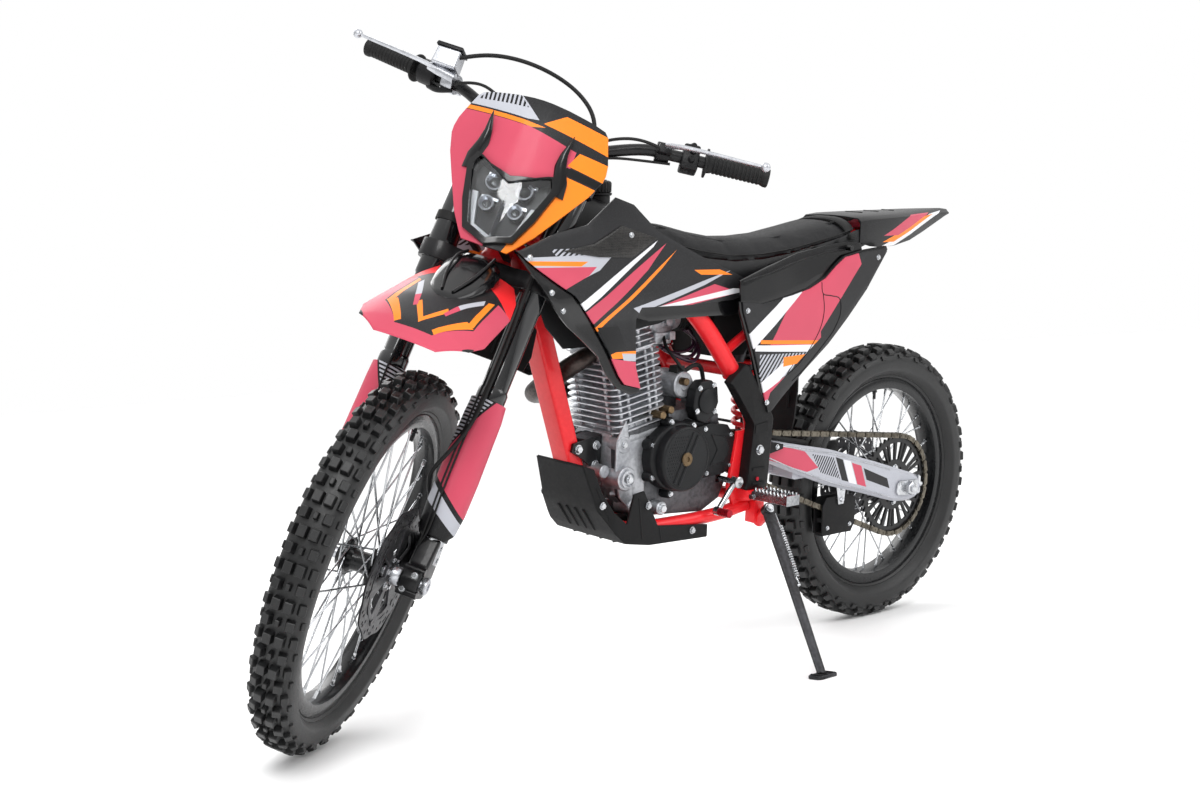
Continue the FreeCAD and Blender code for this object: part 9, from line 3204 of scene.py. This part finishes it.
@dataclass
class FootControls:
    """The toothed footpegs, the gear lever, the brake pedal and the side stand."""

    def pegs(self) -> list[bpy.types.Object]:
        """The footpegs: frames with toothed edges on a hinge."""
        form = Form()
        for x in (514.5, 548.5):
            teeth = []
            for i in range(9):
                y = 136 + i * 10
                teeth += [(y, 380), (y + 3, 387.5), (y + 5, 387.5), (y + 8, 380)]
            outline = [(131, 362), (131, 378), *teeth, (226, 378), (227, 364)]
            form.join(Form().prism(outline, x, x + 5, "yz").bevel(0.6, 1))
        for i in range(3):
            y = 146 + i * 27
            outline = [(519, 364), (519, 382), (524, 386), (528, 380), (534, 386), (540, 380), (544, 386),
                       (549, 382), (549, 364)]
            form.join(Form().prism(outline, y, y + 5).bevel(0.6, 1))
        form.box((514.5, 222, 363), (553.5, 227, 384))
        form.box((520, 131, 361), (548, 140, 378))
        form.both()
        for side in (1, -1):
            form.rod((510, side * 134, 368), (558, side * 134, 368), 5.5, 16)
        made = [CHASSIS.piece("toothed_pegs", form, PLATED, "plated", "footpegs", smooth=35.0)]
        return made

    def levers(self) -> list[bpy.types.Object]:
        """The gear lever with its ribbed tip and the brake pedal."""
        steel = Form().pipe(smooth_line([(590, 122, 400.4), (604, 123, 392), (626, 122, 366),
                                         (642.5, 122, 347)], 5), 6, 14, 0.9)
        steel.join(Form().lathe([(0.5, 72), (6, 72), (6, 112), (12, 114), (12, 130), (9, 132), (0.5, 132)],
                                20), across((590, 400.4)))
        steel.join(Form().lathe([(0.5, 116), (9, 116), (9, 128), (0.5, 128)], 20), across((642.5, 346.5)))
        pedal = smooth_line([(567.7, -124, 363.8), (590, -124, 354), (612, -124, 352), (640, -125, 352),
                             (664.6, -126, 357.9)], 5)
        steel.pipe(pedal, 6, 14)
        steel.rod((567.7, -98.5, 363.8), (567.7, -130, 363.8), 9, 18)
        for i in range(4):
            steel.box((650 + i * 8, -154, 357), (654 + i * 8, -122, 366))
        steel.box((648, -154, 352), (680, -122, 358))
        made = [CHASSIS.piece("foot_controls", steel, BRIGHT_STEEL, "steel", "foot_levers", smooth=35.0)]
        profile = [(0.5, 127)]
        for i in range(5):
            start = 127.5 + i * 5.6
            profile += [(8.4, start), (8.4, start + 2.8), (6.6, start + 3.4), (6.6, start + 5.0)]
        profile += [(8.4, 155.6), (0.5, 156.4)]
        tip = Form().join(Form().lathe(profile, 22), across((642.5, 346.2)))
        made.append(CHASSIS.piece("gear_tip", tip, PEG_RED, "frame_paint", smooth=35.0))
        return made

    def stand(self) -> list[bpy.types.Object]:
        """The side stand's leg, foot and eye, with its coil spring."""
        pivot, foot = Vector((513.45, 142.3, 335.94)), Vector((613.206, 392.662, 62.192))
        way = (foot - pivot).normalized()
        width = STAND_AXIS.cross(way).normalized()
        frame = Matrix((
            (width.x, STAND_AXIS.x, way.x, pivot.x), (width.y, STAND_AXIS.y, way.y, pivot.y),
            (width.z, STAND_AXIS.z, way.z, pivot.z), (0, 0, 0, 1)))
        length = (foot - pivot).length
        form = Form()
        form.rod(pivot - STAND_AXIS * 7, pivot + STAND_AXIS * 7, 13, 28)
        rings = []
        for along, half, deep in ((0, 10, 5), (14, 13, 5.5), (60, 12.5, 5.5), (150, 11, 5),
                                  (length - 60, 9.5, 4.6), (length - 8, 9, 4.6)):
            rings.append([frame @ Vector((x, y, along))
                          for x, y in ((-half, -deep * 0.6), (-half * 0.7, -deep), (half * 0.7, -deep),
                                       (half, -deep * 0.6), (half, deep * 0.6), (half * 0.7, deep),
                                       (-half * 0.7, deep), (-half, deep * 0.6))])
        form.loft(rings)
        tilt = Matrix.Translation(foot) @ turn(9, "X")
        pad = Form().loft([[(x * s, y * s, z) for x, y in round_box(28, 17, 8, 3)] for z, s in
                           ((0.0, 0.96), (1.0, 1.0), (5.0, 1.0), (7.0, 0.94))])
        form.join(pad, tilt)
        for x in (-18, 0, 18):
            form.join(Form().box((x - 2, -14, 6), (x + 2, 14, 8.6)), tilt)
        made = [STAND.piece("stand_leg", form, DARK_STEEL, "dark_steel", "side_stand", smooth=35.0)]
        line = []
        start, end = 0.1 * length, 0.42 * length
        for i in range(22 * 10 + 1):
            a = 2 * math.pi * i / 10
            line.append(frame @ Vector((18.3 + 4.6 * math.cos(a), 4.6 * math.sin(a),
                                        start + (end - start) * i / 220)))
        coil = Form().pipe(line, 1.25, 6)
        for near, far in ((0.02, 0.105), (0.415, 0.46)):
            coil.rod(frame @ Vector((16, 0, near * length)), frame @ Vector((18.3, 0, far * length)), 1.5, 8)
        coil.rod(frame @ Vector((18, 0, 0.46 * length)), frame @ Vector((6, 0, 0.47 * length)), 3, 10)
        made.append(STAND.piece("stand_coil", coil, BRIGHT_STEEL, "steel", "stand_spring", smooth=60.0))
        bolt = [((pivot + STAND_AXIS * 7.2), tuple(STAND_AXIS), 8.0)]
        made.append(STAND.bolts("stand_bolt", bolt))
        return made

    def build(self) -> list[bpy.types.Object]:
        """The foot controls' pieces."""
        return [*self.pegs(), *self.levers(), *self.stand()]


SHROUD_PLAN = ((504.6, 111.5), (699.8, 127.6), (899.3, 149.6), (1024.0, 164.3), (1224.9, 190.7))
PANEL_PLAN = ((111.5, 102.7), (319.8, 114.4), (500.2, 127.6), (614.7, 127.6))


@dataclass
class Shrouds:
    """The two layered shrouds beside the tank.

    Args:
        lean: how far they lean inwards towards their tops, in degrees.
        hinge: the height that the lean is measured from, in millimetres.
        outline: the striped panel's outline.
        edge: the glossy inner edge's outline.
        lip: the glossy lip's outline under the rear wing.
        woven: the woven panel's outline.
    """

    lean: float = 8.0
    hinge: float = 620.5
    outline: tuple = ((1217, 887), (1167, 855), (1120, 828), (1074, 803), (1022, 750), (984, 696),
                      (958, 648), (944, 632), (900, 621), (909, 662), (905, 705), (901, 750), (886, 772),
                      (731, 769), (600, 772), (524, 790), (514, 797), (700, 864), (821, 912), (889, 964),
                      (940, 978), (1024, 929), (1109, 917))
    edge: tuple = ((1218, 889), (1190, 856), (1160, 826), (1120, 776), (1088, 748), (1044, 716),
                   (1008, 688), (988, 652), (962, 626), (926, 611), (897, 613), (899, 628), (940, 640),
                   (970, 698), (1010, 756), (1064, 812), (1160, 862))
    lip: tuple = ((900, 786), (894, 752), (860, 744), (731, 744), (600, 742), (552, 752), (500, 784),
                  (512, 798), (600, 786), (731, 784))
    woven: tuple = ((1100, 884), (1010, 895), (930, 926), (828, 900), (905, 866), (1000, 870))

    def face(self, x: float, z: float) -> float:
        """How far left the shroud's outer face lies at a place.

        Args:
            x: the place forwards.
            z: the place up.

        Returns:
            The distance from the middle.
        """
        inner = lerp_table(SHROUD_PLAN, x)[0] + 4.0
        crease = 4.0 * math.exp(-((z - 800.0) / 34.0) ** 2) * max(0.0, min(1.0, (x - 560.0) / 200.0))
        hollow = 4.5 * max(0.0, min(1.0, (790.0 - z) / 40.0)) * max(0.0, min(1.0, (x - 860.0) / 60.0))
        lean = math.radians(self.lean)
        upright = inner / math.cos(lean) - (z - self.hinge) * math.tan(lean)
        return upright + crease - hollow - 1.5

    def layer(self, name: str, outline: tuple, lift: float, wall: float, finish: Finish | Livery, slot: str,
              stands_for: tuple = (), fine: int = 3) -> bpy.types.Object:
        """One layer of both shrouds.

        Args:
            name: the piece's name.
            outline: the layer's outline.
            lift: how far it stands out from the face.
            wall: its thickness.
            finish: its finish.
            slot: the record's slot, which is not used.
            stands_for: the CAD nodes that it replaces.
            fine: how often its edges are halved.

        Returns:
            The piece.
        """
        form = Form().sheet(outline, [], lambda x, z: self.face(x, z) + lift, wall, "xz", fine)
        form.bevel(1.1, 2, 50).both()
        return CHASSIS.piece(name, form, finish, slot, *stands_for, smooth=42.0)

    def build(self) -> list[bpy.types.Object]:
        """The shrouds' layers with their bolts and posts."""
        made = [self.layer("shroud_panels", self.outline, 0.0, 3.6, SHROUD_LIVERY, "graphic_plastic",
                           ("tank_shrouds",)), self.layer("shroud_edges", self.edge, -5.0, 5.0,
                                                          GLOSS_PLASTIC, "black_plastic", fine=2),
                self.layer("shroud_lips", self.lip, -4.5, 5.0, GLOSS_PLASTIC, "black_plastic", fine=2),
                self.layer("woven_panels", self.woven, 2.2, 2.6, CARBON_WEAVE, "graphic_plastic", fine=2),
                self.layer("shroud_wedges", ((1012, 742), (952, 742), (934, 700), (980, 690)), 0.9, 2.6,
                           SATIN_PLASTIC, "black_plastic", fine=1)]
        inner = Form()
        inner.join(Form().prism([(1118, 790), (1096, 742), (1052, 700), (948, 700), (930, 776),
                                 (1000, 812)], 96, 100))
        inner.join(Form().prism([(912, 796), (890, 726), (812, 734), (716, 762), (700, 790)], 96,
                                103).bevel(2, 2))
        inner.join(Form().prism([(720, 796), (700, 760), (612, 738), (560, 752), (520, 786)], 88, 92))
        inner.both()
        for x, z in ((925.7, 868.5), (1088, 846), (660, 790)):
            reach = self.face(x, z) - 3
            inner.rod((x, -reach, z), (x, -reach + 40, z), 7, 14)
            inner.rod((x, reach - 40, z), (x, reach, z), 7, 14)
        made.append(CHASSIS.piece("shroud_liners", inner, MATT_PLASTIC, "black_plastic", smooth=35.0))
        places = []
        for side in (1, -1):
            for x, z, lift in ((1133, 812, -5.0), (1104, 778, -5.0), (905, 908, 2.2), (560, 786, 0.0),
                               (1186, 876, 0.0)):
                places.append(((x, side * (self.face(x, z) + lift), z), (0, side, 0.14), 4.6))
        made.append(CHASSIS.bolts("shroud_bolts", places))
        return made


@dataclass
class Tank:
    """The tank with its filler cap.

    Args:
        sections: rows of forward, top, bottom, half width at the top and at the bottom.
    """

    sections: tuple = ((852, 946, 838, 38, 60), (868, 958, 822, 44, 88), (900, 968, 808, 48, 100),
                       (926, 973, 805, 50, 104), (956, 962, 805, 49, 103), (984, 944, 806, 48, 99),
                       (1008, 932, 826, 42, 74), (1022, 925, 850, 34, 50))

    def build(self) -> list[bpy.types.Object]:
        """The tank, its cap and its breather."""
        rings = []
        for x, top, low, narrow, wide in self.sections:
            ring = []
            for i in range(20):
                a = math.pi * i / 19
                lift = math.sin(a) ** 0.55
                half = wide + (narrow - wide) * lift ** 2
                ring.append((x, half * (1 if math.cos(a) > 0 else -1) * abs(math.cos(a)) ** 0.5,
                             low + (top - low) * lift))
            rings.append(ring)
        made = [CHASSIS.piece("fuel_cell", Form().loft(rings).bevel(2.0, 2, 50), SATIN_PLASTIC,
                              "black_plastic", "fuel_tank")]
        cap = Form()
        ribbed = []
        for z, base, deep in ((983, 25.5, 0.0), (984, 27.0, 1.6), (1000, 27.0, 1.6), (1003, 25.5, 0.8),
                              (1005, 22.0, 0.0)):
            ribbed.append([((base - (deep if i % 4 < 2 else 0.0)) * math.cos(2 * math.pi * i / 96) + 888,
                            (base - (deep if i % 4 < 2 else 0.0)) * math.sin(2 * math.pi * i / 96), z)
                           for i in range(96)])
        cap.loft(ribbed)
        upright = Matrix.Translation((888, 0, 0)) @ turn(90, "X")
        cap.join(Form().lathe([(20, 950), (27, 952), (27, 958), (24.5, 961), (24.5, 976), (28, 978),
                               (28, 982), (20, 983)], 40, ringed=True), upright)
        cap.box((868, -3.5, 1004.4), (908, 3.5, 1006.4))
        made.append(CHASSIS.piece("filler_cap", cap, SATIN_PLASTIC, "black_plastic", smooth=35.0))
        hose = Form().pipe(smooth_line([(888, 0, 1006), (900, 4, 1016), (930, 10, 1014), (966, 12, 1000),
                                        (1010, 10, 990), (1046, 8, 996)], 6), 2.6, 10)
        made.append(CHASSIS.piece("tank_breather", hose, SOFT_RUBBER, "rubber", smooth=60.0))
        return made


@dataclass
class Seat:
    """The long narrow seat: a padded cover over a base, with seams and a strap.

    Args:
        sections: rows of forward, top, bottom, half width at the top and at the bottom.
        grid: the spacing of the cover's points, in metres.
        frames: how many frames the cloth runs for.
        swell: the most that the cover moves, in metres.
    """

    sections: tuple = ((858, 944, 914, 30, 44), (820, 936, 894, 37, 56), (739, 920, 864, 42, 68),
                       (660, 903, 848, 45, 76), (582, 891, 840, 49, 82), (500, 890, 842, 54, 88),
                       (417, 895, 852, 58, 91), (340, 907, 866, 61, 91), (263, 920, 880, 63, 89),
                       (225, 926, 889, 61, 84), (196, 928, 898, 57, 77))
    grid: float = 0.006
    frames: int = 20
    swell: float = 0.005

    def ring(self, x: float, shrink: float = 0.0, lift: float = 0.0) -> list[tuple[float, float, float]]:
        """The seat's cross section, from its left edge over the top to the right one.

        Args:
            x: the place forwards.
            shrink: how far it draws in all round.
            lift: how far it rises.

        Returns:
            The section's points.
        """
        top, low, narrow, wide = lerp_table([(row[0], *row[1:]) for row in reversed(self.sections)], x)
        ring = []
        for i in range(17):
            a = math.pi * i / 16
            rise = math.sin(a) ** 0.6
            half = wide - shrink + (narrow - wide) * rise ** 1.5
            across_share = (1 if math.cos(a) >= 0 else -1) * abs(math.cos(a)) ** 0.62
            ring.append((x, half * across_share, low + shrink + lift + (top - low - 2 * shrink) * rise))
        return ring

    def pad(self) -> bpy.types.Object:
        """The padded cover, filled by a short cloth simulation."""
        form = Form()
        stations = [row[0] for row in self.sections]
        form.loft([self.ring(x, 3.0) for x in stations])
        mesh = form.mesh("seat_pad", BIKE)
        pad = added("seat_pad", mesh)
        remesh = pad.modifiers.new("remesh", "REMESH")
        remesh.mode = "VOXEL"
        remesh.voxel_size = self.grid
        flat = evaluated(pad)
        pad.modifiers.remove(remesh)
        pad.data = flat
        self.fill(pad)
        swell = pad.modifiers.new("subdivision", "SUBSURF")
        swell.levels = swell.render_levels = 1
        final = evaluated(pad)
        bpy.data.objects.remove(pad)
        final.name = "seat_pad"
        soften(final, 180.0)
        made = piece("seat_pad", final, "chassis", SEAT_HIDE, ("seat",))
        return made

    def fill(self, pad: bpy.types.Object) -> None:
        """Blows the cover up as cloth.

        Args:
            pad: the cover's object, which keeps the result in its mesh.
        """
        before = [v.co.copy() for v in pad.data.vertices]
        cloth = pad.modifiers.new("cloth", "CLOTH")
        settings = cloth.settings
        settings.use_pressure = True
        settings.uniform_pressure_force = 4.0
        settings.tension_stiffness = 40.0
        settings.compression_stiffness = 40.0
        settings.bending_stiffness = 2.0
        settings.effector_weights.gravity = 0.0
        cloth.point_cache.frame_start = 1
        cloth.point_cache.frame_end = self.frames
        scene = bpy.context.scene
        for step in range(1, self.frames + 1):
            scene.frame_set(step)
        graph = bpy.context.evaluated_depsgraph_get()
        blown = bpy.data.meshes.new_from_object(pad.evaluated_get(graph))
        pad.modifiers.remove(cloth)
        scene.frame_set(1)
        for vert, rest in zip(blown.vertices, before):
            move = vert.co - rest
            if move.length > self.swell:
                vert.co = rest + move.normalized() * self.swell
        pad.data = blown

    def line_along(self, share: float, start: float, end: float) -> list[Vector]:
        """A line along the seat's left side.

        Args:
            share: its height on the section, from 0 low to 1 on top.
            start: where it begins.
            end: where it ends.

        Returns:
            The line's points.
        """
        line = []
        count = 26
        for i in range(count + 1):
            ring = self.ring(start + (end - start) * i / count, -0.4)
            place = share * 8
            low = int(place)
            line.append(Vector(ring[low]).lerp(Vector(ring[min(low + 1, 8)]), place - low))
        return line

    def build(self) -> list[bpy.types.Object]:
        """The seat's pieces."""
        made = [self.pad()]
        seams = Form()
        for share in (0.12, 0.62):
            seams.pipe(self.line_along(share, 846, 204), 1.3, 6)
        seams.both()
        made.append(CHASSIS.piece("seat_seams", seams, SOFT_RUBBER, "seat_cover", smooth=60.0))
        stitches = []
        line = self.line_along(0.58, 840, 210)
        for a, b in zip(line, line[1:]):
            way = (b - a).normalized()
            for t in (0.0, 0.25, 0.5, 0.75):
                spot = a.lerp(b, t)
                for side in (1, -1):
                    stitches.append((Vector((spot.x, side * spot.y, spot.z)),
                                     Vector((way.x, side * way.y, way.z)), 1.0))
        stitch = hidden_shape("stitch", Form().box((-0.5, -0.5, -2.0), (0.5, 0.5, 2.0)))
        mesh = repeated(Repeats.SPOTS, "seat_stitches", spots(stitches), BIKE, SATIN_PLASTIC, 60.0,
                        Shape=stitch)
        bpy.data.objects.remove(stitch)
        made.append(piece("seat_stitches", mesh, "chassis", SATIN_PLASTIC))
        skirt = Form()
        under = ((130, 880, 76), (190, 862, 80), (300, 834, 85), (400, 806, 86), (500, 792, 86),
                 (600, 786, 85), (700, 796, 80), (780, 818, 70), (850, 850, 60))
        rings = []
        for i in range(49):
            x = 852 - i * 15
            low, half = lerp_table(under, x)
            high = self.ring(x)[0][2] + 7
            reach = max(self.ring(x)[0][1] - 4, half)
            rings.append([(x, half - 3, low), (x, half, low), (x, half + 1.5, (low + high) / 2),
                          (x, reach, high), (x, reach - 3, high), (x, half - 1.5, (low + high) / 2)])
        skirt.loft(rings).bevel(0.8, 1, 50).both()
        made.append(CHASSIS.piece("seat_base", skirt, SATIN_PLASTIC, "black_plastic", smooth=45.0))
        strap = Form()
        rows = []
        for x in (232, 229, 203, 200):
            rows.append(self.ring(x, -1.0 if x in (232, 200) else -3.4, 0.0)[1:-1])
        inner = [[(x, y * 0.97, z - 3.0) for x, y, z in row] for row in rows]
        rings = []
        for out, back in zip(zip(*rows), zip(*inner)):
            rings.append([*out, *reversed(back)])
        strap.loft(rings)
        for side in (1, -1):
            strap.join(Form().box((206, min(side * 78, side * 90), 884),
                                  (226, max(side * 78, side * 90), 896)).bevel(1.5, 1))
        made.append(CHASSIS.piece("seat_strap", strap, SOFT_RUBBER, "rubber", smooth=45.0))
        return made


@dataclass
class RearBody:
    """The side panels, the strips under the seat, the tail, its lamp and the mudflap.

    Args:
        panel: the left side panel's outline.
        strip: the glossy strip's outline under the seat.
        tail: rows of forward, half width, top and bottom.
    """

    panel: tuple = ((603, 770), (600, 751), (564, 672), (524, 570), (512, 538), (500, 542), (469, 566),
                    (394, 618), (318, 667), (252, 721), (187, 778), (140, 832), (118, 858), (124, 866),
                    (200, 860), (268, 850), (300, 832), (335, 808), (390, 788), (449, 777), (540, 764))
    strip: tuple = ((604, 812), (602, 764), (540, 758), (449, 771), (390, 782), (335, 801), (300, 826),
                    (268, 844), (190, 856), (196, 878), (258, 881), (330, 874), (423, 862), (520, 838))
    tail: tuple = ((186, 83, 930, 876), (150, 83, 934, 868), (123, 82, 935, 866), (60, 77, 937, 867),
                   (-15, 63, 939, 877), (-80, 46, 941, 892), (-150, 29, 942, 911), (-205, 17, 942, 927),
                   (-226, 13, 940, 932))

    def face(self, x: float, z: float) -> float:
        """How far left the side panel's face lies at a place.

        Args:
            x: the place forwards.
            z: the place up.

        Returns:
            The distance from the middle.
        """
        swell = 3.0 * math.exp(-((x - 330.0) / 160.0) ** 2 - ((z - 730.0) / 90.0) ** 2)
        return lerp_table(PANEL_PLAN, x)[0] + 2.2 + swell

    def panels(self) -> list[bpy.types.Object]:
        """The side panels with their dark edges, seams and strips; the right ones stop above the silencer."""
        made = []
        right = ((603, 770), (601, 758), (598, 714), (420, 762), (260, 804), (160, 830), (118, 858),
                 (124, 866), (200, 860), (268, 850), (300, 832), (335, 808), (390, 788), (449, 777),
                 (540, 764))
        form = Form().sheet(self.panel, [], self.face, 3.4, "xz", 3).bevel(1.2, 2, 50)
        form.join(Form().sheet(right, [], self.face, 3.4, "xz", 2).bevel(1.2, 2, 50), mirror=True)
        made.append(CHASSIS.piece("number_panels", form, PANEL_LIVERY, "graphic_plastic", "side_panels",
                                  smooth=42.0))
        backing = scaled(self.panel, (340, 730), 1.03)
        edge = Form().sheet(backing, [], lambda x, z: self.face(x, z) - 3.6, 6.0, "xz", 2).bevel(1.2, 2, 50)
        strip = Form().sheet(self.strip, [], lambda x, z: self.face(x, z) - 4.5 - (z - 760) * 0.1, 4.0,
                             "xz", 2)
        edge.join(strip.bevel(1.2, 2, 50).both())
        for x, z in ((249.4, 868.5), (479.7, 834.7)):
            edge.rod((x, -110, z), (x, -74, z), 6, 12)
            edge.rod((x, 74, z), (x, 114, z), 6, 12)
        made.append(CHASSIS.piece("panel_edges", edge, GLOSS_PLASTIC, "black_plastic", smooth=42.0))
        seam = Form()
        curve = smooth_line([(352, 0, 800), (346, 0, 776), (316, 0, 770), (286, 0, 762), (281, 0, 731),
                             (300, 0, 698), (324, 0, 676), (391, 0, 624), (436, 0, 598)], 6)
        second = smooth_line([(346, 0, 776), (340, 0, 740), (352, 0, 700), (388, 0, 656), (420, 0, 630),
                              (452, 0, 612)], 6)
        for line in (curve, second):
            seam.pipe([(p.x, self.face(p.x, p.z) + 0.1, p.z) for p in line], 1.0, 6)
        ridge = smooth_line([(596, 0, 816), (520, 0, 830), (420, 0, 852), (320, 0, 866), (230, 0, 872)], 6)
        for side in (1, -1):
            seam.pipe([(p.x, side * (self.face(p.x, p.z) - 4.0 - (p.z - 760) * 0.1), p.z - 6)
                       for p in ridge], 1.8, 6)
        made.append(CHASSIS.piece("panel_seams", seam, SATIN_PLASTIC, "black_plastic", smooth=60.0))
        places = [((x, self.face(x, z) - 0.3, z), (0, 1, 0), 4.6)
                  for x, z in ((588, 752), (518, 560), (150, 846))]
        places += [((x, -self.face(x, z) + 0.3, z), (0, -1, 0), 4.6) for x, z in ((588, 750), (150, 846))]
        made.append(CHASSIS.bolts("panel_bolts", places))
        return made

    def tails(self) -> list[bpy.types.Object]:
        """The tail with its lamp, and the inner mudguard and flap."""
        rings = []
        for x, half, top, low in self.tail:
            edge = min(8.0, half * 0.4)
            outer = [(-half, low), (-half, top - edge), (-half + edge, top - 1), (-half * 0.4, top + 2),
                     (0, top + 2.6), (half * 0.4, top + 2), (half - edge, top - 1), (half, top - edge),
                     (half, low)]
            inner = [(y * (1 - 3.0 / half), max(low, z - 3.0) if i not in (0, 8) else low)
                     for i, (y, z) in enumerate(outer)][::-1]
            rings.append([(x, y, z) for y, z in (*outer, *inner)])
        cowl = Form().loft(rings).bevel(0.8, 2, 50)
        for x in (-40, 20, 80):
            share = lerp_table([(row[0], *row[1:]) for row in reversed(self.tail)], x)
            cowl.pipe([(x + 30, y * share[0], share[1] + 1.6) for y in (-0.3, 0.3)], 1.4, 6)
        for side in (1, -1):
            cowl.rod((39.6, side * 29.3, 900), (39.6, side * 29.3, 936), 7, 14)
        made = [CHASSIS.piece("tail_cowl", cowl, TAIL_LIVERY, "graphic_plastic", "rear_fender", smooth=45.0)]
        lens = Form().box((-160, -19.5, 911), (-139, 19.5, 934), 0.9).bevel(2.5, 3)
        for y in (-12, -4, 4, 12):
            lens.rod((-160.5, y, 914), (-160.5, y, 931), 1.2, 8)
        made.append(CHASSIS.piece("tail_lens", lens, TAIL_RED, "tail_lens", "tail_lamp", smooth=35.0))
        case = Form().box((-139, -21, 908), (-128, 21, 938), 0.95).bevel(2, 2)
        flap = Form()
        rows = []
        for x, z, half in ((345, 842, 52), (339, 700, 54), (334, 560, 54), (340, 500, 54), (348, 453, 50)):
            rows.append([(x + 2.2, -half, z), (x + 5.0, 0, z), (x + 2.2, half, z), (x - 2.2, half, z),
                         (x + 0.5, 0, z), (x - 2.2, -half, z)])
        flap.loft(rows)
        for y in (-34, 0, 34):
            flap.rod((349, y, 800), (341, y, 520), 2.2, 8)
        case.join(flap)
        made.append(CHASSIS.piece("rear_flap", case, MATT_PLASTIC, "black_plastic", "mudflap", smooth=35.0))
        return made

    def build(self) -> list[bpy.types.Object]:
        """The rear body's pieces."""
        return [*self.panels(), *self.tails()]


PLATE = NumberPlate()
ASSEMBLIES = (FRONT_WHEEL, REAR_WHEEL, FinalDrive(), PLATE, Headlamp(PLATE), FrontFender(), Fork(),
              Handlebar(), Lines(), Barrel(), Case(), Intake(), Frame(), Swingarm(), Exhaust(),
              FootControls(), Tank(), Shrouds(), Seat(), RearBody())


def main() -> None:
    """Builds the studio and every piece in order, and reports each."""
    logging.basicConfig(level=logging.INFO, format="%(name)s %(message)s")
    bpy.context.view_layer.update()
    Studio().build()
    dress_nodes()
    for assembly in ASSEMBLIES:
        for made in assembly.build():
            LOG.info("%s: %s", type(assembly).__name__, made.name)
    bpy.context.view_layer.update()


if __name__ == "__main__":
    main()
